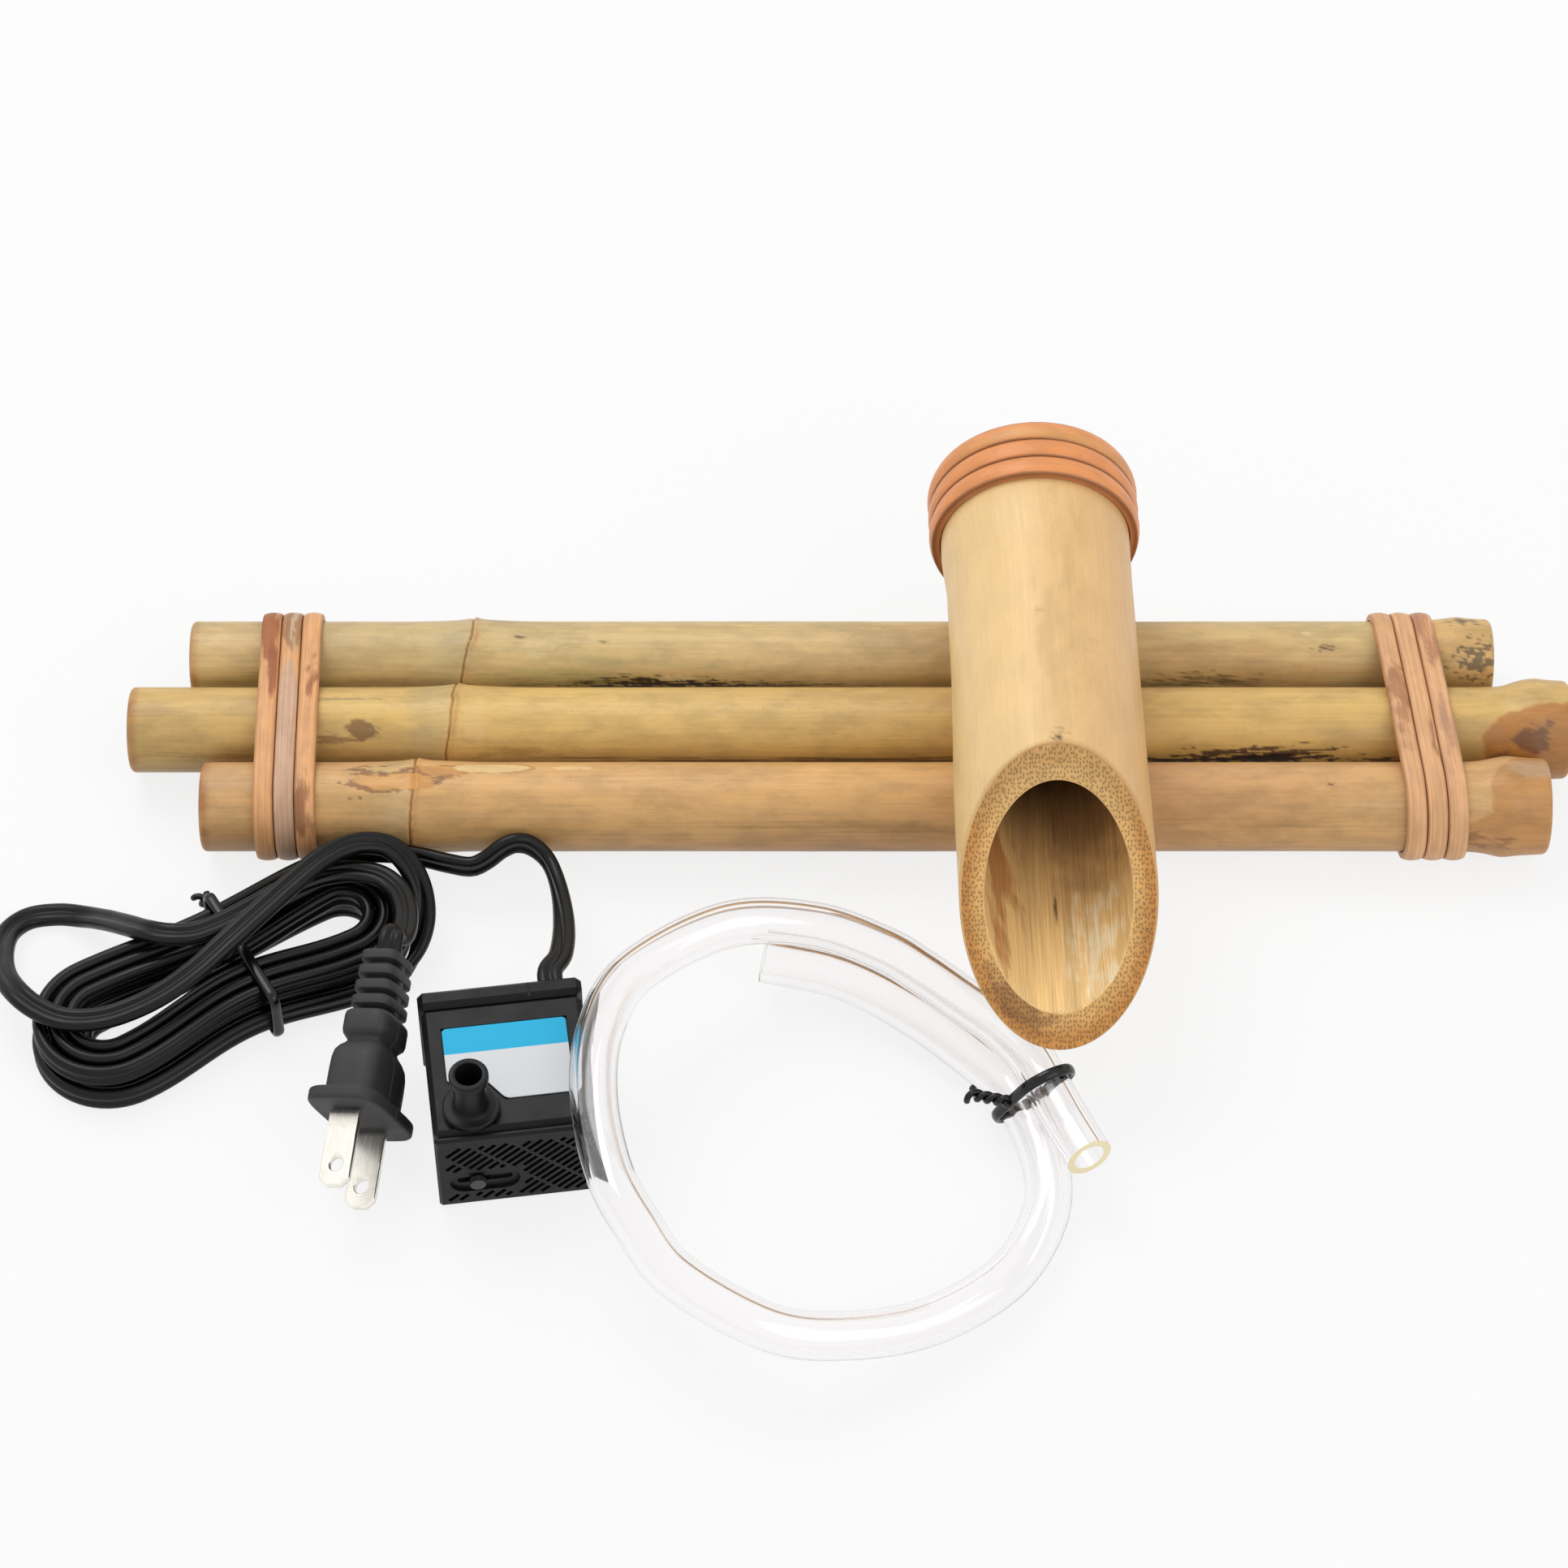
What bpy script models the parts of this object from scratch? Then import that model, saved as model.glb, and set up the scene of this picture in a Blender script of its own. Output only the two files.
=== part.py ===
"""Bamboo water spout with its pump, mains cord and tubing.

Three bamboo arms lie side by side, lashed near each end with rattan strip. A thick bamboo
spout lies across them on a peg that it can swivel on. The small pump that feeds it stands in
front, with its cord folded in a hank and a loop of clear tubing resting on it.

X runs along the arms, Y away from the spout's mouth and Z up. Lengths are in metres.
"""

from math import acos, atan2, cos, pi, radians, sin

import bmesh
import bpy
import numpy as np
from mathutils import Matrix, Vector

MM = 0.001

# Clearances shared by all pieces
SEAT_GAP = 0.3 * MM
OVERRUN = 4.0 * MM
MERGE_DISTANCE = 0.01 * MM

# Number of sides and steps
ARM_SIDES = 20
SPOUT_SIDES = 32
ROUND_SIDES = 20
SMALL_SIDES = 12
LOOP_POINTS = 24
ROUND_END_POINTS = 7

# Arms: the back and front ones end short of the middle one, and nodes are measured from the ends
ARM_WALL = 3.6 * MM
ARM_MIDDLE_Y = 5.9 * MM
ARM_BACK_GAP = 2.9 * MM
ARM_FRONT_GAP = 2.4 * MM
ARM_END_ROUNDING = 1.1 * MM
ARM_MIDDLE_DIAMETER = 18.0 * MM
ARM_MIDDLE_LEFT = -137.6 * MM
ARM_MIDDLE_LENGTH = 302.6 * MM
ARM_MIDDLE_RIGHT = ARM_MIDDLE_LEFT + ARM_MIDDLE_LENGTH
ARM_MIDDLE_LEFT_NODE = 67.6 * MM
ARM_MIDDLE_RIGHT_NODE = 8.0 * MM
ARM_MIDDLE_SWELL = 1.1 * MM
ARM_BACK_DIAMETER = 16.2 * MM
ARM_BACK_SHORT_OF_LEFT = 11.4 * MM
ARM_BACK_SHORT_OF_RIGHT = 14.4 * MM
ARM_BACK_LEFT_NODE = 57.2 * MM
ARM_BACK_RIGHT_NODE = 8.6 * MM
ARM_BACK_SWELL = 0.2 * MM
ARM_FRONT_DIAMETER = 18.6 * MM
ARM_FRONT_SHORT_OF_LEFT = 16.6 * MM
ARM_FRONT_SHORT_OF_RIGHT = 6.3 * MM
ARM_FRONT_LEFT_NODE = 45.0 * MM
ARM_FRONT_RIGHT_NODE = 8.7 * MM
ARM_FRONT_SWELL = 0.5 * MM

# Nodes of the bamboo
NODE_BULGE = 0.8 * MM
NODE_HALF_WIDTH = 1.8 * MM
NODE_SHOULDER_SHARE = 0.35
DIAPHRAGM_THICKNESS = 3.0 * MM
DIAPHRAGM_HOLE_RADIUS = 2.0 * MM

# Rattan strip: its section runs from the flat inner side to the crowned outer side
STRIP_SECTION_SHARES = ((-0.5, 0.0), (-0.5, 0.55), (-0.3, 1.0), (0.3, 1.0), (0.5, 0.55), (0.5, 0.0))
STEP_SHARE = 0.3
BINDING_TURNS = 3
BINDING_WIDTH = 3.8 * MM
BINDING_THICKNESS = 1.6 * MM
BINDING_PITCH = 4.3 * MM
BINDING_LEFT_FROM_END = 29.4 * MM
BINDING_LEFT_SLANT_SHARE = -0.026
BINDING_RIGHT_FROM_END = 36.3 * MM
BINDING_RIGHT_SLANT_SHARE = -0.068
WRAP_TURNS = 3
WRAP_WIDTH = 4.4 * MM
WRAP_THICKNESS = 2.1 * MM
WRAP_PITCH = 4.9 * MM
WRAP_FROM_END = 2.5 * MM

# Spout: measured from its closed back end along its axis
SPOUT_X = 53.1 * MM
SPOUT_YAW = radians(1.0)
SPOUT_DIAMETER = 39.5 * MM
SPOUT_WALL = 5.0 * MM
SPOUT_LENGTH = 134.6 * MM
SPOUT_MOUTH_LENGTH = 46.4 * MM
SPOUT_BACK_TO_PEG = 43.6 * MM
SPOUT_BACK_THICKNESS = 6.0 * MM
SPOUT_BACK_ROUNDING = 2.6 * MM

# Peg that the spout swivels on
PEG_DIAMETER = 6.0 * MM
PEG_RISE = 3.2 * MM
PEG_SOCKET_CLEARANCE = 0.4 * MM

# Clear vinyl tubing
TUBING_OUTER_DIAMETER = 9.5 * MM
TUBING_WALL = 1.6 * MM
TUBING_STEPS = 27
INLET_CLEARANCE = 0.4 * MM

# Pump: local X across, Y from the grille at the front to the lid, Z up
PUMP_X = -54.65 * MM
PUMP_Y = -86.65 * MM
PUMP_YAW = radians(7.5)
PUMP_WIDTH = 32.1 * MM
PUMP_DEPTH = 36.9 * MM
PUMP_TOP = 23.2 * MM
PUMP_WALL = 1.6 * MM
PUMP_CORNER = 1.1 * MM
GRILLE_THICKNESS = 1.5 * MM
RECESS_TOP = 18.4 * MM
BLOCK_DEPTH = 5.4 * MM
CHAMBER_DEPTH = 4.0 * MM
CHAMBER_RADIUS = 6.2 * MM
ROTOR_HEIGHT = 10.5 * MM
WELL_RADIUS = 4.2 * MM
WELL_WALL = 0.6 * MM
WELL_LENGTH = 14.6 * MM
WELL_BOTTOM = 1.0 * MM

# Lid at the back of the pump
LID_DEPTH = 4.6 * MM
LID_OVERHANG = 0.4 * MM
LID_SLIT_WIDTH = 0.6 * MM
LID_SLIT_DEPTH = 0.5 * MM

# Feet
FOOT_RISE = 0.7 * MM
FOOT_RADIUS = 3.2 * MM
FOOT_STEM_RADIUS = 1.0 * MM
FOOT_STEM_LENGTH = 0.8 * MM
FOOT_INSET = 5.5 * MM

# Grille: slanted slots, an oval recess with the slider's slot, and two tongues
SLOT_LENGTH = 5.2 * MM
SLOT_GAP = 0.7 * MM
SLOT_WIDTH = 0.9 * MM
SLOT_SLANT = radians(43)
SLOT_LINE_PITCH = 1.57 * MM
SLOT_SHORTEST = 1.2 * MM
SLOT_MIDDLE_Z = 11.4 * MM
SLOT_FIELD_HEIGHT = 18.0 * MM
SLOT_EDGE = 1.9 * MM
SLOT_MARGIN = 0.8 * MM
SLOT_CUT_DEPTH = 1.7 * MM
OVAL_X = -6.7 * MM
OVAL_Z = 8.4 * MM
OVAL_LENGTH = 14.0 * MM
OVAL_HEIGHT = 6.4 * MM
OVAL_DEPTH = 0.7 * MM
TRACK_LENGTH = 11.0 * MM
TRACK_HEIGHT = 1.8 * MM
TONGUE_THICKNESS = 0.8 * MM
TONGUE_LEFT = -3.0 * MM
TONGUE_RIGHT = 9.0 * MM

# Flow slider
SHUTTER_THICKNESS = 0.6 * MM
SHUTTER_LENGTH = 5.0 * MM
SHUTTER_HEIGHT = 4.0 * MM
KNOB_NECK_RADIUS = 0.6 * MM
KNOB_RADIUS = 1.6 * MM
KNOB_HEIGHT = 1.3 * MM
KNOB_X = -8.2 * MM

# Chamber cover, rotor, shaft and bushes
CHAMBER_COVER_THICKNESS = 0.9 * MM
INLET_HOLES = 6
INLET_HOLE_RADIUS = 1.1 * MM
INLET_CIRCLE_RADIUS = 4.0 * MM
SHAFT_RADIUS = 0.75 * MM
SHAFT_SINK = 0.4 * MM
BUSH_RADIUS = 1.8 * MM
BUSH_LENGTH = 1.4 * MM
IMPELLER_RADIUS = 5.6 * MM
IMPELLER_HUB_RADIUS = 2.2 * MM
IMPELLER_DISC = 0.8 * MM
BLADE_THICKNESS = 0.8 * MM
ROTOR_RADIUS = 3.8 * MM

# Motor
CORE_SIDE = 4.0 * MM
CORE_FRONT = -5.0 * MM
CORE_INSET = 2.4 * MM
YOKE_THICKNESS = 3.2 * MM
COIL_HALF_LENGTH = 4.9 * MM
COIL_WALL = 1.4 * MM
COIL_RIM = 1.8 * MM

# Outlet nozzle
OUTLET_X = -8.05 * MM
OUTLET_SETBACK = 6.9 * MM
OUTLET_FLANGE_RADIUS = 5.65 * MM
OUTLET_FLANGE_THICKNESS = 1.5 * MM
OUTLET_NECK_RADIUS = 3.25 * MM
OUTLET_TIP_RADIUS = 3.9 * MM
OUTLET_TIP_LENGTH = 1.6 * MM
OUTLET_HEIGHT = 12.4 * MM
OUTLET_BORE_RADIUS = 2.6 * MM
SPIGOT_RADIUS = 2.3 * MM
SPIGOT_BORE_RADIUS = 1.5 * MM
SPIGOT_LENGTH = 3.6 * MM
SPIGOT_HOLE_DEPTH = 4.25 * MM
DUCT_HALF_WIDTH = 2.5 * MM
DUCT_OVERLAP = 0.5 * MM

# Label plate, whose corner is cut away round the outlet
LABEL_LEFT = -12.2 * MM
LABEL_RIGHT = 12.4 * MM
LABEL_BACK = 8.3 * MM
LABEL_FRONT = -9.6 * MM
LABEL_NOTCH_Y = -4.6 * MM
LABEL_NOTCH_INNER_X = -1.1 * MM
LABEL_NOTCH_OUTER_X = -4.8 * MM
LABEL_THICKNESS = 0.25 * MM
LABEL_SINK = 0.4 * MM
LABEL_PROUD = 0.15 * MM

# Flat twin cord: width across its two cores, and thickness
CORD_WIDTH = 5.2 * MM
CORD_THICKNESS = 2.65 * MM
CORD_SECTION_SHARES = ((0.5, 0.3), (0.27, 0.5), (-0.27, 0.5), (-0.5, 0.3),
                       (-0.5, -0.3), (-0.27, -0.5), (0.27, -0.5), (0.5, -0.3))
HANK_SECTION_SHARES = ((0.5, 0.0), (0.36, 0.5), (-0.36, 0.5), (-0.5, 0.0), (-0.36, -0.5), (0.36, -0.5))
CORD_SOCKET_X = 10.7 * MM
CORD_SOCKET_DROP = 4.2 * MM
CORD_SOCKET_DEPTH = 1.0 * MM
LEAD_STEPS = 14
LOOP_STEPS = 31
TAIL_STEPS = 8

# Hank: runs and folds of the cord, spiralling in on one layer and out on the next
HANK_X = -113.8 * MM
HANK_Y = -54.4 * MM
HANK_ANGLE = radians(30)
HANK_RUN = 52.6 * MM
HANK_FOLD_RADIUS = 14.8 * MM
HANK_PITCH = 3.2 * MM
HANK_WAIST = 2.6 * MM
HANK_TURNS = 6
HANK_TURN_BACK = 3
HANK_RUN_POINTS = 5
HANK_UPPER_Z = 8.4 * MM
HANK_LOWER_Z = 2.7 * MM
HANK_TIE_LIFT = 1.65 * MM

# Routes chosen by hand, in millimetres
LEAD_ROUTE = (
    (-45.1, -56.8, 16.8), (-44.9, -46.8, 13.2), (-46.3, -35.7, 10.4), (-48.6, -28.6, 10.4),
    (-52.0, -26.0, 12.2), (-55.3, -26.0, 13.4), (-58.3, -26.9, 12.6), (-61.4, -28.4, 10.8),
    (-64.7, -29.4, 9.8), (-69.5, -28.5, 9.8), (-74.2, -27.2, 9.9), (-78.9, -26.5, 10.3),
    (-85.0, -26.3, 10.5), (-91.1, -26.1, 9.8),
)
LOOP_ROUTE = (
    (-78.7, -52.4, 3.1), (-75.3, -47.6, 4.8), (-74.0, -41.8, 7.4), (-74.8, -36.0, 10.6),
    (-77.4, -31.4, 13.6), (-81.6, -28.6, 15.8), (-87.7, -29.2, 17.4), (-94.0, -33.5, 18.6), (-100.2, -40.6, 19.2),
    (-106.3, -48.1, 19.4), (-112.4, -55.2, 19.0), (-118.6, -61.6, 17.8), (-124.9, -66.1, 16.2),
    (-131.4, -69.1, 14.8), (-137.8, -70.7, 13.8), (-144.5, -70.2, 13.0), (-150.0, -67.7, 12.9),
    (-154.7, -63.5, 12.6), (-158.5, -56.6, 9.8), (-160.2, -48.3, 6.2), (-159.7, -41.2, 3.2),
    (-156.2, -36.7, 1.7), (-150.3, -35.7, 1.7), (-144.6, -37.4, 3.2), (-139.3, -41.2, 7.2),
    (-133.9, -46.1, 12.0), (-129.5, -49.9, 15.4), (-124.9, -51.7, 16.6), (-119.5, -51.4, 16.5),
    (-113.8, -48.6, 16.4), (-108.1, -44.5, 16.1), (-101.9, -39.5, 15.5), (-95.5, -35.5, 14.6),
    (-89.0, -33.8, 14.0), (-83.0, -35.0, 14.0), (-78.7, -39.9, 15.0), (-76.8, -47.5, 17.4),
    (-77.1, -54.7, 20.0),
)
TUBING_ROUTE = (
    (-4.1, -52.7, 9.5), (12.2, -56.4, 8.3), (27.9, -65.5, 6.7), (42.3, -78.1, 5.5),
    (46.9, -84.0, 5.2), (51.9, -99.8, 5.0), (51.1, -112.6, 5.0), (43.4, -126.5, 5.6),
    (28.9, -137.8, 8.0), (13.1, -143.8, 12.2), (-2.5, -144.9, 16.8), (-20.3, -136.8, 22.2),
    (-28.0, -127.9, 26.4), (-33.8, -116.7, 28.4), (-37.1, -99.4, 28.7), (-36.1, -82.4, 27.5),
    (-29.6, -67.0, 25.0), (-11.6, -53.2, 21.8), (5.9, -51.2, 19.1), (19.8, -55.8, 17.4),
    (27.7, -60.8, 16.4), (35.6, -67.0, 15.6), (42.9, -73.0, 15.1), (48.7, -80.2, 14.9),
    (52.5, -88.2, 14.6), (55.9, -96.4, 15.0), (59.9, -105.0, 15.4),
)

# Plug: local Z runs from its face back along the cord, Y across the two blades
PLUG_FACE = (-83.9 * MM, -94.9 * MM, 13.5 * MM)
PLUG_BACK_SHARES = (0.13, 0.95, 0.25)
PLUG_UP_SHARES = (-0.32, -0.2, 0.925)
PLUG_FLANGE_WIDTH = 25.4 * MM
PLUG_FLANGE_HEIGHT = 15.5 * MM
PLUG_FLANGE_THICKNESS = 2.7 * MM
PLUG_STEP = 0.25 * MM
PLUG_BODY_END = 12.6 * MM
PLUG_BODY_WIDTH = 18.0 * MM
PLUG_BODY_HEIGHT = 11.2 * MM
PLUG_NECK_PLACE = 15.0 * MM
PLUG_NECK_WIDTH = 11.0 * MM
PLUG_NECK_HEIGHT = 7.8 * MM
PLUG_COLLAR_START = 16.2 * MM
PLUG_COLLAR_END = 21.4 * MM
PLUG_COLLAR_WIDTH = 13.8 * MM
PLUG_COLLAR_HEIGHT = 10.0 * MM
PLUG_RIB_COUNT = 4
PLUG_RIB_PITCH = 3.3 * MM
PLUG_RIB_LENGTH = 2.1 * MM
PLUG_RIB_WIDTH = 11.6 * MM
PLUG_RIB_HEIGHT = 8.6 * MM
PLUG_RIB_ROOT_WIDTH = 7.0 * MM
PLUG_RIB_ROOT_HEIGHT = 4.8 * MM
PLUG_SECTION_POINTS = 16
PLUG_SECTION_POWER = 0.45
BLADE_SPACING = 12.7 * MM
BLADE_WIDTH = 6.35 * MM
BLADE_SHEET = 1.5 * MM
BLADE_LENGTH = 16.3 * MM
BLADE_HOLE_RADIUS = 1.55 * MM
BLADE_HOLE_FROM_TIP = 4.5 * MM
BLADE_CORNER = 1.6 * MM

# Wire ties
TIE_RADIUS = 0.65 * MM
TIE_TAIL_GAP = 0.5 * MM
CORD_TIE_TAIL = 5.0 * MM
TUBING_TIE_TAIL = 13.0 * MM
CORD_TIE_PLACE = 4.0 * MM
TUBING_TIE_PLACE = (49.7 * MM, -86.1 * MM, 9.8 * MM)
TUBING_TIE_AHEAD_SHARES = (0.45, -0.89, 0.0)
TUBING_TIE_TAIL_SHARES = (-0.72, 0.58, -0.38)
TIE_BEND_POINTS = 6

# Colours as sRGB hex, roughness and metallic value
FINISHES = {
    "bamboo_tan": ("C8A268", 0.5, 0.0),
    "bamboo_ochre": ("B98F55", 0.5, 0.0),
    "bamboo_green_tan": ("B9A877", 0.5, 0.0),
    "bamboo_pale": ("E0B982", 0.42, 0.0),
    "rattan_tan": ("D09A70", 0.55, 0.0),
    "rattan_orange": ("E2A276", 0.5, 0.0),
    "peg_wood": ("B98A55", 0.6, 0.0),
    "black_plastic": ("2A2A2C", 0.45, 0.0),
    "grey_plastic": ("54555A", 0.45, 0.0),
    "white_plastic": ("D8D6CE", 0.45, 0.0),
    "label_white": ("DDE6EE", 0.4, 0.0),
    "black_rubber": ("1B1B1D", 0.7, 0.0),
    "ferrite": ("3A3634", 0.6, 0.2),
    "ceramic": ("ECE8DE", 0.25, 0.0),
    "steel_sheet": ("8F9196", 0.45, 1.0),
    "copper": ("B4682F", 0.35, 1.0),
    "cord_black": ("1E1F22", 0.42, 0.0),
    "nickel": ("D8D4C6", 0.25, 1.0),
    "clear_vinyl": ("E9EAEA", 0.08, 0.0),
}


def clear_scene():
    """Removes every object that the scene starts with."""
    for item in list(bpy.data.objects):
        bpy.data.objects.remove(item, do_unlink=True)


def make_collection(name):
    """A collection in the scene."""
    collection = bpy.data.collections.new(name)
    bpy.context.scene.collection.children.link(collection)
    return collection


clear_scene()
PARTS = make_collection("bamboo_water_spout")
CUTTERS = make_collection("cutters")


def linear(value):
    """An sRGB value from 0 to 1, as a linear one."""
    if value <= 0.04045:
        return value / 12.92
    return ((value + 0.055) / 1.055) ** 2.4


def material(name):
    """The Principled material of one finish, made once."""
    found = bpy.data.materials.get(name)
    if found:
        return found
    colour, roughness, metallic = FINISHES[name]
    made = bpy.data.materials.new(name)
    made.use_nodes = True
    shader = made.node_tree.nodes["Principled BSDF"]
    levels = [linear(int(colour[i:i + 2], 16) / 255) for i in (0, 2, 4)]
    shader.inputs["Base Color"].default_value = (*levels, 1.0)
    shader.inputs["Roughness"].default_value = roughness
    shader.inputs["Metallic"].default_value = metallic
    made.diffuse_color = (*levels, 1.0)
    return made


def make_empty(name, parent=None, place=None):
    """A frame that pieces are placed in, at the matrix given by place."""
    empty = bpy.data.objects.new(name, None)
    PARTS.objects.link(empty)
    empty.parent = parent
    if place is not None:
        empty.matrix_local = place
    bpy.context.view_layer.update()
    return empty


def add_object(name, data, parent, finish):
    """A piece of the model, in its finish, or a cutter when it has none."""
    made = bpy.data.objects.new(name, data)
    made.parent = parent
    if finish:
        PARTS.objects.link(made)
        data.materials.append(material(finish))
    else:
        CUTTERS.objects.link(made)
        made.hide_render = True
        made.display_type = "WIRE"
    return made


def mesh_from_bmesh(name, build):
    """A mesh that the function build fills in, with its faces pointing out."""
    shape = bmesh.new()
    build(shape)
    bmesh.ops.recalc_face_normals(shape, faces=shape.faces)
    mesh = bpy.data.meshes.new(name)
    shape.to_mesh(mesh)
    shape.free()
    return mesh


def smooth(mesh, angle=radians(35)):
    """Smooth shading with sharp edges past an angle."""
    mesh.shade_smooth()
    mesh.set_sharp_from_angle(angle=angle)
    return mesh


def box(name, low, high, parent, finish=None):
    """A box between two corners in its parent's frame."""
    low, high = Vector(low), Vector(high)
    size = high - low
    place = Matrix.Translation((low + high) / 2) @ Matrix.Diagonal((*size, 1))
    mesh = mesh_from_bmesh(name, lambda shape: bmesh.ops.create_cube(shape, size=1, matrix=place))
    return add_object(name, mesh, parent, finish)


def cylinder(name, radius, start, end, parent, finish=None, sides=ROUND_SIDES):
    """A cylinder from start to end in its parent's frame."""
    start, end = Vector(start), Vector(end)
    along = end - start
    turn = Vector((0, 0, 1)).rotation_difference(along).to_matrix().to_4x4()
    place = Matrix.Translation((start + end) / 2) @ turn

    def build(shape):
        bmesh.ops.create_cone(shape, cap_ends=True, segments=sides, radius1=radius, radius2=radius,
                              depth=along.length, matrix=place)

    return add_object(name, smooth(mesh_from_bmesh(name, build)), parent, finish)


def turned(name, profile, sides, parent, finish=None):
    """A closed profile of (radius, height) points, turned about Z by a Screw modifier."""
    mesh = bpy.data.meshes.new(name)
    points = [(radius, 0, height) for radius, height in profile]
    edges = [(i, (i + 1) % len(points)) for i in range(len(points))]
    mesh.from_pydata(points, edges, [])
    made = add_object(name, mesh, parent, finish)
    screw = made.modifiers.new("turn", "SCREW")
    screw.axis = "Z"
    screw.angle = 2 * pi
    screw.steps = sides
    screw.render_steps = sides
    screw.use_merge_vertices = True
    screw.merge_threshold = MERGE_DISTANCE
    screw.use_smooth_shade = True
    return made


def boolean(target, tool, operation):
    """Cuts or joins a mesh to a target with an exact Boolean."""
    step = target.modifiers.new(operation.lower(), "BOOLEAN")
    step.operation = operation
    step.solver = "EXACT"
    step.object = tool
    return target


def cut(target, tool):
    """Cuts the tool's shape out of the target."""
    return boolean(target, tool, "DIFFERENCE")


def join(target, tool):
    """Joins the tool's shape to the target."""
    return boolean(target, tool, "UNION")


def round_edges(target, width, segments=1):
    """Rounds a piece's sharp edges."""
    step = target.modifiers.new("edges", "BEVEL")
    step.width = width
    step.segments = segments
    step.limit_method = "ANGLE"
    step.angle_limit = radians(50)
    return target


def skin(name, rings, parent, finish):
    """A solid over rings of points that have the same number of points, with flat ends."""
    rings = np.asarray(rings)
    count, sides = rings.shape[:2]

    def build(shape):
        rows = [[shape.verts.new(point) for point in ring] for ring in rings]
        for row, after in zip(rows, rows[1:]):
            for j in range(sides):
                k = (j + 1) % sides
                shape.faces.new((row[j], row[k], after[k], after[j]))
        shape.faces.new(rows[0][::-1])
        shape.faces.new(rows[-1])

    return add_object(name, smooth(mesh_from_bmesh(name, build)), parent, finish)


def plate(name, outline, thickness, parent, finish=None, upright=False):
    """A filled outline made solid by half its thickness each way, flat or standing in its frame."""
    curve = bpy.data.curves.new(name, "CURVE")
    curve.dimensions = "2D"
    curve.fill_mode = "BOTH"
    curve.extrude = thickness / 2
    line = curve.splines.new("POLY")
    line.points.add(len(outline) - 1)
    for point, (across, along) in zip(line.points, outline):
        point.co = (across, along, 0, 1)
    line.use_cyclic_u = True
    guide = bpy.data.objects.new(name, curve)
    CUTTERS.objects.link(guide)
    bpy.context.view_layer.update()
    depsgraph = bpy.context.evaluated_depsgraph_get()
    mesh = bpy.data.meshes.new_from_object(guide.evaluated_get(depsgraph))
    bpy.data.objects.remove(guide, do_unlink=True)
    shape = bmesh.new()
    shape.from_mesh(mesh)
    bmesh.ops.remove_doubles(shape, verts=shape.verts, dist=MERGE_DISTANCE)
    bmesh.ops.recalc_face_normals(shape, faces=shape.faces)
    shape.to_mesh(mesh)
    shape.free()
    made = add_object(name, mesh, parent, finish)
    if upright:
        made.rotation_euler = (radians(90), 0, 0)
    return made


def tangent_angle(first, second):
    """Direction in which a straight line touches two circles (y, z, radius) on their upper side."""
    across = second[0] - first[0]
    rise = second[1] - first[1]
    span = (across ** 2 + rise ** 2) ** 0.5
    return atan2(rise, across) % (2 * pi) - acos((first[2] - second[2]) / span)


def strip_outline(circles, offset):
    """Points and outward directions of one loop pulled round circles that run from back to front.

    The loop starts under the middle, goes up behind the first circle, over the circles that
    stand highest and down in front of the last one.
    """
    if len(circles) == 1:
        angles = [-pi / 2 + 2 * pi * k / LOOP_POINTS for k in range(LOOP_POINTS)]
        touched = [(circles[0], angle) for angle in angles]
        outline = []
    else:
        kept = [circles[0]]
        for circle in circles[1:]:
            while len(kept) > 1 and tangent_angle(kept[-2], kept[-1]) > tangent_angle(kept[-1], circle):
                kept.pop()
            kept.append(circle)
        turns = [tangent_angle(a, b) for a, b in zip(kept, kept[1:])]
        limits = list(zip([-pi / 2] + turns, turns + [3 * pi / 2]))
        inner = 2 * (len(kept) - 2)
        ends = LOOP_POINTS - 1 - inner
        counts = [ends // 2] + [2] * (len(kept) - 2) + [ends - ends // 2]
        touched = []
        for circle, (start, end), count in zip(kept, limits, counts):
            touched += [(circle, start + (end - start) * i / (count - 1)) for i in range(count)]
        first, last = circles[0], circles[-1]
        middle = ((first[0] + last[0]) / 2, (first[1] - first[2] + last[1] - last[2]) / 2 - offset)
        outline = [(middle, (0.0, -1.0))]
    for (y, z, radius), angle in touched:
        reach = radius + offset
        outline.append(((y + reach * cos(angle), z + reach * sin(angle)), (cos(angle), sin(angle))))
    return outline


def strip_winding(name, circles, first_x, turns, pitch, width, thickness, slant, parent, finish):
    """Rattan strip wound round circles, stepping one pitch along X under each turn."""
    outline = strip_outline(circles, SEAT_GAP)
    points = np.array([point for point, _ in outline])
    steps = np.linalg.norm(np.roll(points, -1, axis=0) - points, axis=1)
    shares = np.concatenate(([0], np.cumsum(steps)[:-1])) / steps.sum()
    middle_y = circles[len(circles) // 2][0]
    rings = []
    for index in range(turns * LOOP_POINTS + 1):
        loop, place = divmod(index, LOOP_POINTS)
        (y, z), (out_y, out_z) = outline[place]
        share = shares[place]
        before = min(0.0, share / STEP_SHARE - 0.5)
        after = max(0.0, (share - 1) / STEP_SHARE + 0.5)
        x = first_x + pitch * (loop + before + after) + slant * (y - middle_y)
        rings.append([
            (x + width * across, y + thickness * out * out_y, z + thickness * out * out_z)
            for across, out in STRIP_SECTION_SHARES
        ])
    centres = np.mean(rings, axis=1)
    report_gap(name, centres, width, LOOP_POINTS)
    return skin(name, rings, parent, finish)


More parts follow.
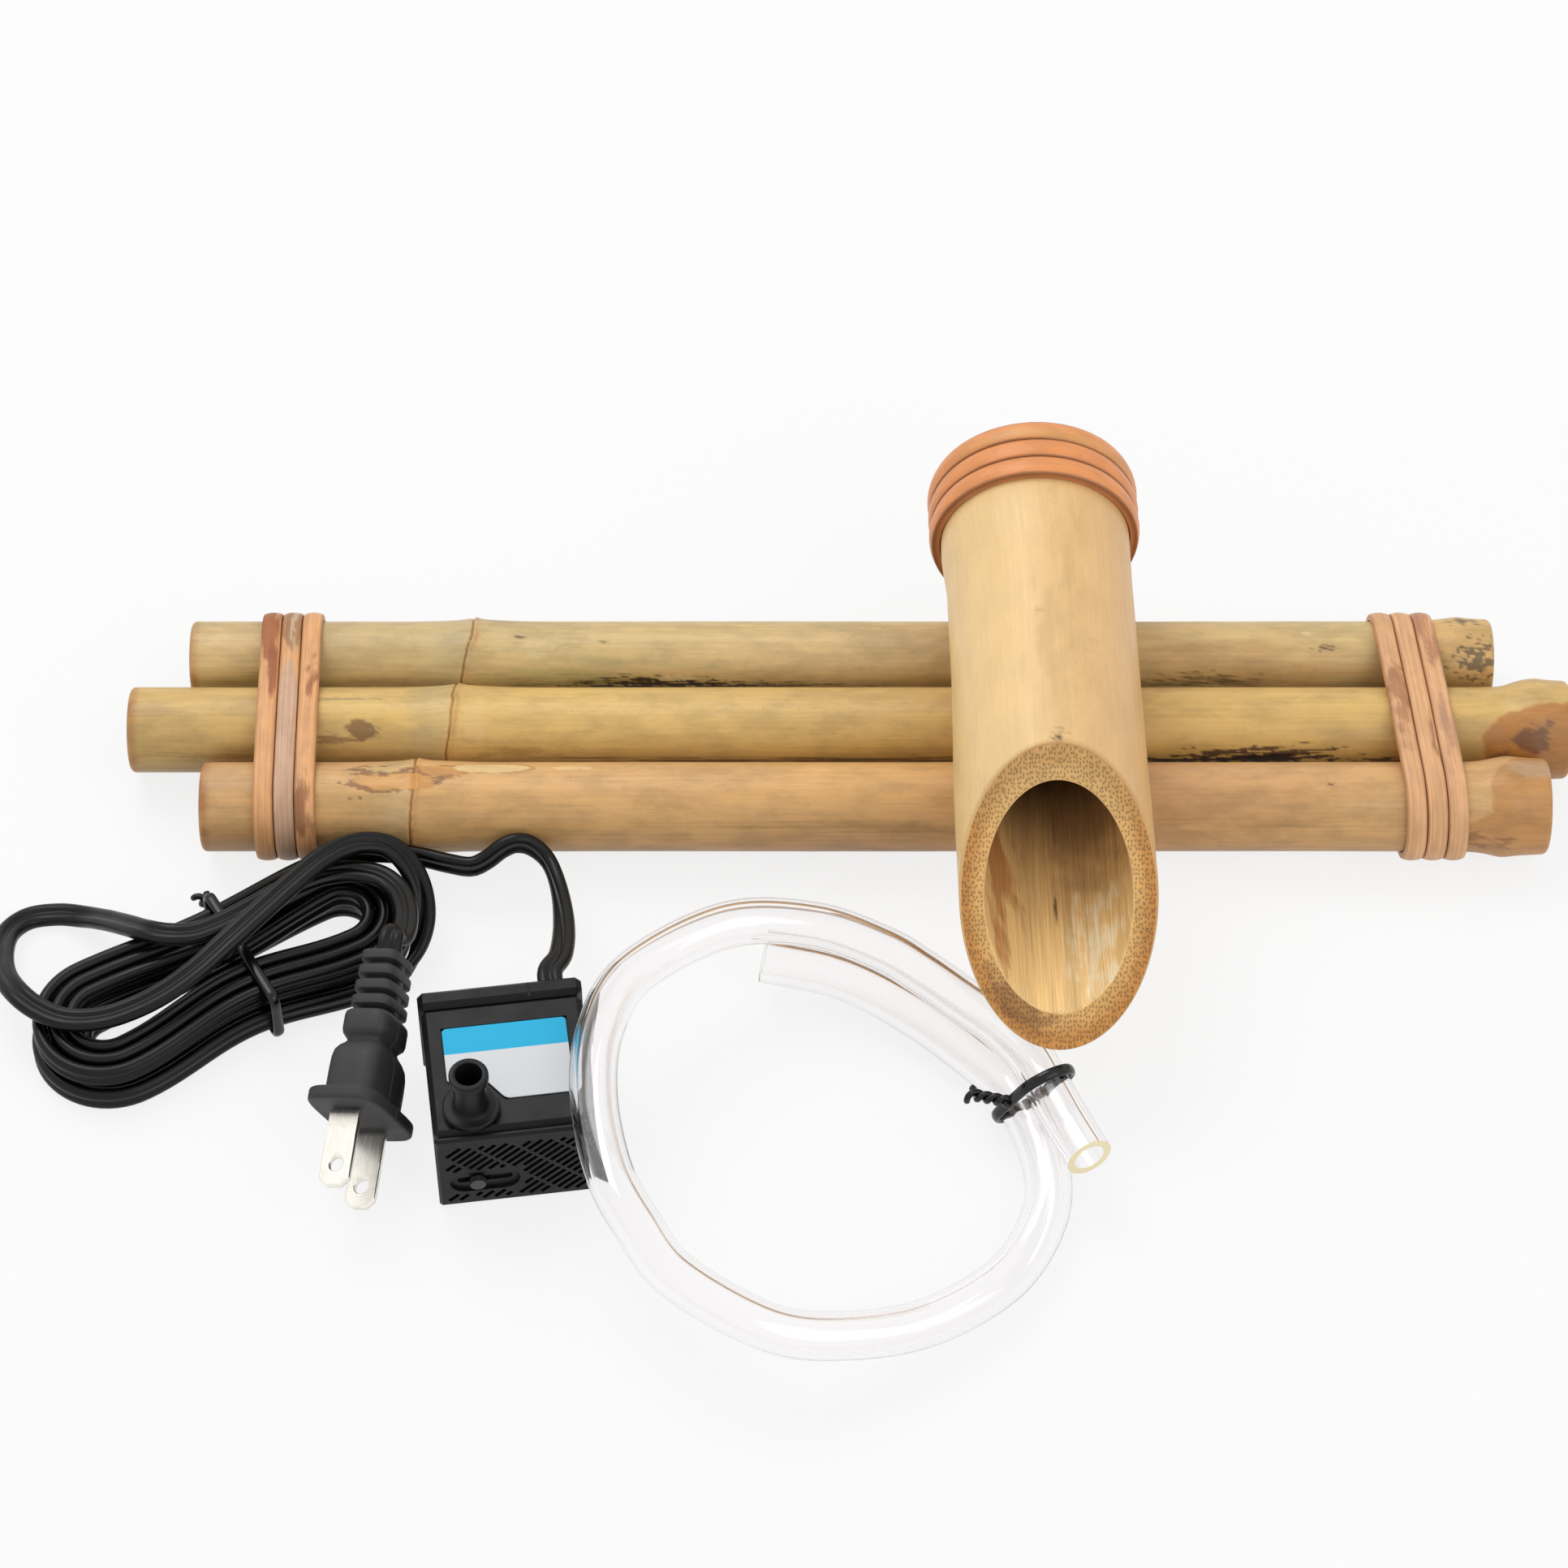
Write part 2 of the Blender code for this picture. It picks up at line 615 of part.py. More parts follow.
def report_gap(name, centres, size, loop_points):
    """Prints the least gap between stretches of a wound piece that are half a loop or more apart."""
    centres = np.asarray(centres)
    fine = np.concatenate([centres[:-1] + (centres[1:] - centres[:-1]) * t for t in (0.0, 0.25, 0.5, 0.75)])
    order = np.concatenate([np.arange(len(centres) - 1) + t for t in (0.0, 0.25, 0.5, 0.75)])
    apart = np.linalg.norm(fine[:, None] - fine[None], axis=2)
    apart[np.abs(order[:, None] - order[None]) < loop_points / 2] = np.inf
    print(f"{name}: least gap to itself {(apart.min() - size) / MM:.2f} mm")


def smooth_route(route, count):
    """Points at even steps along a smooth curve through a route's own points."""
    given = np.asarray(route, float)
    padded = np.vstack([2 * given[0] - given[1], given, 2 * given[-1] - given[-2]])
    fine = []
    for a, b, c, d in zip(padded, padded[1:], padded[2:], padded[3:]):
        for t in np.linspace(0, 1, 16, endpoint=False):
            curve = (2 * b + (c - a) * t + (2 * a - 5 * b + 4 * c - d) * t ** 2
                     + (3 * b - a - 3 * c + d) * t ** 3) / 2
            fine.append(curve)
    fine = np.array(fine + [given[-1]])
    along = np.concatenate(([0], np.cumsum(np.linalg.norm(np.diff(fine, axis=0), axis=1))))
    even = np.linspace(0, along[-1], count)
    return np.stack([np.interp(even, along, fine[:, i]) for i in range(3)], axis=1)


def route_length(points):
    """Length along a list of points."""
    return np.linalg.norm(np.diff(np.asarray(points), axis=0), axis=1).sum()


def flat_cord(name, points, ahead, turns, section_shares, parent, finish):
    """Flat cord along points, standing on edge where turns is 0 and lying flat where it is 1."""
    points = np.array(points)
    points[0] += ahead[0] * SEAT_GAP / 2
    points[-1] -= ahead[-1] * SEAT_GAP / 2
    side = np.cross(ahead, (0, 0, 1))
    side /= np.linalg.norm(side, axis=1)[:, None]
    above = np.cross(side, ahead)
    rings = []
    for point, out, up, turn in zip(points, side, above, turns):
        angle = turn * pi / 2
        wide = up * cos(angle) + out * sin(angle)
        thin = out * cos(angle) - up * sin(angle)
        rings.append([point + wide * CORD_WIDTH * w + thin * CORD_THICKNESS * t for w, t in section_shares])
    return skin(name, rings, parent, finish)


def round_tube(name, points, radius, resolution, parent, finish, wall=None):
    """Round tube along points: solid with filled caps, or open with a wall."""
    curve = bpy.data.curves.new(name, "CURVE")
    curve.dimensions = "3D"
    curve.bevel_depth = radius
    curve.bevel_resolution = resolution
    curve.use_fill_caps = wall is None
    line = curve.splines.new("POLY")
    line.points.add(len(points) - 1)
    for point, place in zip(line.points, points):
        point.co = (*place, 1)
    line.use_smooth = True
    made = add_object(name, curve, parent, finish)
    if wall:
        shell = made.modifiers.new("wall", "SOLIDIFY")
        shell.thickness = wall
        shell.offset = -1
    return made


def arm_profile(length, diameter, left_node, right_node, swell):
    """Wall of one culm: outer side from the right end down to the left, then the bore back up."""
    outer = diameter / 2
    bore = outer - ARM_WALL
    end = outer + swell
    near, far = left_node, length - right_node
    half = DIAPHRAGM_THICKNESS / 2
    shoulder = outer + NODE_SHOULDER_SHARE * NODE_BULGE
    outside = [
        (end - ARM_END_ROUNDING, length), (end, length - ARM_END_ROUNDING),
        (end, far + NODE_HALF_WIDTH), (end + NODE_BULGE, far), (shoulder, far - NODE_HALF_WIDTH),
        (outer, far - 3 * NODE_HALF_WIDTH), (outer, near + 3 * NODE_HALF_WIDTH),
        (shoulder, near + NODE_HALF_WIDTH), (outer + NODE_BULGE, near), (shoulder, near - NODE_HALF_WIDTH),
        (outer, near - 2 * NODE_HALF_WIDTH), (outer, ARM_END_ROUNDING), (outer - ARM_END_ROUNDING, 0),
    ]
    inside = [(bore, 0)]
    for node in (near, far):
        inside += [(bore, node - half), (DIAPHRAGM_HOLE_RADIUS, node - half),
                   (DIAPHRAGM_HOLE_RADIUS, node + half), (bore, node + half)]
    inside.append((bore, length))
    return outside + inside


def arm_circles():
    """Each arm's circle (y, z, radius), from back to front, as they rest on their bindings."""
    radii = (ARM_BACK_DIAMETER / 2, ARM_MIDDLE_DIAMETER / 2, ARM_FRONT_DIAMETER / 2)
    places = (ARM_MIDDLE_Y + radii[1] + ARM_BACK_GAP + radii[0], ARM_MIDDLE_Y,
              ARM_MIDDLE_Y - radii[1] - ARM_FRONT_GAP - radii[2])
    lift = BINDING_THICKNESS + SEAT_GAP
    return [(y, lift + radius, radius) for y, radius in zip(places, radii)]


def build_arms(layout):
    """The three culms, side by side."""
    culms = (
        ("arm_back", "bamboo_green_tan", ARM_BACK_SHORT_OF_LEFT, ARM_BACK_SHORT_OF_RIGHT, ARM_BACK_DIAMETER,
         ARM_BACK_LEFT_NODE, ARM_BACK_RIGHT_NODE, ARM_BACK_SWELL),
        ("arm_middle", "bamboo_ochre", 0, 0, ARM_MIDDLE_DIAMETER,
         ARM_MIDDLE_LEFT_NODE, ARM_MIDDLE_RIGHT_NODE, ARM_MIDDLE_SWELL),
        ("arm_front", "bamboo_tan", ARM_FRONT_SHORT_OF_LEFT, ARM_FRONT_SHORT_OF_RIGHT, ARM_FRONT_DIAMETER,
         ARM_FRONT_LEFT_NODE, ARM_FRONT_RIGHT_NODE, ARM_FRONT_SWELL),
    )
    made = {}
    for (name, finish, short_left, short_right, *sizes), (y, z, _) in zip(culms, arm_circles()):
        length = ARM_MIDDLE_LENGTH - short_left - short_right
        arm = turned(name, arm_profile(length, *sizes), ARM_SIDES, layout, finish)
        arm.location = (ARM_MIDDLE_LEFT + short_left, y, z)
        arm.rotation_euler = (0, radians(90), 0)
        made[name] = arm
    return made


def build_bindings(layout):
    """Rattan strip wound round all three arms near each end."""
    circles = arm_circles()
    for name, first_x, slant in (
        ("binding_left", ARM_MIDDLE_LEFT + BINDING_LEFT_FROM_END, BINDING_LEFT_SLANT_SHARE),
        ("binding_right", ARM_MIDDLE_RIGHT - BINDING_RIGHT_FROM_END, BINDING_RIGHT_SLANT_SHARE),
    ):
        strip_winding(name, circles, first_x, BINDING_TURNS, BINDING_PITCH, BINDING_WIDTH,
                      BINDING_THICKNESS, slant, layout, "rattan_tan")


def spout_frame(layout):
    """Frame on top of the middle arm: Y up out of the arms, Z along the spout to its mouth."""
    _, middle, front = arm_circles()
    tilt = tangent_angle(middle, front)
    up = Vector((0, cos(tilt), sin(tilt)))
    ahead = Vector((0, -sin(tilt), cos(tilt)))
    ahead.rotate(Matrix.Rotation(SPOUT_YAW, 3, up))
    seat = Vector((SPOUT_X, middle[0], middle[1])) + up * middle[2]
    across = up.cross(ahead)
    turn = Matrix((across, up, ahead)).transposed().to_4x4()
    return make_empty("spout_pivot", layout, Matrix.Translation(seat) @ turn)


def build_spout(layout, arm_middle):
    """The thick culm with its slanted mouth, its rattan wrap and the peg under it."""
    pivot = spout_frame(layout)
    radius = SPOUT_DIAMETER / 2
    bore = radius - SPOUT_WALL
    inlet = TUBING_OUTER_DIAMETER / 2 + INLET_CLEARANCE
    profile = [
        (radius, SPOUT_LENGTH), (radius, SPOUT_BACK_ROUNDING),
        (radius - SPOUT_BACK_ROUNDING / 3, SPOUT_BACK_ROUNDING / 3), (radius - SPOUT_BACK_ROUNDING, 0),
        (inlet, 0), (inlet, SPOUT_BACK_THICKNESS), (bore, SPOUT_BACK_THICKNESS), (bore, SPOUT_LENGTH),
    ]
    tube = turned("spout_tube", profile, SPOUT_SIDES, pivot, "bamboo_pale")
    tube.location = (0, SEAT_GAP + radius, -SPOUT_BACK_TO_PEG)

    slope = atan2(SPOUT_DIAMETER, SPOUT_MOUTH_LENGTH)
    knife_size = 2 * (SPOUT_LENGTH + SPOUT_DIAMETER)
    knife = box("mouth_knife", (-knife_size, -knife_size, 0), (knife_size, knife_size, knife_size), pivot)
    middle = SPOUT_LENGTH - SPOUT_BACK_TO_PEG - SPOUT_MOUTH_LENGTH / 2
    knife.location = (0, SEAT_GAP + radius, middle)
    knife.rotation_euler = (slope - radians(90), 0, 0)
    cut(tube, knife)

    peg_radius = PEG_DIAMETER / 2
    socket_top = PEG_RISE + PEG_SOCKET_CLEARANCE
    socket = cylinder("peg_socket", peg_radius + SEAT_GAP, (0, -OVERRUN, 0), (0, socket_top, 0), pivot)
    cut(tube, socket)
    arm_radius = ARM_MIDDLE_DIAMETER / 2
    below_axis = ((arm_radius - ARM_WALL) ** 2 - (peg_radius + SEAT_GAP) ** 2) ** 0.5
    foot = SEAT_GAP - arm_radius - below_axis
    cylinder("spout_peg", peg_radius, (0, foot, 0), (0, PEG_RISE, 0), pivot, "peg_wood")
    hole = cylinder("peg_hole", peg_radius + SEAT_GAP, (0, -arm_radius, 0), (0, OVERRUN, 0), pivot)
    cut(arm_middle, hole)

    wrap_frame = make_empty("wrap_frame", pivot, Matrix.Translation(tube.location)
                            @ Matrix(((0, 1, 0, 0), (0, 0, 1, 0), (1, 0, 0, 0), (0, 0, 0, 1))))
    first = WRAP_FROM_END + WRAP_WIDTH / 2
    strip_winding("spout_wrap", [(0.0, 0.0, radius)], first, WRAP_TURNS, WRAP_PITCH, WRAP_WIDTH,
                  WRAP_THICKNESS, 0.0, wrap_frame, "rattan_orange")
    return pivot


class PumpPlaces:
    """Places along the pump's depth, all worked out from its sizes."""

    half_width = PUMP_WIDTH / 2
    front = -PUMP_DEPTH / 2
    back = PUMP_DEPTH / 2
    grille_back = front + GRILLE_THICKNESS
    shutter_front = grille_back + SEAT_GAP
    shutter_back = shutter_front + SHUTTER_THICKNESS
    cover_front = shutter_back + SEAT_GAP
    cover_back = cover_front + CHAMBER_COVER_THICKNESS
    block_front = cover_back + SEAT_GAP
    chamber_back = block_front + CHAMBER_DEPTH
    block_back = block_front + BLOCK_DEPTH
    well_end = chamber_back + WELL_LENGTH
    seam = back - LID_DEPTH
    floor = FOOT_RISE + PUMP_WALL
    ceiling = PUMP_TOP - PUMP_WALL
    inner = half_width - PUMP_WALL
    outlet_y = front + OUTLET_SETBACK
    bush_back = well_end - SEAT_GAP
    magnet_front = chamber_back - SEAT_GAP / 2
    magnet_back = bush_back - BUSH_LENGTH - SEAT_GAP
    yoke_front = well_end + WELL_BOTTOM + COIL_WALL + 2 * SEAT_GAP + CORE_INSET / 4


def build_pump_housing(frame):
    """Body of the pump: intake recess, impeller chamber with its duct, rotor well and motor bay."""
    at = PumpPlaces
    body = box("pump_housing", (-at.half_width, at.grille_back + SEAT_GAP, FOOT_RISE),
               (at.half_width, at.seam, PUMP_TOP), frame, "black_plastic")
    round_edges(body, PUMP_CORNER)
    recess = box("intake_recess", (-at.inner, at.front, at.floor), (at.inner, at.block_front, RECESS_TOP), frame)
    cut(body, recess)
    bay = box("motor_bay", (-at.inner, at.block_back, at.floor), (at.inner, at.back, at.ceiling), frame)
    cut(body, bay)
    axis_front = (0, at.chamber_back - SEAT_GAP, ROTOR_HEIGHT)
    well = cylinder("well_wall", WELL_RADIUS + WELL_WALL, (0, at.block_back - WELL_WALL, ROTOR_HEIGHT),
                    (0, at.well_end + WELL_BOTTOM, ROTOR_HEIGHT), frame)
    join(body, well)
    chamber = cylinder("chamber_hollow", CHAMBER_RADIUS, (0, at.block_front - SEAT_GAP, ROTOR_HEIGHT),
                       (0, at.chamber_back, ROTOR_HEIGHT), frame)
    cut(body, chamber)
    cut(body, cylinder("well_hollow", WELL_RADIUS, axis_front, (0, at.well_end, ROTOR_HEIGHT), frame))
    duct_top = PUMP_TOP - SPIGOT_HOLE_DEPTH + DUCT_OVERLAP
    duct = box("outlet_duct", (OUTLET_X - DUCT_HALF_WIDTH, at.block_front + WELL_WALL, ROTOR_HEIGHT),
               (OUTLET_X + 2 * DUCT_HALF_WIDTH, at.chamber_back, duct_top), frame)
    cut(body, duct)
    spigot_hole = cylinder("spigot_hole", SPIGOT_RADIUS + SEAT_GAP,
                           (OUTLET_X, at.outlet_y, PUMP_TOP - SPIGOT_HOLE_DEPTH),
                           (OUTLET_X, at.outlet_y, PUMP_TOP + OVERRUN), frame)
    cut(body, spigot_hole)
    seat = plate("label_seat", label_outline(SEAT_GAP), 2 * LABEL_SINK, frame)
    seat.location = (0, 0, PUMP_TOP)
    cut(body, seat)
    for name, (x, y) in foot_places().items():
        cut(body, cylinder(f"{name}_hole", FOOT_STEM_RADIUS + SEAT_GAP, (x, y, 0),
                           (x, y, FOOT_RISE + FOOT_STEM_LENGTH), frame, sides=SMALL_SIDES))
    return body


def foot_places():
    """Where each of the pump's feet stands."""
    x = PumpPlaces.half_width - FOOT_INSET
    front = PumpPlaces.block_front + FOOT_INSET / 2
    back = PumpPlaces.seam - FOOT_INSET
    return {
        "pump_foot_front_left": (-x, front), "pump_foot_front_right": (x, front),
        "pump_foot_back_left": (-x, back), "pump_foot_back_right": (x, back),
    }


def label_outline(margin):
    """The label's outline, grown by a margin."""
    return [
        (LABEL_LEFT - margin, LABEL_BACK + margin), (LABEL_LEFT - margin, LABEL_NOTCH_Y - margin),
        (LABEL_NOTCH_OUTER_X - margin, LABEL_NOTCH_Y - margin),
        (LABEL_NOTCH_INNER_X - margin, LABEL_FRONT - margin),
        (LABEL_RIGHT + margin, LABEL_FRONT - margin), (LABEL_RIGHT + margin, LABEL_BACK + margin),
    ]


def build_pump_shell(frame):
    """Lid, grille, slider, feet, label and outlet round the housing."""
    at = PumpPlaces
    lid_half = at.half_width + LID_OVERHANG
    lid = box("pump_rear_cover", (-lid_half, at.seam + SEAT_GAP, FOOT_RISE), (lid_half, at.back, PUMP_TOP),
              frame, "black_plastic")
    round_edges(lid, PUMP_CORNER)
    cut(lid, box("lid_hollow", (-at.inner, at.front, at.floor), (at.inner, at.back - PUMP_WALL, at.ceiling), frame))
    socket_z = PUMP_TOP - CORD_SOCKET_DROP
    half_wide = CORD_WIDTH / 2 + SEAT_GAP
    half_thick = CORD_THICKNESS / 2 + SEAT_GAP
    cut(lid, box("cord_socket", (CORD_SOCKET_X - half_wide, at.back - CORD_SOCKET_DEPTH, socket_z - half_thick),
                 (CORD_SOCKET_X + half_wide, at.back + OVERRUN, socket_z + half_thick), frame))
    slit_x = CORD_SOCKET_X - CORD_WIDTH
    cut(lid, box("lid_slit", (slit_x, at.seam, PUMP_TOP - LID_SLIT_DEPTH),
                 (slit_x + LID_SLIT_WIDTH, at.back - LID_SLIT_DEPTH, PUMP_TOP + OVERRUN), frame))

    build_grille(frame)
    build_slider(frame)

    for name, (x, y) in foot_places().items():
        pad = cylinder(name, FOOT_RADIUS, (x, y, 0), (x, y, FOOT_RISE - SEAT_GAP), frame, "black_rubber")
        stem = cylinder(f"{name}_stem", FOOT_STEM_RADIUS, (x, y, FOOT_RISE / 2),
                        (x, y, FOOT_RISE + FOOT_STEM_LENGTH - SEAT_GAP), frame, sides=SMALL_SIDES)
        join(pad, stem)

    label = plate("pump_label", label_outline(0), LABEL_THICKNESS, frame, "label_white")
    label.location = (0, 0, PUMP_TOP + LABEL_PROUD - LABEL_THICKNESS / 2)

    top = PUMP_TOP + OUTLET_HEIGHT
    seat = PUMP_TOP + SEAT_GAP
    flange = seat + OUTLET_FLANGE_THICKNESS
    profile = [
        (OUTLET_TIP_RADIUS, top), (OUTLET_TIP_RADIUS, top - OUTLET_TIP_LENGTH),
        (OUTLET_NECK_RADIUS, top - 1.5 * OUTLET_TIP_LENGTH), (OUTLET_NECK_RADIUS, flange),
        (OUTLET_FLANGE_RADIUS, flange), (OUTLET_FLANGE_RADIUS, seat), (SPIGOT_RADIUS, seat),
        (SPIGOT_RADIUS, PUMP_TOP - SPIGOT_LENGTH), (SPIGOT_BORE_RADIUS, PUMP_TOP - SPIGOT_LENGTH),
        (SPIGOT_BORE_RADIUS, seat), (OUTLET_BORE_RADIUS, flange), (OUTLET_BORE_RADIUS, top),
    ]
    outlet = turned("pump_outlet", profile, ROUND_SIDES, frame, "black_plastic")
    outlet.location = (OUTLET_X, at.outlet_y, 0)


def box_crossing(origin, ahead, sides):
    """Where a line enters and leaves a box, as lengths along it; it leaves first where it misses."""
    ends = [sorted(((low - start) / step, (high - start) / step))
            for start, step, (low, high) in zip(origin, ahead, sides)]
    return max(end[0] for end in ends), min(end[1] for end in ends)


def slot_places():
    """Middle and length of each slot: slanted lines cut into equal slots, less the slider's oval."""
    ahead = np.array([cos(SLOT_SLANT), sin(SLOT_SLANT)])
    aside = np.array([-sin(SLOT_SLANT), cos(SLOT_SLANT)])
    middle = np.array([0, SLOT_MIDDLE_Z])
    half = np.array([PumpPlaces.half_width - SLOT_EDGE, SLOT_FIELD_HEIGHT / 2])
    grown = np.array([OVAL_LENGTH, OVAL_HEIGHT]) / 2 + SLOT_MARGIN
    oval = np.array([OVAL_X, OVAL_Z])
    reach = float(np.hypot(*half))
    lines = int(reach / SLOT_LINE_PITCH) + 1
    cells = int(reach / (SLOT_LENGTH + SLOT_GAP)) + 1
    places = []
    for line in range(-lines, lines + 1):
        origin = middle + aside * line * SLOT_LINE_PITCH
        enter, leave = box_crossing(origin, ahead, zip(middle - half, middle + half))
        stop, resume = box_crossing(origin, ahead, zip(oval - grown, oval + grown))
        if stop > resume:
            stop = resume = leave
        for cell in range(-cells, cells):
            first = cell * (SLOT_LENGTH + SLOT_GAP)
            last = first + SLOT_LENGTH
            for low, high in ((max(first, enter), min(last, stop)), (max(first, resume), min(last, leave))):
                if high - low > SLOT_SHORTEST:
                    x, z = origin + ahead * (low + high) / 2
                    places.append((x, z, high - low))
    return places


def build_grille(frame):
    """Front grille that slides off, with two tongues that hold it in the housing."""
    at = PumpPlaces
    grille = box("pump_intake_cover", (-at.half_width, at.front, FOOT_RISE),
                 (at.half_width, at.grille_back, PUMP_TOP), frame, "black_plastic")
    round_edges(grille, PUMP_CORNER / 2)
    tongue_back = at.block_front - SEAT_GAP
    for name, low_z in (("upper_tongue", RECESS_TOP - SEAT_GAP - TONGUE_THICKNESS), ("lower_tongue", at.floor + SEAT_GAP)):
        join(grille, box(name, (TONGUE_LEFT, at.front + GRILLE_THICKNESS / 2, low_z),
                         (TONGUE_RIGHT, tongue_back, low_z + TONGUE_THICKNESS), frame))

    places = slot_places()

    def build(shape):
        for x, z, length in places:
            place = (Matrix.Translation((x, at.front, z)) @ Matrix.Rotation(-SLOT_SLANT, 4, "Y")
                     @ Matrix.Diagonal((length, 2 * SLOT_CUT_DEPTH, SLOT_WIDTH, 1)))
            bmesh.ops.create_cube(shape, size=1, matrix=place)

    slots = add_object("grille_slots", mesh_from_bmesh("grille_slots", build), frame, None)
    cut(grille, slots)
    oval = plate("slider_oval", rounded_bar(OVAL_LENGTH, OVAL_HEIGHT), 2 * OVAL_DEPTH, frame, upright=True)
    track = plate("slider_track", rounded_bar(TRACK_LENGTH, TRACK_HEIGHT), 2 * OVERRUN, frame, upright=True)
    for cutter in (oval, track):
        cutter.location = (0, at.front, 0)
        cut(grille, cutter)


def rounded_bar(length, height):
    """Outline of a bar with round ends, round the middle of the slider's slot."""
    radius = height / 2
    straight = length / 2 - radius
    outline = []
    for centre, start in ((straight, -pi / 2), (-straight, pi / 2)):
        for i in range(ROUND_END_POINTS):
            angle = start + pi * i / (ROUND_END_POINTS - 1)
            outline.append((OVAL_X + centre + radius * cos(angle), OVAL_Z + radius * sin(angle)))
    return outline


def build_slider(frame):
    """Shutter behind the grille, with the knob that reaches through the slot."""
    at = PumpPlaces
    half = SHUTTER_LENGTH / 2
    shutter = box("pump_flow_slider", (KNOB_X - half, at.shutter_front, OVAL_Z - SHUTTER_HEIGHT / 2),
                  (KNOB_X + half, at.shutter_back, OVAL_Z + SHUTTER_HEIGHT / 2), frame, "grey_plastic")
    knob_back = at.front + OVAL_DEPTH - SEAT_GAP
    middle = at.shutter_front + SHUTTER_THICKNESS / 2
    neck = cylinder("knob_neck", KNOB_NECK_RADIUS, (KNOB_X, middle, OVAL_Z),
                    (KNOB_X, knob_back - KNOB_HEIGHT / 2, OVAL_Z), frame, sides=SMALL_SIDES)
    knob = cylinder("knob_head", KNOB_RADIUS, (KNOB_X, knob_back, OVAL_Z),
                    (KNOB_X, knob_back - KNOB_HEIGHT, OVAL_Z), frame, sides=SMALL_SIDES)
    join(shutter, neck)
    join(shutter, knob)


def build_rotor(frame):
    """Chamber cover, and the shaft in its bushes that the impeller and magnet turn on."""
    at = PumpPlaces
    room = at.floor + TONGUE_THICKNESS + 2 * SEAT_GAP
    cover = box("pump_chamber_cover", (SEAT_GAP - at.inner, at.cover_front, room),
                (at.inner - SEAT_GAP, at.cover_back, RECESS_TOP - TONGUE_THICKNESS - 2 * SEAT_GAP),
                frame, "white_plastic")
    axis = make_empty("rotor_axis", frame, Matrix.Translation((0, 0, ROTOR_HEIGHT)))
    before, behind = at.cover_front - OVERRUN, at.cover_back + OVERRUN
    cut(cover, cylinder("bush_seat", BUSH_RADIUS + SEAT_GAP, (0, before, 0), (0, behind, 0), axis,
                        sides=SMALL_SIDES))
    for number in range(INLET_HOLES):
        angle = 2 * pi * (number + 0.5) / INLET_HOLES
        x, z = INLET_CIRCLE_RADIUS * cos(angle), INLET_CIRCLE_RADIUS * sin(angle)
        cut(cover, cylinder(f"inlet_hole_{number}", INLET_HOLE_RADIUS, (x, before, z), (x, behind, z), axis,
                            sides=SMALL_SIDES))

    front_bush = at.cover_front + SEAT_GAP / 3
    rear_bush = at.bush_back - BUSH_LENGTH
    cylinder("pump_shaft", SHAFT_RADIUS, (0, front_bush + SEAT_GAP / 3, 0), (0, at.bush_back - SHAFT_SINK, 0),
             axis, "ceramic", SMALL_SIDES)
    bore = cylinder("shaft_bore", SHAFT_RADIUS + SEAT_GAP, (0, before, 0), (0, at.back, 0), axis,
                    sides=SMALL_SIDES)
    for name, start in (("pump_front_bush", front_bush), ("pump_rear_bush", rear_bush)):
        cut(cylinder(name, BUSH_RADIUS, (0, start, 0), (0, start + BUSH_LENGTH, 0), axis, "black_rubber",
                     SMALL_SIDES), bore)

    hub_front = front_bush + BUSH_LENGTH + SEAT_GAP
    disc_back = at.chamber_back - 2 * SEAT_GAP
    disc_middle = disc_back - IMPELLER_DISC / 2
    impeller = cylinder("pump_impeller", IMPELLER_RADIUS, (0, disc_back - IMPELLER_DISC, 0), (0, disc_back, 0),
                        axis, "white_plastic")
    join(impeller, cylinder("impeller_hub", IMPELLER_HUB_RADIUS, (0, hub_front, 0), (0, disc_middle, 0), axis))
    half = BLADE_THICKNESS / 2
    reach = IMPELLER_RADIUS - SEAT_GAP
    blade_front = hub_front + SEAT_GAP
    for name, x, z in (("blades_across", reach, half), ("blades_upright", half, reach)):
        join(impeller, box(name, (-x, blade_front, -z), (x, disc_middle, z), axis))
    cut(impeller, bore)
    magnet = cylinder("pump_rotor_magnet", ROTOR_RADIUS, (0, at.magnet_front, 0), (0, at.magnet_back, 0),
                      axis, "ferrite")
    cut(magnet, bore)
    return axis


def build_motor(frame):
    """The motor's core round the rotor's well, and its coil."""
    at = PumpPlaces
    window = WELL_RADIUS + WELL_WALL + SEAT_GAP
    core_half = window + CORE_SIDE
    yoke_back = at.yoke_front + YOKE_THICKNESS
    low, high = at.floor + CORE_INSET, at.ceiling - CORE_INSET
    core = box("pump_stator_core", (-core_half, CORE_FRONT, low), (core_half, yoke_back, high), frame, "steel_sheet")
    cut(core, box("core_window", (-window, CORE_FRONT - OVERRUN, low - OVERRUN),
                  (window, at.yoke_front, high + OVERRUN), frame))
    coil_low, coil_high = at.floor + SEAT_GAP, at.ceiling - SEAT_GAP
    coil = box("pump_coil", (-COIL_HALF_LENGTH, at.yoke_front - SEAT_GAP - COIL_WALL, coil_low),
               (COIL_HALF_LENGTH, yoke_back + SEAT_GAP + COIL_WALL, coil_high), frame, "copper")
    cut(coil, box("coil_window", (-COIL_HALF_LENGTH - OVERRUN, at.yoke_front - SEAT_GAP, low - SEAT_GAP),
                  (COIL_HALF_LENGTH + OVERRUN, yoke_back + SEAT_GAP, high + SEAT_GAP), frame))


def build_pump(layout):
    """The pump in its own frame on the table."""
    place = Matrix.Translation((PUMP_X, PUMP_Y, 0)) @ Matrix.Rotation(PUMP_YAW, 4, "Z")
    frame = make_empty("pump_frame", layout, place)
    build_pump_housing(frame)
    build_pump_shell(frame)
    build_rotor(frame)
    build_motor(frame)
    return frame


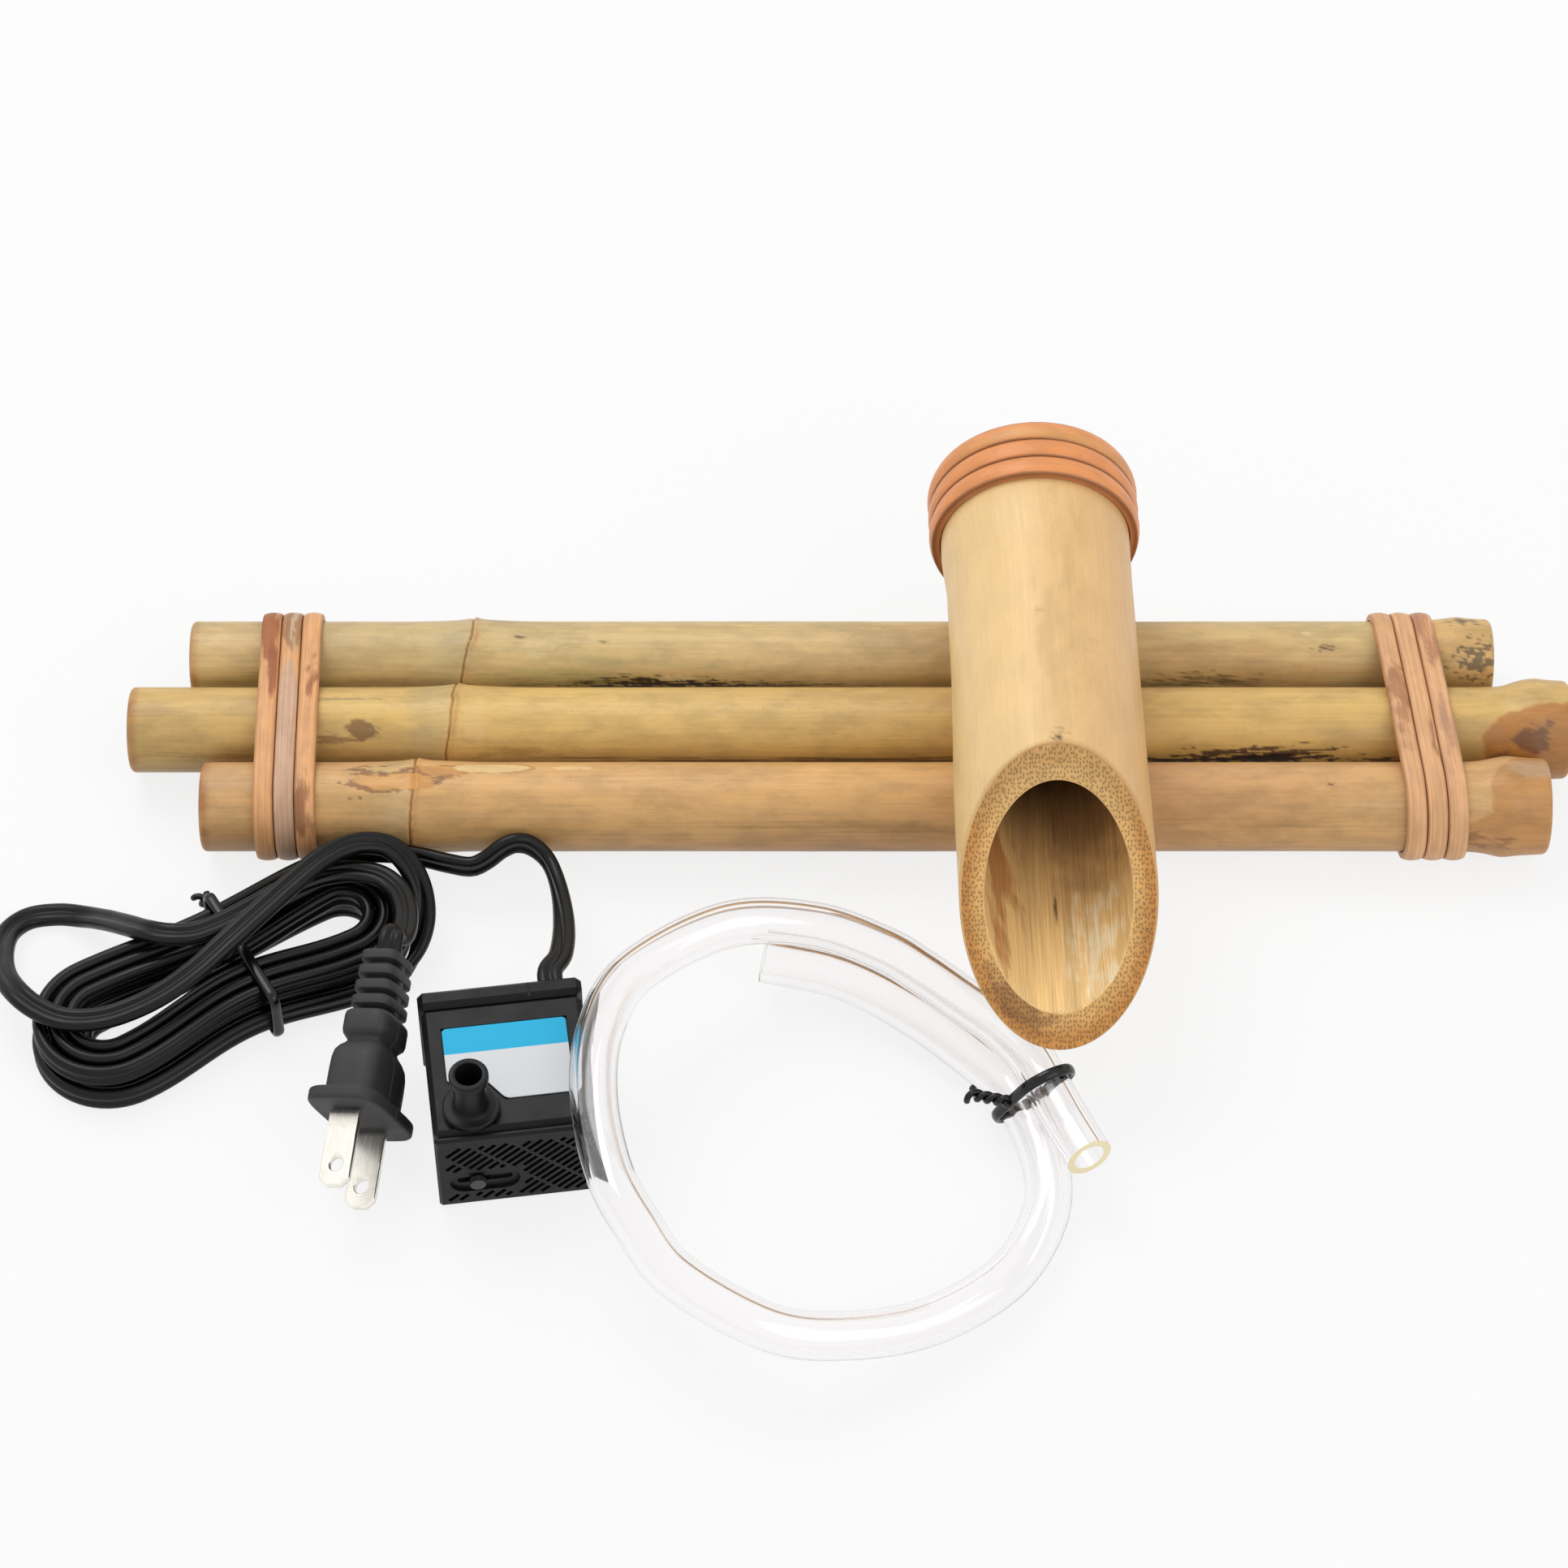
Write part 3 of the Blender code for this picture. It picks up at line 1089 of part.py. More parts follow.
def hank_point(turn):
    """Point of the folded cord after a number of turns.

    Each turn is a far run, a left fold, a near run and a right fold. The fold's radius shrinks
    steadily until the cord turns back and grows at the same rate on the layer below. The cord
    changes layer along one run, and all runs shift towards the middle by the same amount.
    """
    half = HANK_RUN / 2
    run_share = HANK_RUN_POINTS / LOOP_POINTS
    back_at = HANK_TURN_BACK + run_share
    radius = HANK_FOLD_RADIUS - HANK_PITCH * min(turn, 2 * back_at - turn)
    layer = min(max((turn - HANK_TURN_BACK) / run_share, 0), 1)
    height = HANK_UPPER_Z + (HANK_LOWER_Z - HANK_UPPER_Z) * layer
    share = turn % 1
    near = share >= 0.5
    within = share - 0.5 if near else share
    sign = -1 if near else 1
    if within < run_share:
        along = sign * half * (1 - 2 * within / run_share)
        draw = cos(pi * along / HANK_RUN) ** 2
        side = sign * (radius - HANK_WAIST * draw)
        height += HANK_TIE_LIFT * draw
    else:
        angle = pi * (within - run_share) / (0.5 - run_share)
        along = -sign * (half + radius * sin(angle))
        side = sign * radius * cos(angle)
    x = HANK_X + along * cos(HANK_ANGLE) - side * sin(HANK_ANGLE)
    y = HANK_Y + along * sin(HANK_ANGLE) + side * cos(HANK_ANGLE)
    return (x, y, height)


def build_cord(layout, pump, plug):
    """The flat cord: lead from the pump, hank, free loop over it and tail to the plug."""
    exit_y = PumpPlaces.back - CORD_SOCKET_DEPTH + SEAT_GAP / 2
    exit_z = PUMP_TOP - CORD_SOCKET_DROP
    way_out = [pump.matrix_local @ Vector((CORD_SOCKET_X, exit_y + reach, exit_z)) for reach in (0, CORD_WIDTH)]
    end = plug_length() + SEAT_GAP / 2
    way_in = [plug.matrix_local @ Vector((0, 0, end + reach)) for reach in (CORD_WIDTH, 0)]

    hank_steps = HANK_TURNS * LOOP_POINTS + LOOP_POINTS // 2 + HANK_RUN_POINTS
    hank = np.array([hank_point(step / LOOP_POINTS) for step in range(hank_steps + 1)])
    report_gap("power_cord_hank", hank, CORD_THICKNESS, LOOP_POINTS)
    lead = smooth_route(np.vstack([way_out, np.array(LEAD_ROUTE) * MM, hank[0]]), LEAD_STEPS)
    loop = smooth_route(np.vstack([hank[-1], np.array(LOOP_ROUTE) * MM, way_in]), LOOP_STEPS + TAIL_STEPS)

    points = np.vstack([lead, hank[1:], loop[1:]])
    ahead = np.gradient(points, axis=0)
    ahead[0] = way_out[1] - way_out[0]
    ahead[-1] = way_in[1] - way_in[0]
    ahead /= np.linalg.norm(ahead, axis=1)[:, None]
    lead_turns = np.clip(np.linspace(1, -1, LEAD_STEPS), 0, 1)
    loop_turns = np.clip(np.linspace(0, len(loop) / 4, len(loop)), 0, 1)
    turns = np.concatenate([lead_turns, np.zeros(hank_steps), loop_turns[1:]])
    limits = np.cumsum([0, LEAD_STEPS - 1, hank_steps, LOOP_STEPS - 1, TAIL_STEPS])
    sections = (CORD_SECTION_SHARES, HANK_SECTION_SHARES, CORD_SECTION_SHARES, CORD_SECTION_SHARES)
    names = ("power_cord_lead", "power_cord_hank", "power_cord_loop", "power_cord_tail")
    for name, first, last, section in zip(names, limits, limits[1:], sections):
        kept = slice(first, last + 1)
        flat_cord(name, points[kept], ahead[kept], turns[kept], section, layout, "cord_black")
    print(f"power cord: {route_length(points) / MM:.0f} mm long")
    build_cord_tie(layout)


def build_cord_tie(layout):
    """Wire tie round the hank's waist, with its two tails side by side on the far side."""
    reach = HANK_FOLD_RADIUS + CORD_THICKNESS / 2 - HANK_WAIST + HANK_PITCH / 3 + SEAT_GAP + TIE_RADIUS
    low = TIE_RADIUS + SEAT_GAP / 3
    high = HANK_UPPER_Z + HANK_TIE_LIFT + CORD_WIDTH / 2 + SEAT_GAP + TIE_RADIUS
    corner = 2 * TIE_RADIUS
    tail_low = (low + high) / 2 - TIE_RADIUS - TIE_TAIL_GAP / 2
    tail_high = tail_low + 2 * TIE_RADIUS + TIE_TAIL_GAP
    outline = [
        (reach + CORD_TIE_TAIL, tail_high), (reach + corner, tail_high), (reach, tail_high + corner),
        (reach, high - corner), (reach - corner, high), (0, high), (corner - reach, high), (-reach, high - corner),
        (-reach, low + corner), (corner - reach, low), (0, low), (reach - corner, low), (reach, low + corner),
        (reach, tail_low - corner / 2), (reach + corner, tail_low), (reach + CORD_TIE_TAIL, tail_low),
    ]
    points = []
    for side, height in outline:
        x = HANK_X + CORD_TIE_PLACE * cos(HANK_ANGLE) - side * sin(HANK_ANGLE)
        y = HANK_Y + CORD_TIE_PLACE * sin(HANK_ANGLE) + side * cos(HANK_ANGLE)
        points.append((x, y, height))
    round_tube("cord_tie", points, TIE_RADIUS, 1, layout, "black_rubber")


def plug_frame(layout):
    """Frame on the plug's face: Z back along the cord, Y up across the two blades."""
    back = Vector(PLUG_BACK_SHARES).normalized()
    up = Vector(PLUG_UP_SHARES)
    up = (up - back * up.dot(back)).normalized()
    turn = Matrix((up.cross(back), up, back)).transposed().to_4x4()
    return make_empty("plug_frame", layout, Matrix.Translation(PLUG_FACE) @ turn)


def plug_length():
    """Length of the plug's moulding from its face to the end of the strain relief."""
    return PLUG_COLLAR_END + PLUG_RIB_COUNT * PLUG_RIB_PITCH


def rounded_section(width, height, z):
    """Ring of points between a rectangle and an oval, wide across the blades, at one height."""
    ring = []
    for i in range(PLUG_SECTION_POINTS):
        angle = 2 * pi * (i + 0.5) / PLUG_SECTION_POINTS
        across = abs(cos(angle)) ** PLUG_SECTION_POWER * (1 if cos(angle) > 0 else -1)
        up = abs(sin(angle)) ** PLUG_SECTION_POWER * (1 if sin(angle) > 0 else -1)
        ring.append((across * height / 2, up * width / 2, z))
    return ring


def build_plug(frame):
    """Plug moulding with its flange, collar and ribbed strain relief, and two blades."""
    stations = [
        (0, PLUG_FLANGE_WIDTH, PLUG_FLANGE_HEIGHT), (PLUG_FLANGE_THICKNESS, PLUG_FLANGE_WIDTH, PLUG_FLANGE_HEIGHT),
        (PLUG_FLANGE_THICKNESS + PLUG_STEP, PLUG_BODY_WIDTH, PLUG_BODY_HEIGHT),
        (PLUG_BODY_END, PLUG_BODY_WIDTH, PLUG_BODY_HEIGHT), (PLUG_NECK_PLACE, PLUG_NECK_WIDTH, PLUG_NECK_HEIGHT),
        (PLUG_COLLAR_START, PLUG_COLLAR_WIDTH, PLUG_COLLAR_HEIGHT), (PLUG_COLLAR_END, PLUG_COLLAR_WIDTH, PLUG_COLLAR_HEIGHT),
    ]
    for rib in range(PLUG_RIB_COUNT):
        start = PLUG_COLLAR_END + rib * PLUG_RIB_PITCH
        rib_start = start + PLUG_RIB_PITCH - PLUG_RIB_LENGTH
        stations += [
            (start + PLUG_STEP, PLUG_RIB_ROOT_WIDTH, PLUG_RIB_ROOT_HEIGHT), (rib_start, PLUG_RIB_ROOT_WIDTH, PLUG_RIB_ROOT_HEIGHT),
            (rib_start + PLUG_STEP, PLUG_RIB_WIDTH, PLUG_RIB_HEIGHT), (start + PLUG_RIB_PITCH, PLUG_RIB_WIDTH, PLUG_RIB_HEIGHT),
        ]
    skin("plug_body", [rounded_section(width, height, z) for z, width, height in stations], frame, "black_plastic")
    for name, side in (("plug_blade_upper", 1), ("plug_blade_lower", -1)):
        y = side * BLADE_SPACING / 2
        half = BLADE_WIDTH / 2
        outline = [
            (-half, -SEAT_GAP), (half, -SEAT_GAP), (half, BLADE_CORNER - BLADE_LENGTH),
            (half - BLADE_CORNER, -BLADE_LENGTH), (BLADE_CORNER - half, -BLADE_LENGTH), (-half, BLADE_CORNER - BLADE_LENGTH),
        ]
        blade = plate(name, outline, BLADE_SHEET, frame, "nickel", upright=True)
        blade.location = (0, y, 0)
        hole_z = BLADE_HOLE_FROM_TIP - BLADE_LENGTH
        cut(blade, cylinder(f"{name}_hole", BLADE_HOLE_RADIUS, (0, y - OVERRUN, hole_z), (0, y + OVERRUN, hole_z), frame))


def build_tubing(layout):
    """Loop of clear tubing and the tie that holds it closed."""
    points = smooth_route(np.array(TUBING_ROUTE) * MM, TUBING_STEPS)
    print(f"tubing: {route_length(points) / MM:.0f} mm long")
    round_tube("tubing", points, TUBING_OUTER_DIAMETER / 2, 2, layout, "clear_vinyl", TUBING_WALL)

    build_tubing_tie(layout, points)


def build_tubing_tie(layout, points):
    """Wire tie round the two strands of tubing, in an upright plane that crosses both."""
    place = np.array(TUBING_TIE_PLACE)
    ahead = np.array(TUBING_TIE_AHEAD_SHARES)
    ahead /= np.linalg.norm(ahead)
    levels = (points - place) @ ahead
    crossings = []
    for first, second, a, b in zip(points, points[1:], levels, levels[1:]):
        if a * b <= 0:
            crossings.append(first + (second - first) * a / (a - b))
    near = sorted(crossings, key=lambda point: np.linalg.norm(point - place))[:2]
    lower, upper = sorted(near, key=lambda point: point[2])
    spread = np.linalg.norm(upper - lower) / 2
    across = (upper - lower) / (2 * spread)
    above = np.cross(across, ahead)
    above *= np.sign(above[2])
    centre = (upper + lower) / 2
    reach = TUBING_OUTER_DIAMETER / 2 + SEAT_GAP + TIE_RADIUS
    ring = []
    for middle, first in ((spread, pi / 2), (-spread, -pi / 2)):
        for i in range(TIE_BEND_POINTS):
            angle = first - pi * i / (TIE_BEND_POINTS - 1)
            ring.append(centre + across * (middle + reach * cos(angle)) + above * reach * sin(angle))
    away = np.array(TUBING_TIE_TAIL_SHARES)
    away /= np.linalg.norm(away)
    root = centre + above * (reach + TIE_RADIUS)
    beside = across * (TIE_RADIUS + TIE_TAIL_GAP / 2)
    tip = root + away * TUBING_TIE_TAIL
    round_tube("tubing_tie", [tip + beside, root + beside, *ring, root - beside, tip - beside],
               TIE_RADIUS, 1, layout, "black_rubber")


def stand_on_origin(layout, left_out):
    """Moves the layout so that the middle of the object's own base, without the cord, is the origin."""
    bpy.context.view_layer.update()
    depsgraph = bpy.context.evaluated_depsgraph_get()
    corners = []
    for piece in PARTS.objects:
        if piece.type == "EMPTY" or piece.name in left_out:
            continue
        evaluated = piece.evaluated_get(depsgraph)
        mesh = evaluated.to_mesh()
        points = np.array([evaluated.matrix_world @ vertex.co for vertex in mesh.vertices])
        evaluated.to_mesh_clear()
        corners += [points.min(axis=0), points.max(axis=0)]
    corners = np.array(corners)
    low, high = corners.min(axis=0), corners.max(axis=0)
    layout.location = (-(low[0] + high[0]) / 2, -(low[1] + high[1]) / 2, -low[2])
    bpy.context.view_layer.update()


CORD_PIECES = (
    "power_cord_lead", "power_cord_hank", "power_cord_loop", "power_cord_tail", "cord_tie",
    "plug_body", "plug_blade_upper", "plug_blade_lower", "tubing", "tubing_tie",
)

layout_frame = make_empty("layout")
arms = build_arms(layout_frame)
build_bindings(layout_frame)
build_spout(layout_frame, arms["arm_middle"])
pump_place = build_pump(layout_frame)
plug_place = plug_frame(layout_frame)
build_plug(plug_place)
build_cord(layout_frame, pump_place, plug_place)
build_tubing(layout_frame)
stand_on_origin(layout_frame, CORD_PIECES)
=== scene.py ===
"""Dressed model of a bamboo water spout with its pump, mains cord and clear tubing.

Three culms lie side by side, lashed with rattan strip, and carry a thick culm with a slanted
mouth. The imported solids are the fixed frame; each piece made here takes the place of solids in
it. Sizes are in millimetres in the layout that the solids were drawn in, with X along the arms,
Y away from the mouth and Z up, and become metres in the row frame when a mesh is made.
"""

import logging
from dataclasses import dataclass
from enum import Enum
from math import acos, atan2, cos, pi, radians, sin
from typing import Any, Sequence

import bmesh
import bpy
import numpy as np
from bpy.types import Material, Mesh, Node, NodeSocket, NodeTree, Object
from mathutils import Matrix, Vector


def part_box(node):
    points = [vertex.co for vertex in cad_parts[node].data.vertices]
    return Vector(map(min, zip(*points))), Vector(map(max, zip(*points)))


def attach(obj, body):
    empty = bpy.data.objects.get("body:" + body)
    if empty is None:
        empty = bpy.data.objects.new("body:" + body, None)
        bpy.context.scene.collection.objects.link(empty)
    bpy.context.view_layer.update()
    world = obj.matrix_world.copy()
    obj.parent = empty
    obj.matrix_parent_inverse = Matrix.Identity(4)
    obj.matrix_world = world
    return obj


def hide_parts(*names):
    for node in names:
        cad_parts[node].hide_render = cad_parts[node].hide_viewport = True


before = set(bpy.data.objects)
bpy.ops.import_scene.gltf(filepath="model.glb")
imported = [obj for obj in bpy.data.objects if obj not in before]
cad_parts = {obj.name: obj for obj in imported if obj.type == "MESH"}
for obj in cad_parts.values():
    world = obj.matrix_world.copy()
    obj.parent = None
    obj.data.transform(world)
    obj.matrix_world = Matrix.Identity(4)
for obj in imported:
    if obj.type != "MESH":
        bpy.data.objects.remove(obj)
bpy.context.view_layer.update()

LOG = logging.getLogger("bamboo_water_spout")
MM = 0.001
SEAT_GAP = 0.3

Array = np.ndarray


class Body(Enum):
    """The frame's bodies that new pieces ride on."""

    BASE = "base"
    SPOUT = "spout"
    OUTLET = "outlet"


class Slot(Enum):
    """The record's material slots that new pieces belong to."""

    GREEN_TAN = "bamboo_green_tan"
    OCHRE = "bamboo_ochre"
    TAN = "bamboo_tan"
    PALE = "bamboo_pale"
    RATTAN = "rattan_tan"
    RATTAN_ORANGE = "rattan_orange"
    PLASTIC = "black_plastic"
    RUBBER = "black_rubber"
    LABEL = "label_white"
    NICKEL = "nickel"
    CORD = "cord_black"
    VINYL = "clear_vinyl"


def settle(piece: Object, slot: Slot, body: Body, *nodes: str) -> Object:
    """Puts a finished piece in the place of its solids.

    Args:
        piece: The piece.
        slot: The record's slot that it belongs to; not used.
        body: The body that it rides on.
        *nodes: Names of the solids that it replaces.

    Returns:
        The piece.
    """
    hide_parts(*nodes)
    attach(piece, body.value)
    LOG.info("made %s", piece.name)
    return piece


def linear(colour: str) -> Array:
    """Turns an sRGB hex colour into linear red, green and blue.

    Args:
        colour: Six hex digits.

    Returns:
        Three linear values from 0 to 1.
    """
    values = np.array([int(colour[i:i + 2], 16) for i in (0, 2, 4)]) / 255
    return np.where(values <= 0.04045, values / 12.92, ((values + 0.055) / 1.055) ** 2.4)


def smoothstep(value: Array) -> Array:
    """Eases a value from 0 to 1 with level ends: 3t² - 2t³, held at its ends."""
    t = np.clip(value, 0, 1)
    return t * t * (3 - 2 * t)


def ripple(u: Array, v: Array, seed: int, octaves: int = 5) -> Array:
    """Smooth raggedness, as a sum of sine waves in seeded directions.

    Each octave is twice as fine and 0.65 times as strong as the one before it.

    Args:
        u: First coordinate, in units of about a sixth of the longest wave.
        v: Second coordinate, in the same units.
        seed: Chooses the directions and phases.
        octaves: Number of octaves.

    Returns:
        Values mostly between -1 and 1.
    """
    draw = np.random.default_rng(seed)
    total = np.zeros(np.broadcast(u, v).shape)
    for octave in range(octaves):
        for _ in range(3):
            heading, phase = draw.uniform(0, 2 * pi, 2)
            rate = 2.0 ** octave * draw.uniform(0.7, 1.3)
            total += 0.65 ** octave * np.sin(rate * (u * cos(heading) + v * sin(heading)) + phase)
    return total / 3.2


def unit(vectors: Array) -> Array:
    """Vectors of length 1 in the same directions."""
    return vectors / np.linalg.norm(vectors, axis=-1, keepdims=True)


def smooth_route(route: Array, count: int) -> Array:
    """Points at even steps along a Catmull-Rom curve through a route's own points.

    Args:
        route: Points to pass through, (n, 3).
        count: Number of points wanted.

    Returns:
        Points of shape (count, 3).
    """
    given = np.asarray(route, float)
    padded = np.vstack([2 * given[0] - given[1], given, 2 * given[-1] - given[-2]])
    a, b, c, d = (padded[i:len(padded) - 3 + i, None] for i in range(4))
    t = np.linspace(0, 1, 32, endpoint=False)[None, :, None]
    fine = (2 * b + (c - a) * t + (2 * a - 5 * b + 4 * c - d) * t ** 2
            + (3 * b - a - 3 * c + d) * t ** 3) / 2
    return even_steps(np.vstack([fine.reshape(-1, 3), given[-1]]), count)


def even_steps(points: Array, count: int) -> Array:
    """Points at even steps of length along a line of points.

    Args:
        points: The line, (n, k).
        count: Number of points wanted.

    Returns:
        Points of shape (count, k).
    """
    along = np.concatenate(([0], np.cumsum(np.linalg.norm(np.diff(points, axis=0), axis=1))))
    places = np.linspace(0, along[-1], count)
    return np.stack([np.interp(places, along, points[:, i]) for i in range(points.shape[1])], axis=1)


def path_length(points: Array) -> float:
    """Length along a line of points."""
    return float(np.linalg.norm(np.diff(points, axis=0), axis=1).sum())


def sweep(path: Array, across: Array, above: Array, section: Array) -> Array:
    """Carries a section along a path: path + u·across + v·above for each (u, v) of the section.

    Args:
        path: Centre points, (n, 3).
        across: Unit vectors of the section's first axis, (n, 3).
        above: Unit vectors of its second axis, (n, 3).
        section: The section, (m, 2), or one for each centre point, (n, m, 2).

    Returns:
        A grid of shape (n, m, 3).
    """
    shape = np.broadcast_to(section, (len(path), *section.shape[-2:]))
    return path[:, None] + shape[..., :1] * across[:, None] + shape[..., 1:] * above[:, None]


def level_axes(ahead: Array) -> tuple[Array, Array]:
    """Two unit vectors across a path at each point, the first level and the second upwards."""
    side = unit(np.cross(ahead, (0.0, 0.0, 1.0)))
    return side, np.cross(side, ahead)


def circle(radius: float, count: int) -> Array:
    """A closed circle of points, whose last point repeats the first."""
    angle = np.linspace(0, 2 * pi, count + 1)
    return radius * np.stack([np.cos(angle), np.sin(angle)], axis=1)


def capped(rings: Array, dome: float = 0.0, steps: int = 4) -> Array:
    """Closes both ends of a grid of rings towards their middles.

    Each cap is the end ring shrunk in steps towards its middle, pushed out along a quarter circle.

    Args:
        rings: Grid whose rows are closed rings, (n, m, 3).
        dome: Height of the cap at its middle.
        steps: Number of rows in each cap.

    Returns:
        The grid with the caps' rows before and after it.
    """
    share = np.cos(np.linspace(0, pi / 2, steps + 1))[1:, None, None]
    rise = np.sin(np.linspace(0, pi / 2, steps + 1))[1:, None, None] * dome
    rows = []
    for ring, inner in ((rings[0], rings[1]), (rings[-1], rings[-2])):
        middle = ring[:-1].mean(axis=0)
        away = unit(middle - inner[:-1].mean(axis=0))
        rows.append(middle + (ring - middle) * share + away * rise)
    return np.concatenate([rows[0][::-1], rings, rows[1]])


@dataclass
class Patch:
    """One grid of points, its material slot, and the grain coordinates and tone of each point."""

    points: Array
    finish: int
    grain: Array
    tone: Array


class Shell:
    """Collects the surfaces of one piece and makes its mesh."""

    def __init__(self, name: str) -> None:
        """Starts an empty piece with its name."""
        self.name = name
        self.patches: list[Patch] = []

    def add(self, points: Array, finish: int = 0, grain: Array | None = None,
            tone: Array | None = None) -> None:
        """Adds a grid of points; a closed ring repeats its first point at its end.

        Args:
            points: Places in the layout, (rows, columns, 3).
            finish: Number of the material slot.
            grain: Coordinates in millimetres for the patterns, or None for the places themselves.
            tone: Linear colour for each point or for all, or None for white.
        """
        points = np.asarray(points, float)
        grain = points if grain is None else np.broadcast_to(grain, points.shape)
        tone = np.broadcast_to(np.ones(3) if tone is None else tone, points.shape)
        self.patches.append(Patch(points, finish, grain, tone))

    def make(self, finishes: Sequence[Material], angle: float = 35.0) -> Object:
        """Makes the mesh: seams closed, faces outwards, smooth up to an angle.

        Args:
            finishes: Materials, in the order of the slots.
            angle: Angle in degrees past which an edge is sharp.

        Returns:
            The new object, at the origin of the row frame.
        """
        quads, slots, base = [], [], 0
        for patch in self.patches:
            rows, columns = patch.points.shape[:2]
            index = base + np.arange(rows * columns).reshape(rows, columns)
            corners = (index[:-1, :-1], index[:-1, 1:], index[1:, 1:], index[1:, :-1])
            quads.append(np.stack(corners, axis=-1).reshape(-1, 4))
            slots.append(np.full(len(quads[-1]), patch.finish))
            base += rows * columns
        order = np.concatenate(quads).ravel()
        points, grain, tone = (
            np.concatenate([getattr(patch, part).reshape(-1, 3) for patch in self.patches])
            for part in ("points", "grain", "tone"))
        mesh = bpy.data.meshes.new(self.name)
        mesh.vertices.add(len(points))
        mesh.vertices.foreach_set("co", ((points + Layout.offset()) * MM).ravel())
        mesh.loops.add(len(order))
        mesh.loops.foreach_set("vertex_index", order)
        mesh.polygons.add(len(order) // 4)
        mesh.polygons.foreach_set("loop_start", np.arange(0, len(order), 4))
        mesh.polygons.foreach_set("material_index", np.concatenate(slots))
        mesh.update(calc_edges=True)
        places = mesh.attributes.new("grain", "FLOAT_VECTOR", "CORNER")
        places.data.foreach_set("vector", grain[order].ravel())
        opaque = np.concatenate([np.clip(tone[order], 0, 1), np.ones((len(order), 1))], axis=1)
        colours = mesh.attributes.new("tone", "FLOAT_COLOR", "CORNER")
        colours.data.foreach_set("color", opaque.ravel())
        close_seams(mesh)
        for finish in finishes:
            mesh.materials.append(finish)
        mesh.shade_smooth()
        mesh.set_sharp_from_angle(angle=radians(angle))
        made = bpy.data.objects.new(self.name, mesh)
        bpy.context.scene.collection.objects.link(made)
        return made


def close_seams(mesh: Mesh) -> None:
    """Merges the points where surfaces meet and turns all faces outwards.

    Args:
        mesh: The mesh, changed in place.
    """
    shape = bmesh.new()
    shape.from_mesh(mesh)
    bmesh.ops.remove_doubles(shape, verts=shape.verts, dist=0.002 * MM)
    bmesh.ops.dissolve_degenerate(shape, edges=shape.edges, dist=0.001 * MM)
    bmesh.ops.recalc_face_normals(shape, faces=shape.faces)
    shape.to_mesh(mesh)
    shape.free()


def carve(piece: Object, cutters: Sequence[Object]) -> None:
    """Cuts closed cutters out of a piece and keeps the result as its mesh.

    Args:
        piece: The object to cut.
        cutters: The objects to cut away, which are removed afterwards.
    """
    for cutter in cutters:
        step = piece.modifiers.new("cut", "BOOLEAN")
        step.operation = "DIFFERENCE"
        step.solver = "EXACT"
        step.object = cutter
    bpy.context.view_layer.update()
    result = bpy.data.meshes.new_from_object(piece.evaluated_get(bpy.context.evaluated_depsgraph_get()))
    piece.modifiers.clear()
    piece.data = result
    for cutter in cutters:
        bpy.data.objects.remove(cutter, do_unlink=True)


def post(name: str, start: Array, end: Array, radius: float, count: int = 48) -> Shell:
    """A round post: a circle carried along a straight path, with flat ends.

    Args:
        name: Its name.
        start: Middle of its one end.
        end: Middle of its other end.
        radius: Its radius.
        count: Number of sides.

    Returns:
        The post's surface.
    """
    path = np.stack([start, end])
    ahead = unit(path[1] - path[0])
    aside = unit(np.cross(ahead, (0.0, 0.6, 0.8)))
    above = np.cross(aside, ahead)
    shell = Shell(name)
    rings = sweep(path, np.tile(aside, (2, 1)), np.tile(above, (2, 1)), circle(radius, count))
    shell.add(capped(rings, steps=1))
    return shell


class Layout:
    """Places that the arms, the spout and the pump share with the solids."""

    MIDDLE_LEFT = -137.6
    MIDDLE_Y = 5.9
    MIDDLE_LENGTH = 302.6
    DIAMETERS = (16.2, 18.0, 18.6)
    GAPS = (2.9, 2.4)
    BINDING_THICKNESS = 1.6
    _offset: Array | None = None

    @classmethod
    def offset(cls) -> Array:
        """Where the layout's origin is in the row frame, in millimetres, read off the middle arm.

        Returns:
            X, Y and Z, worked out once.
        """
        if cls._offset is None:
            low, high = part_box("arm_middle")
            middle_y = (low.y + high.y) / 2 / MM
            cls._offset = np.array([low.x / MM - cls.MIDDLE_LEFT, middle_y - cls.MIDDLE_Y, 0.0])
        return cls._offset

    @classmethod
    def arm_circles(cls) -> list[tuple[float, float, float]]:
        """Works out the arms' outlines, seen from their ends.

        Returns:
            Each arm's circle (y, z, radius), from back to front.
        """
        radii = [diameter / 2 for diameter in cls.DIAMETERS]
        places = (cls.MIDDLE_Y + radii[1] + cls.GAPS[0] + radii[0], cls.MIDDLE_Y,
                  cls.MIDDLE_Y - radii[1] - cls.GAPS[1] - radii[2])
        lift = cls.BINDING_THICKNESS + SEAT_GAP
        return [(y, lift + radius, radius) for y, radius in zip(places, radii)]


def tangent_angle(first: Sequence[float], second: Sequence[float]) -> float:
    """Direction of a straight line that touches two circles on their upper side.

    Args:
        first: One circle, (y, z, radius).
        second: The other one.

    Returns:
        The angle in radians, from +Y to +Z, at which the line leaves their centres.
    """
    across, rise = second[0] - first[0], second[1] - first[1]
    span = (across ** 2 + rise ** 2) ** 0.5
    return atan2(rise, across) % (2 * pi) - acos((first[2] - second[2]) / span)


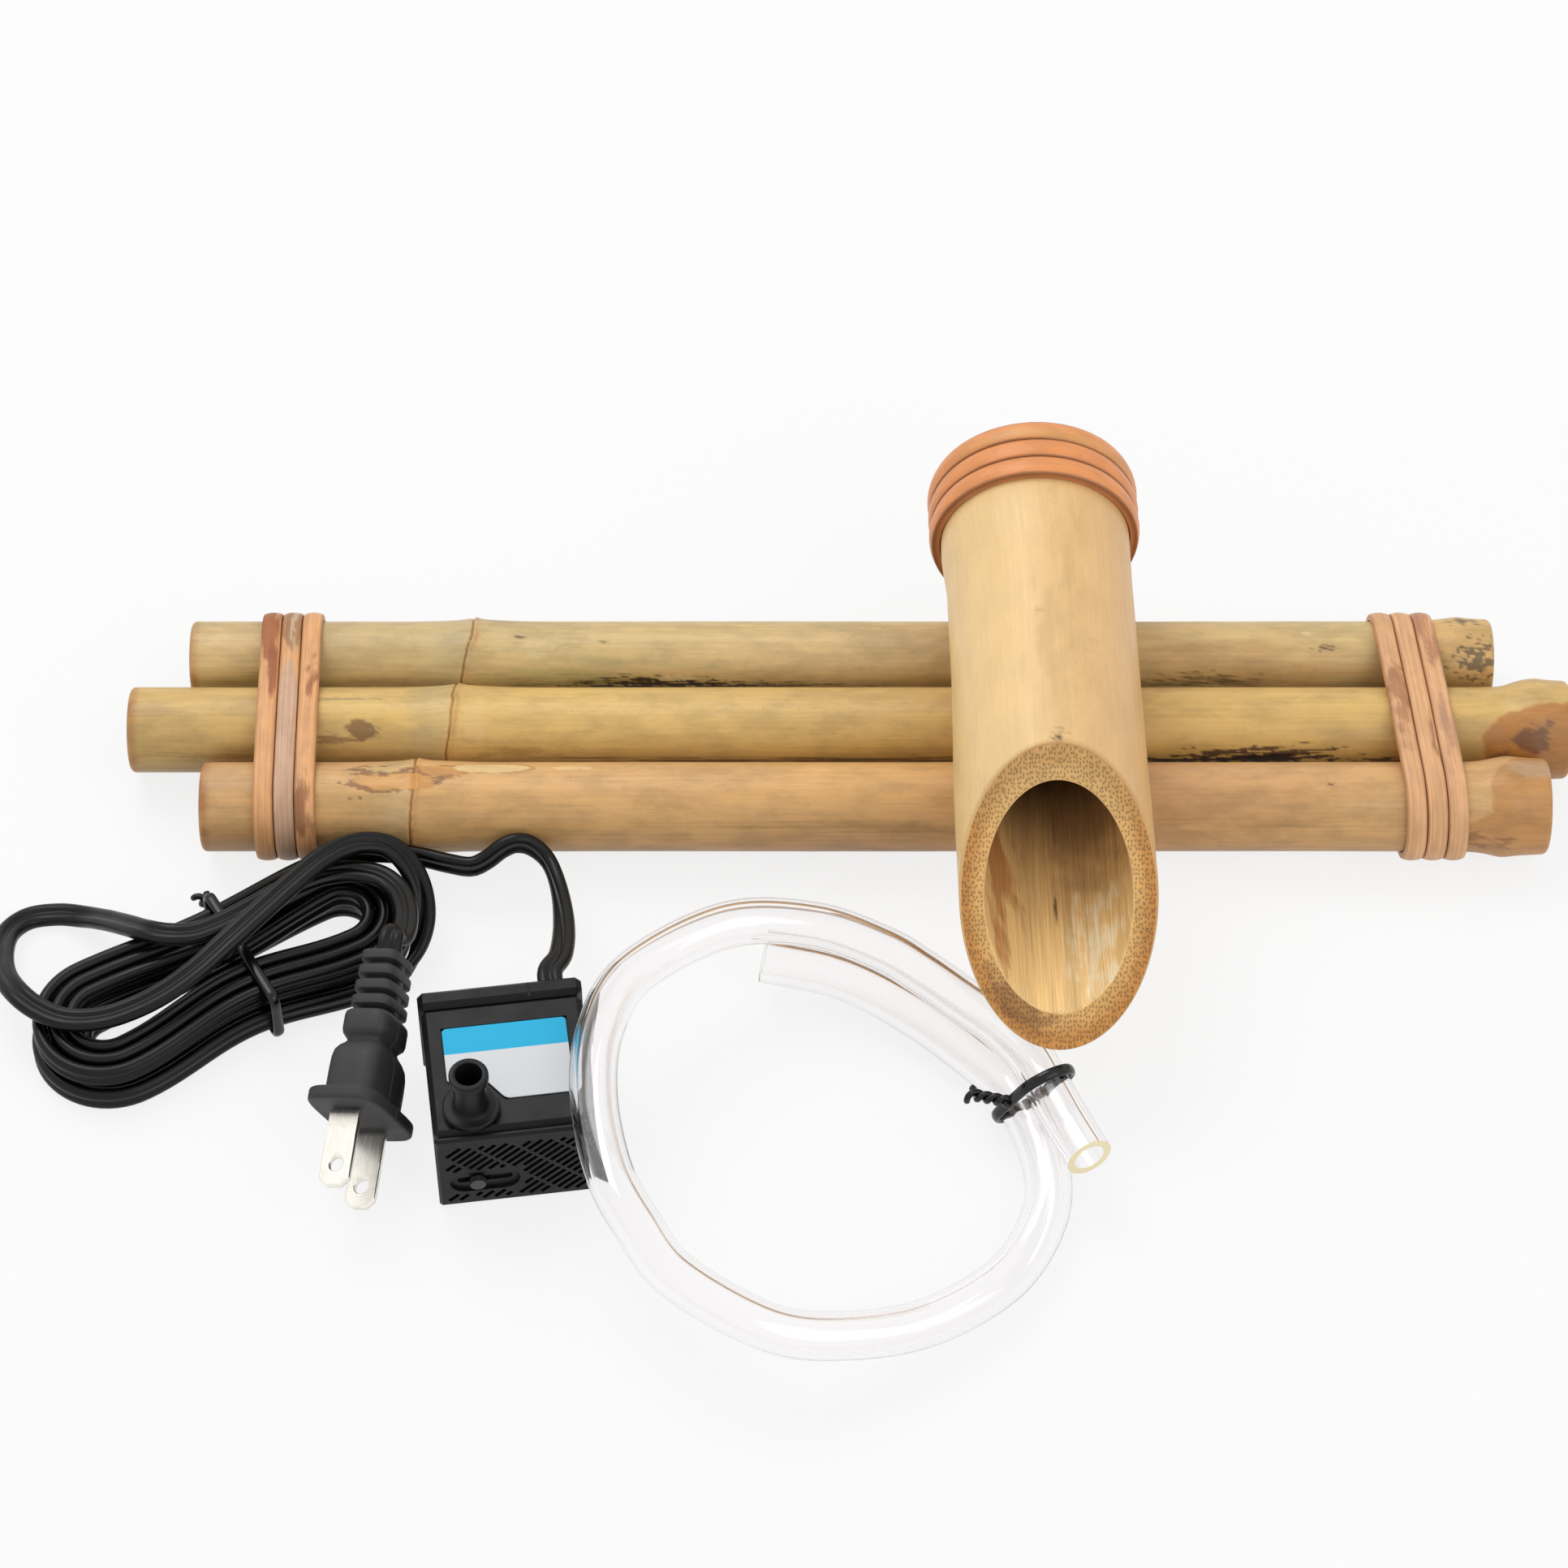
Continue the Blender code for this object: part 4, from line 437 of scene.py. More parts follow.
def add_node(tree: NodeTree, kind: str, inputs: dict[Any, Any] | None = None, **settings: Any) -> Node:
    """Adds a shader node with its settings and links.

    Args:
        tree: The material's or world's node tree.
        kind: Blender's name of the node type.
        inputs: Values or output sockets, by the input's name or number.
        **settings: Properties to set on the node.

    Returns:
        The new node.
    """
    node = tree.nodes.new(kind)
    for name, value in settings.items():
        setattr(node, name, value)
    for name, value in (inputs or {}).items():
        if isinstance(value, NodeSocket):
            tree.links.new(value, node.inputs[name])
        else:
            node.inputs[name].default_value = value
    return node


@dataclass(frozen=True)
class Finish:
    """What every finish shares: a Principled surface with its own even values.

    Attributes:
        name: Plain name of the real finish.
        colour: sRGB hex colour, where the surface's own tones don't give it.
        roughness: Typical roughness.
        metallic: 1 for a metal.
        ior: Index of refraction; a metal keeps the default.
    """

    name: str
    colour: str = "808080"
    roughness: float = 0.5
    metallic: float = 0.0
    ior: float = 1.5

    def make(self) -> Material:
        """Makes the material, once.

        Returns:
            The material of this name.
        """
        found = bpy.data.materials.get(self.name)
        if found:
            return found
        material = bpy.data.materials.new(self.name)
        material.use_nodes = True
        tree = material.node_tree
        shader = tree.nodes["Principled BSDF"]
        shader.inputs["Base Color"].default_value = (*linear(self.colour), 1.0)
        shader.inputs["Roughness"].default_value = self.roughness
        shader.inputs["Metallic"].default_value = self.metallic
        if not self.metallic:
            shader.inputs["IOR"].default_value = self.ior
        material.diffuse_color = (*linear(self.colour), 1.0)
        self.dress(tree, shader)
        return material

    def dress(self, tree: NodeTree, shader: Node) -> None:
        """Adds the finish's own pattern; the plain finish has none.

        Args:
            tree: Its node tree.
            shader: Its Principled node.
        """

    @staticmethod
    def noise(tree: NodeTree, vector: NodeSocket, waves: Sequence[float], detail: float = 3.0,
              roughness: float = 0.55) -> NodeSocket:
        """Noise with its own fineness each way.

        Args:
            tree: Its node tree.
            vector: The coordinate, in millimetres.
            waves: Waves per millimetre each way.
            detail: Number of finer octaves.
            roughness: Their strength.

        Returns:
            The pattern, from 0 to 1.
        """
        scaled = add_node(tree, "ShaderNodeMapping", {"Vector": vector, "Scale": tuple(waves)})
        pattern = {"Vector": scaled.outputs[0], "Scale": 1.0, "Detail": detail, "Roughness": roughness}
        return add_node(tree, "ShaderNodeTexNoise", pattern).outputs["Fac"]

    @staticmethod
    def spread(tree: NodeTree, value: NodeSocket, low: float, high: float,
               start: float = 0.3, end: float = 0.7) -> NodeSocket:
        """Maps a pattern's start and end to a low and a high value, held at both."""
        return add_node(tree, "ShaderNodeMapRange", {0: value, 1: start, 2: end, 3: low, 4: high},
                        interpolation_type="SMOOTHSTEP").outputs[0]

    @staticmethod
    def scaled(tree: NodeTree, colour: NodeSocket, *shades: NodeSocket) -> NodeSocket:
        """A colour times one shade after another.

        Args:
            tree: Its node tree.
            colour: The colour.
            *shades: The shades.

        Returns:
            The product.
        """
        for shade in shades:
            product = add_node(tree, "ShaderNodeVectorMath", {0: colour, 1: shade}, operation="MULTIPLY")
            colour = product.outputs[0]
        return colour

    @staticmethod
    def relief(tree: NodeTree, shader: Node, height: NodeSocket, depth_mm: float,
               strength: float = 1.0) -> None:
        """Gives a surface bumps of a real depth.

        Args:
            tree: Its node tree.
            shader: Its Principled node.
            height: Pattern of the height.
            depth_mm: Depth in millimetres.
            strength: Share of it that shows.
        """
        depth = {"Height": height, "Distance": depth_mm * MM, "Strength": strength}
        bump = add_node(tree, "ShaderNodeBump", depth)
        tree.links.new(bump.outputs[0], shader.inputs["Normal"])


def surface_inputs(tree: NodeTree) -> tuple[NodeSocket, NodeSocket]:
    """Reads what a piece's mesh holds for its finish.

    Args:
        tree: The material's node tree.

    Returns:
        The piece's own grain coordinates, in millimetres, and its tone.
    """
    grain = add_node(tree, "ShaderNodeAttribute", attribute_name="grain", attribute_type="GEOMETRY")
    tone = add_node(tree, "ShaderNodeAttribute", attribute_name="tone", attribute_type="GEOMETRY")
    return grain.outputs["Vector"], tone.outputs["Color"]


@dataclass(frozen=True)
class CulmSkin(Finish):
    """Dried bamboo skin, waxed: a satin sheen over long pale streaks with fine dark specks."""

    streak: float = 0.07
    blotch: float = 0.14

    def dress(self, tree: NodeTree, shader: Node) -> None:
        """Streaks about 0.8 mm wide and 30 mm long, blotches of 5 by 11 mm, specks of 0.3 mm.

        Args:
            tree: Its node tree.
            shader: Its Principled node.
        """
        grain, tone = surface_inputs(tree)
        streaks = self.noise(tree, grain, (0.03, 1.3, 1.3), 4.0)
        fine = self.noise(tree, grain, (0.1, 4.5, 4.5), 2.0)
        blotches = self.noise(tree, grain, (0.09, 0.2, 0.2), 4.0, 0.65)
        specks = self.noise(tree, grain, (1.1, 2.2, 2.2), 1.0)
        shades = (self.spread(tree, streaks, 1 - self.streak, 1 + self.streak / 3),
                  self.spread(tree, fine, 0.97, 1.02),
                  self.spread(tree, blotches, 1 - self.blotch, 1 + self.blotch / 2, 0.34, 0.62),
                  self.spread(tree, specks, 0.72, 1.0, 0.2, 0.27))
        tree.links.new(self.scaled(tree, tone, *shades), shader.inputs["Base Color"])
        tree.links.new(self.spread(tree, streaks, self.roughness + 0.06, self.roughness - 0.05),
                       shader.inputs["Roughness"])
        self.relief(tree, shader, streaks, 0.05, 0.6)


@dataclass(frozen=True)
class CutCulm(Finish):
    """Sawn and sanded bamboo end grain: dark fibre bundles as dots in pale pith, denser outside."""

    def dress(self, tree: NodeTree, shader: Node) -> None:
        """Bundles 0.62 mm apart across the culm, which a slanted cut draws out along its length.

        Args:
            tree: Its node tree.
            shader: Its Principled node.
        """
        grain, tone = surface_inputs(tree)
        cells = add_node(tree, "ShaderNodeTexVoronoi", {"Vector": grain, "Scale": 1.6, "Randomness": 0.7},
                         voronoi_dimensions="2D")
        distance = cells.outputs["Distance"]
        patches = self.noise(tree, grain, (0.35, 0.35, 0.1), 2.0)
        dots = self.spread(tree, distance, 0.55, 1.08, 0.16, 0.46)
        tree.links.new(self.scaled(tree, tone, dots, self.spread(tree, patches, 0.9, 1.06)),
                       shader.inputs["Base Color"])
        self.relief(tree, shader, distance, 0.12, 0.5)


@dataclass(frozen=True)
class CulmBore(Finish):
    """Inside of the culm: torn silvery fibres on brown pith, matt."""

    def dress(self, tree: NodeTree, shader: Node) -> None:
        """Fibres 0.3 mm wide and 25 mm long, in bands 2 mm wide.

        Args:
            tree: Its node tree.
            shader: Its Principled node.
        """
        grain, tone = surface_inputs(tree)
        fibres = self.noise(tree, grain, (0.05, 5.5, 5.5), 3.0)
        bands = self.noise(tree, grain, (0.02, 0.5, 0.5), 3.0)
        shades = (self.spread(tree, fibres, 0.78, 1.16, 0.34, 0.66), self.spread(tree, bands, 0.86, 1.08))
        tree.links.new(self.scaled(tree, tone, *shades), shader.inputs["Base Color"])
        self.relief(tree, shader, fibres, 0.12, 0.5)


@dataclass(frozen=True)
class RattanStrip(Finish):
    """Split rattan peel: satin, with straight fibres along the strip; the darker lines at its edges are
    painted shade from the winding's tones.
    """

    contrast: float = 0.2

    def dress(self, tree: NodeTree, shader: Node) -> None:
        """Fibres 0.3 mm wide and 20 mm long, and stains of 5 mm.

        Args:
            tree: Its node tree.
            shader: Its Principled node.
        """
        grain, tone = surface_inputs(tree)
        fibres = self.noise(tree, grain, (0.05, 3.2, 1.0), 3.0)
        colour_patches = self.noise(tree, grain, (0.18, 0.4, 0.4), 3.0)
        shades = (self.spread(tree, fibres, 1 - self.contrast, 1 + self.contrast / 3),
                  self.spread(tree, colour_patches, 0.88, 1.05))
        tree.links.new(self.scaled(tree, tone, *shades), shader.inputs["Base Color"])
        self.relief(tree, shader, fibres, 0.1, 0.6)


@dataclass(frozen=True)
class Moulded(Finish):
    """Injection-moulded plastic or rubber: even colour with a fine spark-eroded grain."""

    grain_mm: float = 0.35
    depth_mm: float = 0.02
    mottle: float = 0.12

    def dress(self, tree: NodeTree, shader: Node) -> None:
        """Grain at its own size in the row frame's millimetres, and a faint handling mottle of 9 mm.

        Args:
            tree: Its node tree.
            shader: Its Principled node.
        """
        place = add_node(tree, "ShaderNodeTexCoord").outputs["Object"]
        fine = self.noise(tree, place, (1 / self.grain_mm / MM,) * 3, 2.0)
        wide = self.noise(tree, place, (110.0,) * 3, 3.0)
        base = add_node(tree, "ShaderNodeRGB")
        base.outputs[0].default_value = (*linear(self.colour), 1.0)
        shade = self.spread(tree, wide, 1 - self.mottle, 1 + self.mottle)
        tree.links.new(self.scaled(tree, base.outputs[0], shade), shader.inputs["Base Color"])
        tree.links.new(self.spread(tree, wide, self.roughness - 0.06, self.roughness + 0.08),
                       shader.inputs["Roughness"])
        self.relief(tree, shader, fine, self.depth_mm, 0.7)


@dataclass(frozen=True)
class Toned(Finish):
    """A surface that takes its colour from the piece's own tones, with a faint print grain."""

    def dress(self, tree: NodeTree, shader: Node) -> None:
        """Grain of 0.2 mm.

        Args:
            tree: Its node tree.
            shader: Its Principled node.
        """
        grain, tone = surface_inputs(tree)
        fine = self.noise(tree, grain, (5.0, 5.0, 5.0), 2.0)
        shade = self.spread(tree, fine, 0.97, 1.02)
        tree.links.new(self.scaled(tree, tone, shade), shader.inputs["Base Color"])
        self.relief(tree, shader, fine, 0.01, 0.4)


@dataclass(frozen=True)
class BrushedMetal(Finish):
    """Stamped and plated sheet: bright, with fine drawing lines along the blade and dull spots."""

    def dress(self, tree: NodeTree, shader: Node) -> None:
        """Lines 0.15 mm apart and 8 mm long, and spots of 3 mm.

        Args:
            tree: Its node tree.
            shader: Its Principled node.
        """
        grain, _ = surface_inputs(tree)
        lines = self.noise(tree, grain, (0.12, 6.5, 6.5), 2.0)
        spots = self.noise(tree, grain, (0.35, 0.35, 0.35), 3.0)
        base = add_node(tree, "ShaderNodeRGB")
        base.outputs[0].default_value = (*linear(self.colour), 1.0)
        tree.links.new(self.scaled(tree, base.outputs[0], self.spread(tree, spots, 0.92, 1.02)),
                       shader.inputs["Base Color"])
        tree.links.new(self.spread(tree, lines, self.roughness - 0.03, self.roughness + 0.08),
                       shader.inputs["Roughness"])
        self.relief(tree, shader, lines, 0.004, 0.3)


@dataclass(frozen=True)
class ClearVinyl(Finish):
    """Clear soft vinyl: see-through and glossy, with a faint warm tint where it is seen edge on."""

    def dress(self, tree: NodeTree, shader: Node) -> None:
        """Full transmission, with slow waves of 20 mm left by the extruder.

        Args:
            tree: Its node tree.
            shader: Its Principled node.
        """
        grain, tone = surface_inputs(tree)
        shader.inputs["Transmission Weight"].default_value = 1.0
        tree.links.new(tone, shader.inputs["Base Color"])
        waves = self.noise(tree, grain, (0.05, 0.12, 0.12), 1.0)
        self.relief(tree, shader, waves, 0.1, 0.2)


class Finishes:
    """Every finish of the object, each named for what the real one is."""

    # A long soft highlight over mottled tan
    ARM_SKIN = CulmSkin("waxed_bamboo_skin", "C8A268", 0.43)
    # A broad pale sheen, nearly even
    SPOUT_SKIN = CulmSkin("sanded_bamboo_skin", "E2BE85", 0.4, streak=0.03, blotch=0.04)
    # A matt cut peppered with dark dots
    CUT = CutCulm("sanded_bamboo_end_grain", "C99B5C", 0.55)
    # Torn streaks that run into the dark
    BORE = CulmBore("bamboo_bore_fibres", "C39A5E", 0.6)
    # Dull strips that show each fibre
    LASHING = RattanStrip("split_rattan_peel", "D09A70", 0.5)
    # Smooth orange strips with a satin crown
    WRAP = RattanStrip("dyed_rattan_peel", "E2A276", 0.4, contrast=0.08)
    # Bare brown wood, straight in the grain
    PEG = RattanStrip("turned_hardwood", "B98A55", 0.6)
    # Deep black with a faint veil of light; the low IOR keeps the white room out of it
    HOUSING = Moulded("black_abs", "131314", 0.4, ior=1.29)
    # A shade lighter than the grille round it
    KNOB = Moulded("grey_abs", "2E2F32", 0.38)
    # Milky white, slightly waxy
    IMPELLER = Moulded("white_acetal", "D8D6CE", 0.4)
    # Dead matt black
    FEET = Moulded("black_rubber_pads", "1B1B1D", 0.75, depth_mm=0.04)
    # Charcoal that the mould's grain turns matt; real grain is finer, and drawn coarse to show
    PLUG = Moulded("moulded_black_pvc", "333335", 0.58, ior=1.42, grain_mm=0.5, depth_mm=0.055)
    # Black with a thin line of light along each core
    SHEATH = Moulded("extruded_black_pvc", "090A0B", 0.3, ior=1.32, depth_mm=0.008)
    # Wet-looking black
    TIE = Moulded("glossy_black_tie", "0E0F11", 0.22, ior=1.4, depth_mm=0.01)
    # Flat clean colour under a satin film
    LABEL = Toned("printed_label_film", "DDE6EE", 0.4, ior=1.3)
    # Bright warm silver, clouded where it was handled
    BLADE = BrushedMetal("nickel_plated_brass", "F4F0E6", 0.24, 1.0)
    # Dull grey sheet
    STEEL = BrushedMetal("electrical_steel", "8F9196", 0.45, 1.0)
    # Reddish wire under clear enamel
    COPPER = BrushedMetal("enamelled_copper", "B4682F", 0.35, 1.0)
    # Smooth cream white
    CERAMIC = Moulded("ground_ceramic", "ECE8DE", 0.25)
    # Dark brownish grey, dry
    FERRITE = Moulded("pressed_ferrite", "3A3634", 0.6)
    # Straw yellow, seen only on the tube's cut ends
    CUT_VINYL = Finish("yellowed_vinyl_end", "FDEFC2", 0.4)
    # Water clear, drawn by its edges and highlights
    VINYL = ClearVinyl("clear_vinyl_tube", "F2F0EE", 0.04, ior=1.53)


@dataclass(frozen=True)
class ColourPatch:
    """A ragged coloured patch on a surface with two coordinates: mostly a mark of the real surface; one on
    the middle arm is painted shade.

    Attributes:
        place: Its middle, in the surface's coordinates.
        half: Its half sizes in the same coordinates.
        colour: sRGB hex colour.
        strength: Share of the colour at its middle.
        fade: Share of its half size over which it fades.
        ragged: How far its edge wanders, as a share of its half size.
        waves: Number of waves of raggedness across it.
        seed: Chooses the raggedness.
    """

    place: tuple[float, float]
    half: tuple[float, float]
    colour: str
    strength: float = 1.0
    fade: float = 0.35
    ragged: float = 0.35
    waves: float = 4.0
    seed: int = 1

    def lay(self, tone: Array, u: Array, v: Array) -> Array:
        """Mixes the patch into a tone: its share falls from the middle to a wandering edge.

        Args:
            tone: Colours so far, (..., 3).
            u: First coordinate of each point.
            v: Second coordinate.

        Returns:
            The new colours.
        """
        p, q = (u - self.place[0]) / self.half[0], (v - self.place[1]) / self.half[1]
        reach = np.hypot(p, q) + self.ragged * ripple(p * self.waves, q * self.waves, self.seed)
        share = self.strength * smoothstep((1 - reach) / self.fade)[..., None]
        return tone * (1 - share) + linear(self.colour) * share


@dataclass
class Culm:
    """One arm: a culm with a node near each end, read along its length and round from its top.

    Attributes:
        name: Name of its node in the frame.
        number: Its place among the arms, from the back.
        left: Where its left end is.
        length: Its length.
        nodes: Places of its nodes from the left end.
        swell: How much thicker its right end is.
        slant: How far the node's line leans along the culm.
        slot: The record's slot.
        tone: Main colour.
        shade: Colour of its lower side, laid as painted shade.
        colour_patches: Patches by place along in mm and angle from the top to the front in degrees.
        seed: Chooses its raggedness.
        wall: Its wall.
        end_rounding: Radius of the ends' outer edges.
        bulge: Height of a node.
        sides: Number of columns round it.
    """

    name: str
    number: int
    left: float
    length: float
    nodes: tuple[float, float]
    swell: float
    slant: float
    slot: Slot
    tone: str
    shade: str
    colour_patches: tuple[ColourPatch, ...]
    seed: int = 1
    wall: float = 3.6
    end_rounding: float = 1.1
    bulge: float = 0.75
    sides: int = 168

    def radius_at(self, along: Array, turn: Array) -> Array:
        """Outer radius at places along the culm and angles round it.

        A plain radius, plus a wide rise at each node, plus a thin lip and a groove at the left
        one's scar, plus the swollen right end, less a quarter circle at both ends.

        Args:
            along: Places from the left end.
            turn: Angles in degrees from the top to the front.

        Returns:
            The radius at each.
        """
        radius = Layout.DIAMETERS[self.number] / 2
        out = radius + 0.05 * ripple(along / 22, 2 * np.cos(np.radians(turn + 20)), self.seed)
        far = self.nodes[1]
        out = out + self.swell * smoothstep((along - far + 7) / 6)
        for node in self.nodes:
            place = self.from_node(along, turn, node)
            wide, narrow = np.exp(-((place - 1) / 7.5) ** 2), np.exp(-(place / 2.2) ** 2)
            out = out + self.bulge * (0.55 * wide + 0.4 * narrow)
        place = self.from_node(along, turn, self.nodes[0])
        out = out + 0.2 * np.exp(-((place - 0.5) / 0.5) ** 2) - 0.3 * np.exp(-((place + 0.2) / 0.3) ** 2)
        edge = np.clip(np.minimum(along, self.length - along), 0, self.end_rounding)
        return out - self.end_rounding + np.sqrt(
            np.clip(self.end_rounding ** 2 - (self.end_rounding - edge) ** 2, 0, None))

    def from_node(self, along: Array, turn: Array, node: float) -> Array:
        """Distance along the culm from a node's line, which leans and wanders."""
        wander = 0.35 * ripple(turn / 24, np.zeros_like(turn), self.seed + 5)
        return along - node + self.slant * np.sin(np.radians(turn - 38)) - wander

    def rows(self) -> Array:
        """Spaces the rings: every 0.55 mm, every 0.2 mm at the left node and closer at the ends.

        Returns:
            Places along the culm, in order.
        """
        rounding = self.end_rounding * (1 - np.cos(np.linspace(0, pi / 2, 7)))
        near = self.nodes[0] + np.arange(-3.4, 3.6, 0.2)
        every = np.arange(self.end_rounding, self.length - self.end_rounding, 0.55)
        rows = np.concatenate([rounding, self.length - rounding, every, near])
        rows = np.sort(rows[(rows >= 0) & (rows <= self.length)])
        return rows[np.concatenate(([True], np.diff(rows) > 0.02))]

    def place(self, along: Array, turn: Array, radius: Array) -> tuple[Array, Array]:
        """Turns length, angle and radius into places.

        Args:
            along: Places from the left end.
            turn: Angles in degrees from the top to the front.
            radius: Distances from the culm's middle line.

        Returns:
            Layout points and grain coordinates.
        """
        y, z, _ = Layout.arm_circles()[self.number]
        angle = np.radians(turn)
        out, up = -radius * np.sin(angle), radius * np.cos(angle)
        points = np.stack([self.left + along, y + out, z + up], axis=-1)
        return points, np.stack([along + 400 * self.number, out, up], axis=-1)

    def tones(self, along: Array, turn: Array) -> Array:
        """Skin colour: paler on top and turning to painted shade on the lower side, greyer under the node,
        then the colour patches over it.

        Args:
            along: Places from the left end.
            turn: Angles in degrees from the top to the front.

        Returns:
            A linear colour for each.
        """
        # Painted shade: away from the top the skin turns to the shade colour.
        low = smoothstep((np.abs(turn - 20) - 40) / 90)[..., None]
        tone = linear(self.tone) * (1 - low) + linear(self.shade) * low
        wide = ripple(along / 34, turn / 50, self.seed + 11)[..., None]
        tone = tone * (1 + 0.07 * wide) + 0.015 * wide * np.array([0.6, 0.5, -0.8])
        place = self.from_node(along, turn, self.nodes[0])
        ragged = 0.5 + 0.5 * ripple(turn / 11, along / 3, self.seed + 17)
        rim = smoothstep((2.6 - along) / 1.6) * (0.35 + 0.5 * ragged)
        for share, colour in (
            (0.42 * smoothstep((place + 12) / 8) * (place < -0.9), "B7A67C"),
            (0.8 * np.exp(-((place - 0.75) / 0.7) ** 2) * ragged, "BE8244"),
            (0.85 * np.exp(-((place + 0.15) / 0.24) ** 2), "7C4C28"),
            (rim, "B0713A"),
        ):
            tone = tone * (1 - share[..., None]) + linear(colour) * share[..., None]
        for colour_patch in self.colour_patches:
            tone = colour_patch.lay(tone, along, turn)
        return np.clip(tone, 0.003, 1)

    def build(self) -> Object:
        """Makes the culm: skin over a grid of length and angle, two cut ends and their hollows.

        Returns:
            The culm's object.
        """
        shell = Shell(self.name + "_culm")
        along, turn = np.meshgrid(self.rows(), np.linspace(-180, 180, self.sides + 1), indexing="ij")
        points, grain = self.place(along, turn, self.radius_at(along, turn))
        shell.add(points, 0, grain, self.tones(along, turn))
        for end, node, step in ((0.0, self.nodes[0], 1), (self.length, self.nodes[1], -1)):
            self.close_end(shell, end, node, step)
        return shell.make([Finishes.ARM_SKIN.make(), Finishes.CUT.make(), Finishes.BORE.make()])

    def close_end(self, shell: Shell, end: float, node: float, step: int) -> None:
        """Adds a cut face from the rounded edge to the bore, the bore and its closed bottom.

        Args:
            shell: The culm's surfaces.
            end: Where the end is, from the left end.
            node: Where the node that closes the bore is.
            step: 1 at the left end and -1 at the right one.
        """
        turn = np.linspace(-180, 180, self.sides + 1)
        edge = self.radius_at(np.full_like(turn, end), turn)
        bore = Layout.DIAMETERS[self.number] / 2 - self.wall
        share = np.linspace(0, 1, 6)[:, None]
        radii = edge * (1 - share) + bore * share
        points, grain = self.place(np.full(radii.shape, end), np.broadcast_to(turn, radii.shape), radii)
        shell.add(points, 1, grain[..., [1, 2, 0]], linear("C08E55"))
        depth = np.linspace(end, node - step * 1.5, 24)
        radius = np.concatenate([np.full(24, bore), bore * np.cos(np.linspace(0, pi / 2, 6))[1:]])
        along = np.concatenate([depth, np.full(5, depth[-1])])
        grid, angle = np.meshgrid(along, turn, indexing="ij")
        points, grain = self.place(grid, angle, np.broadcast_to(radius[:, None], grid.shape))
        shell.add(points, 2, grain, linear("A9814C"))


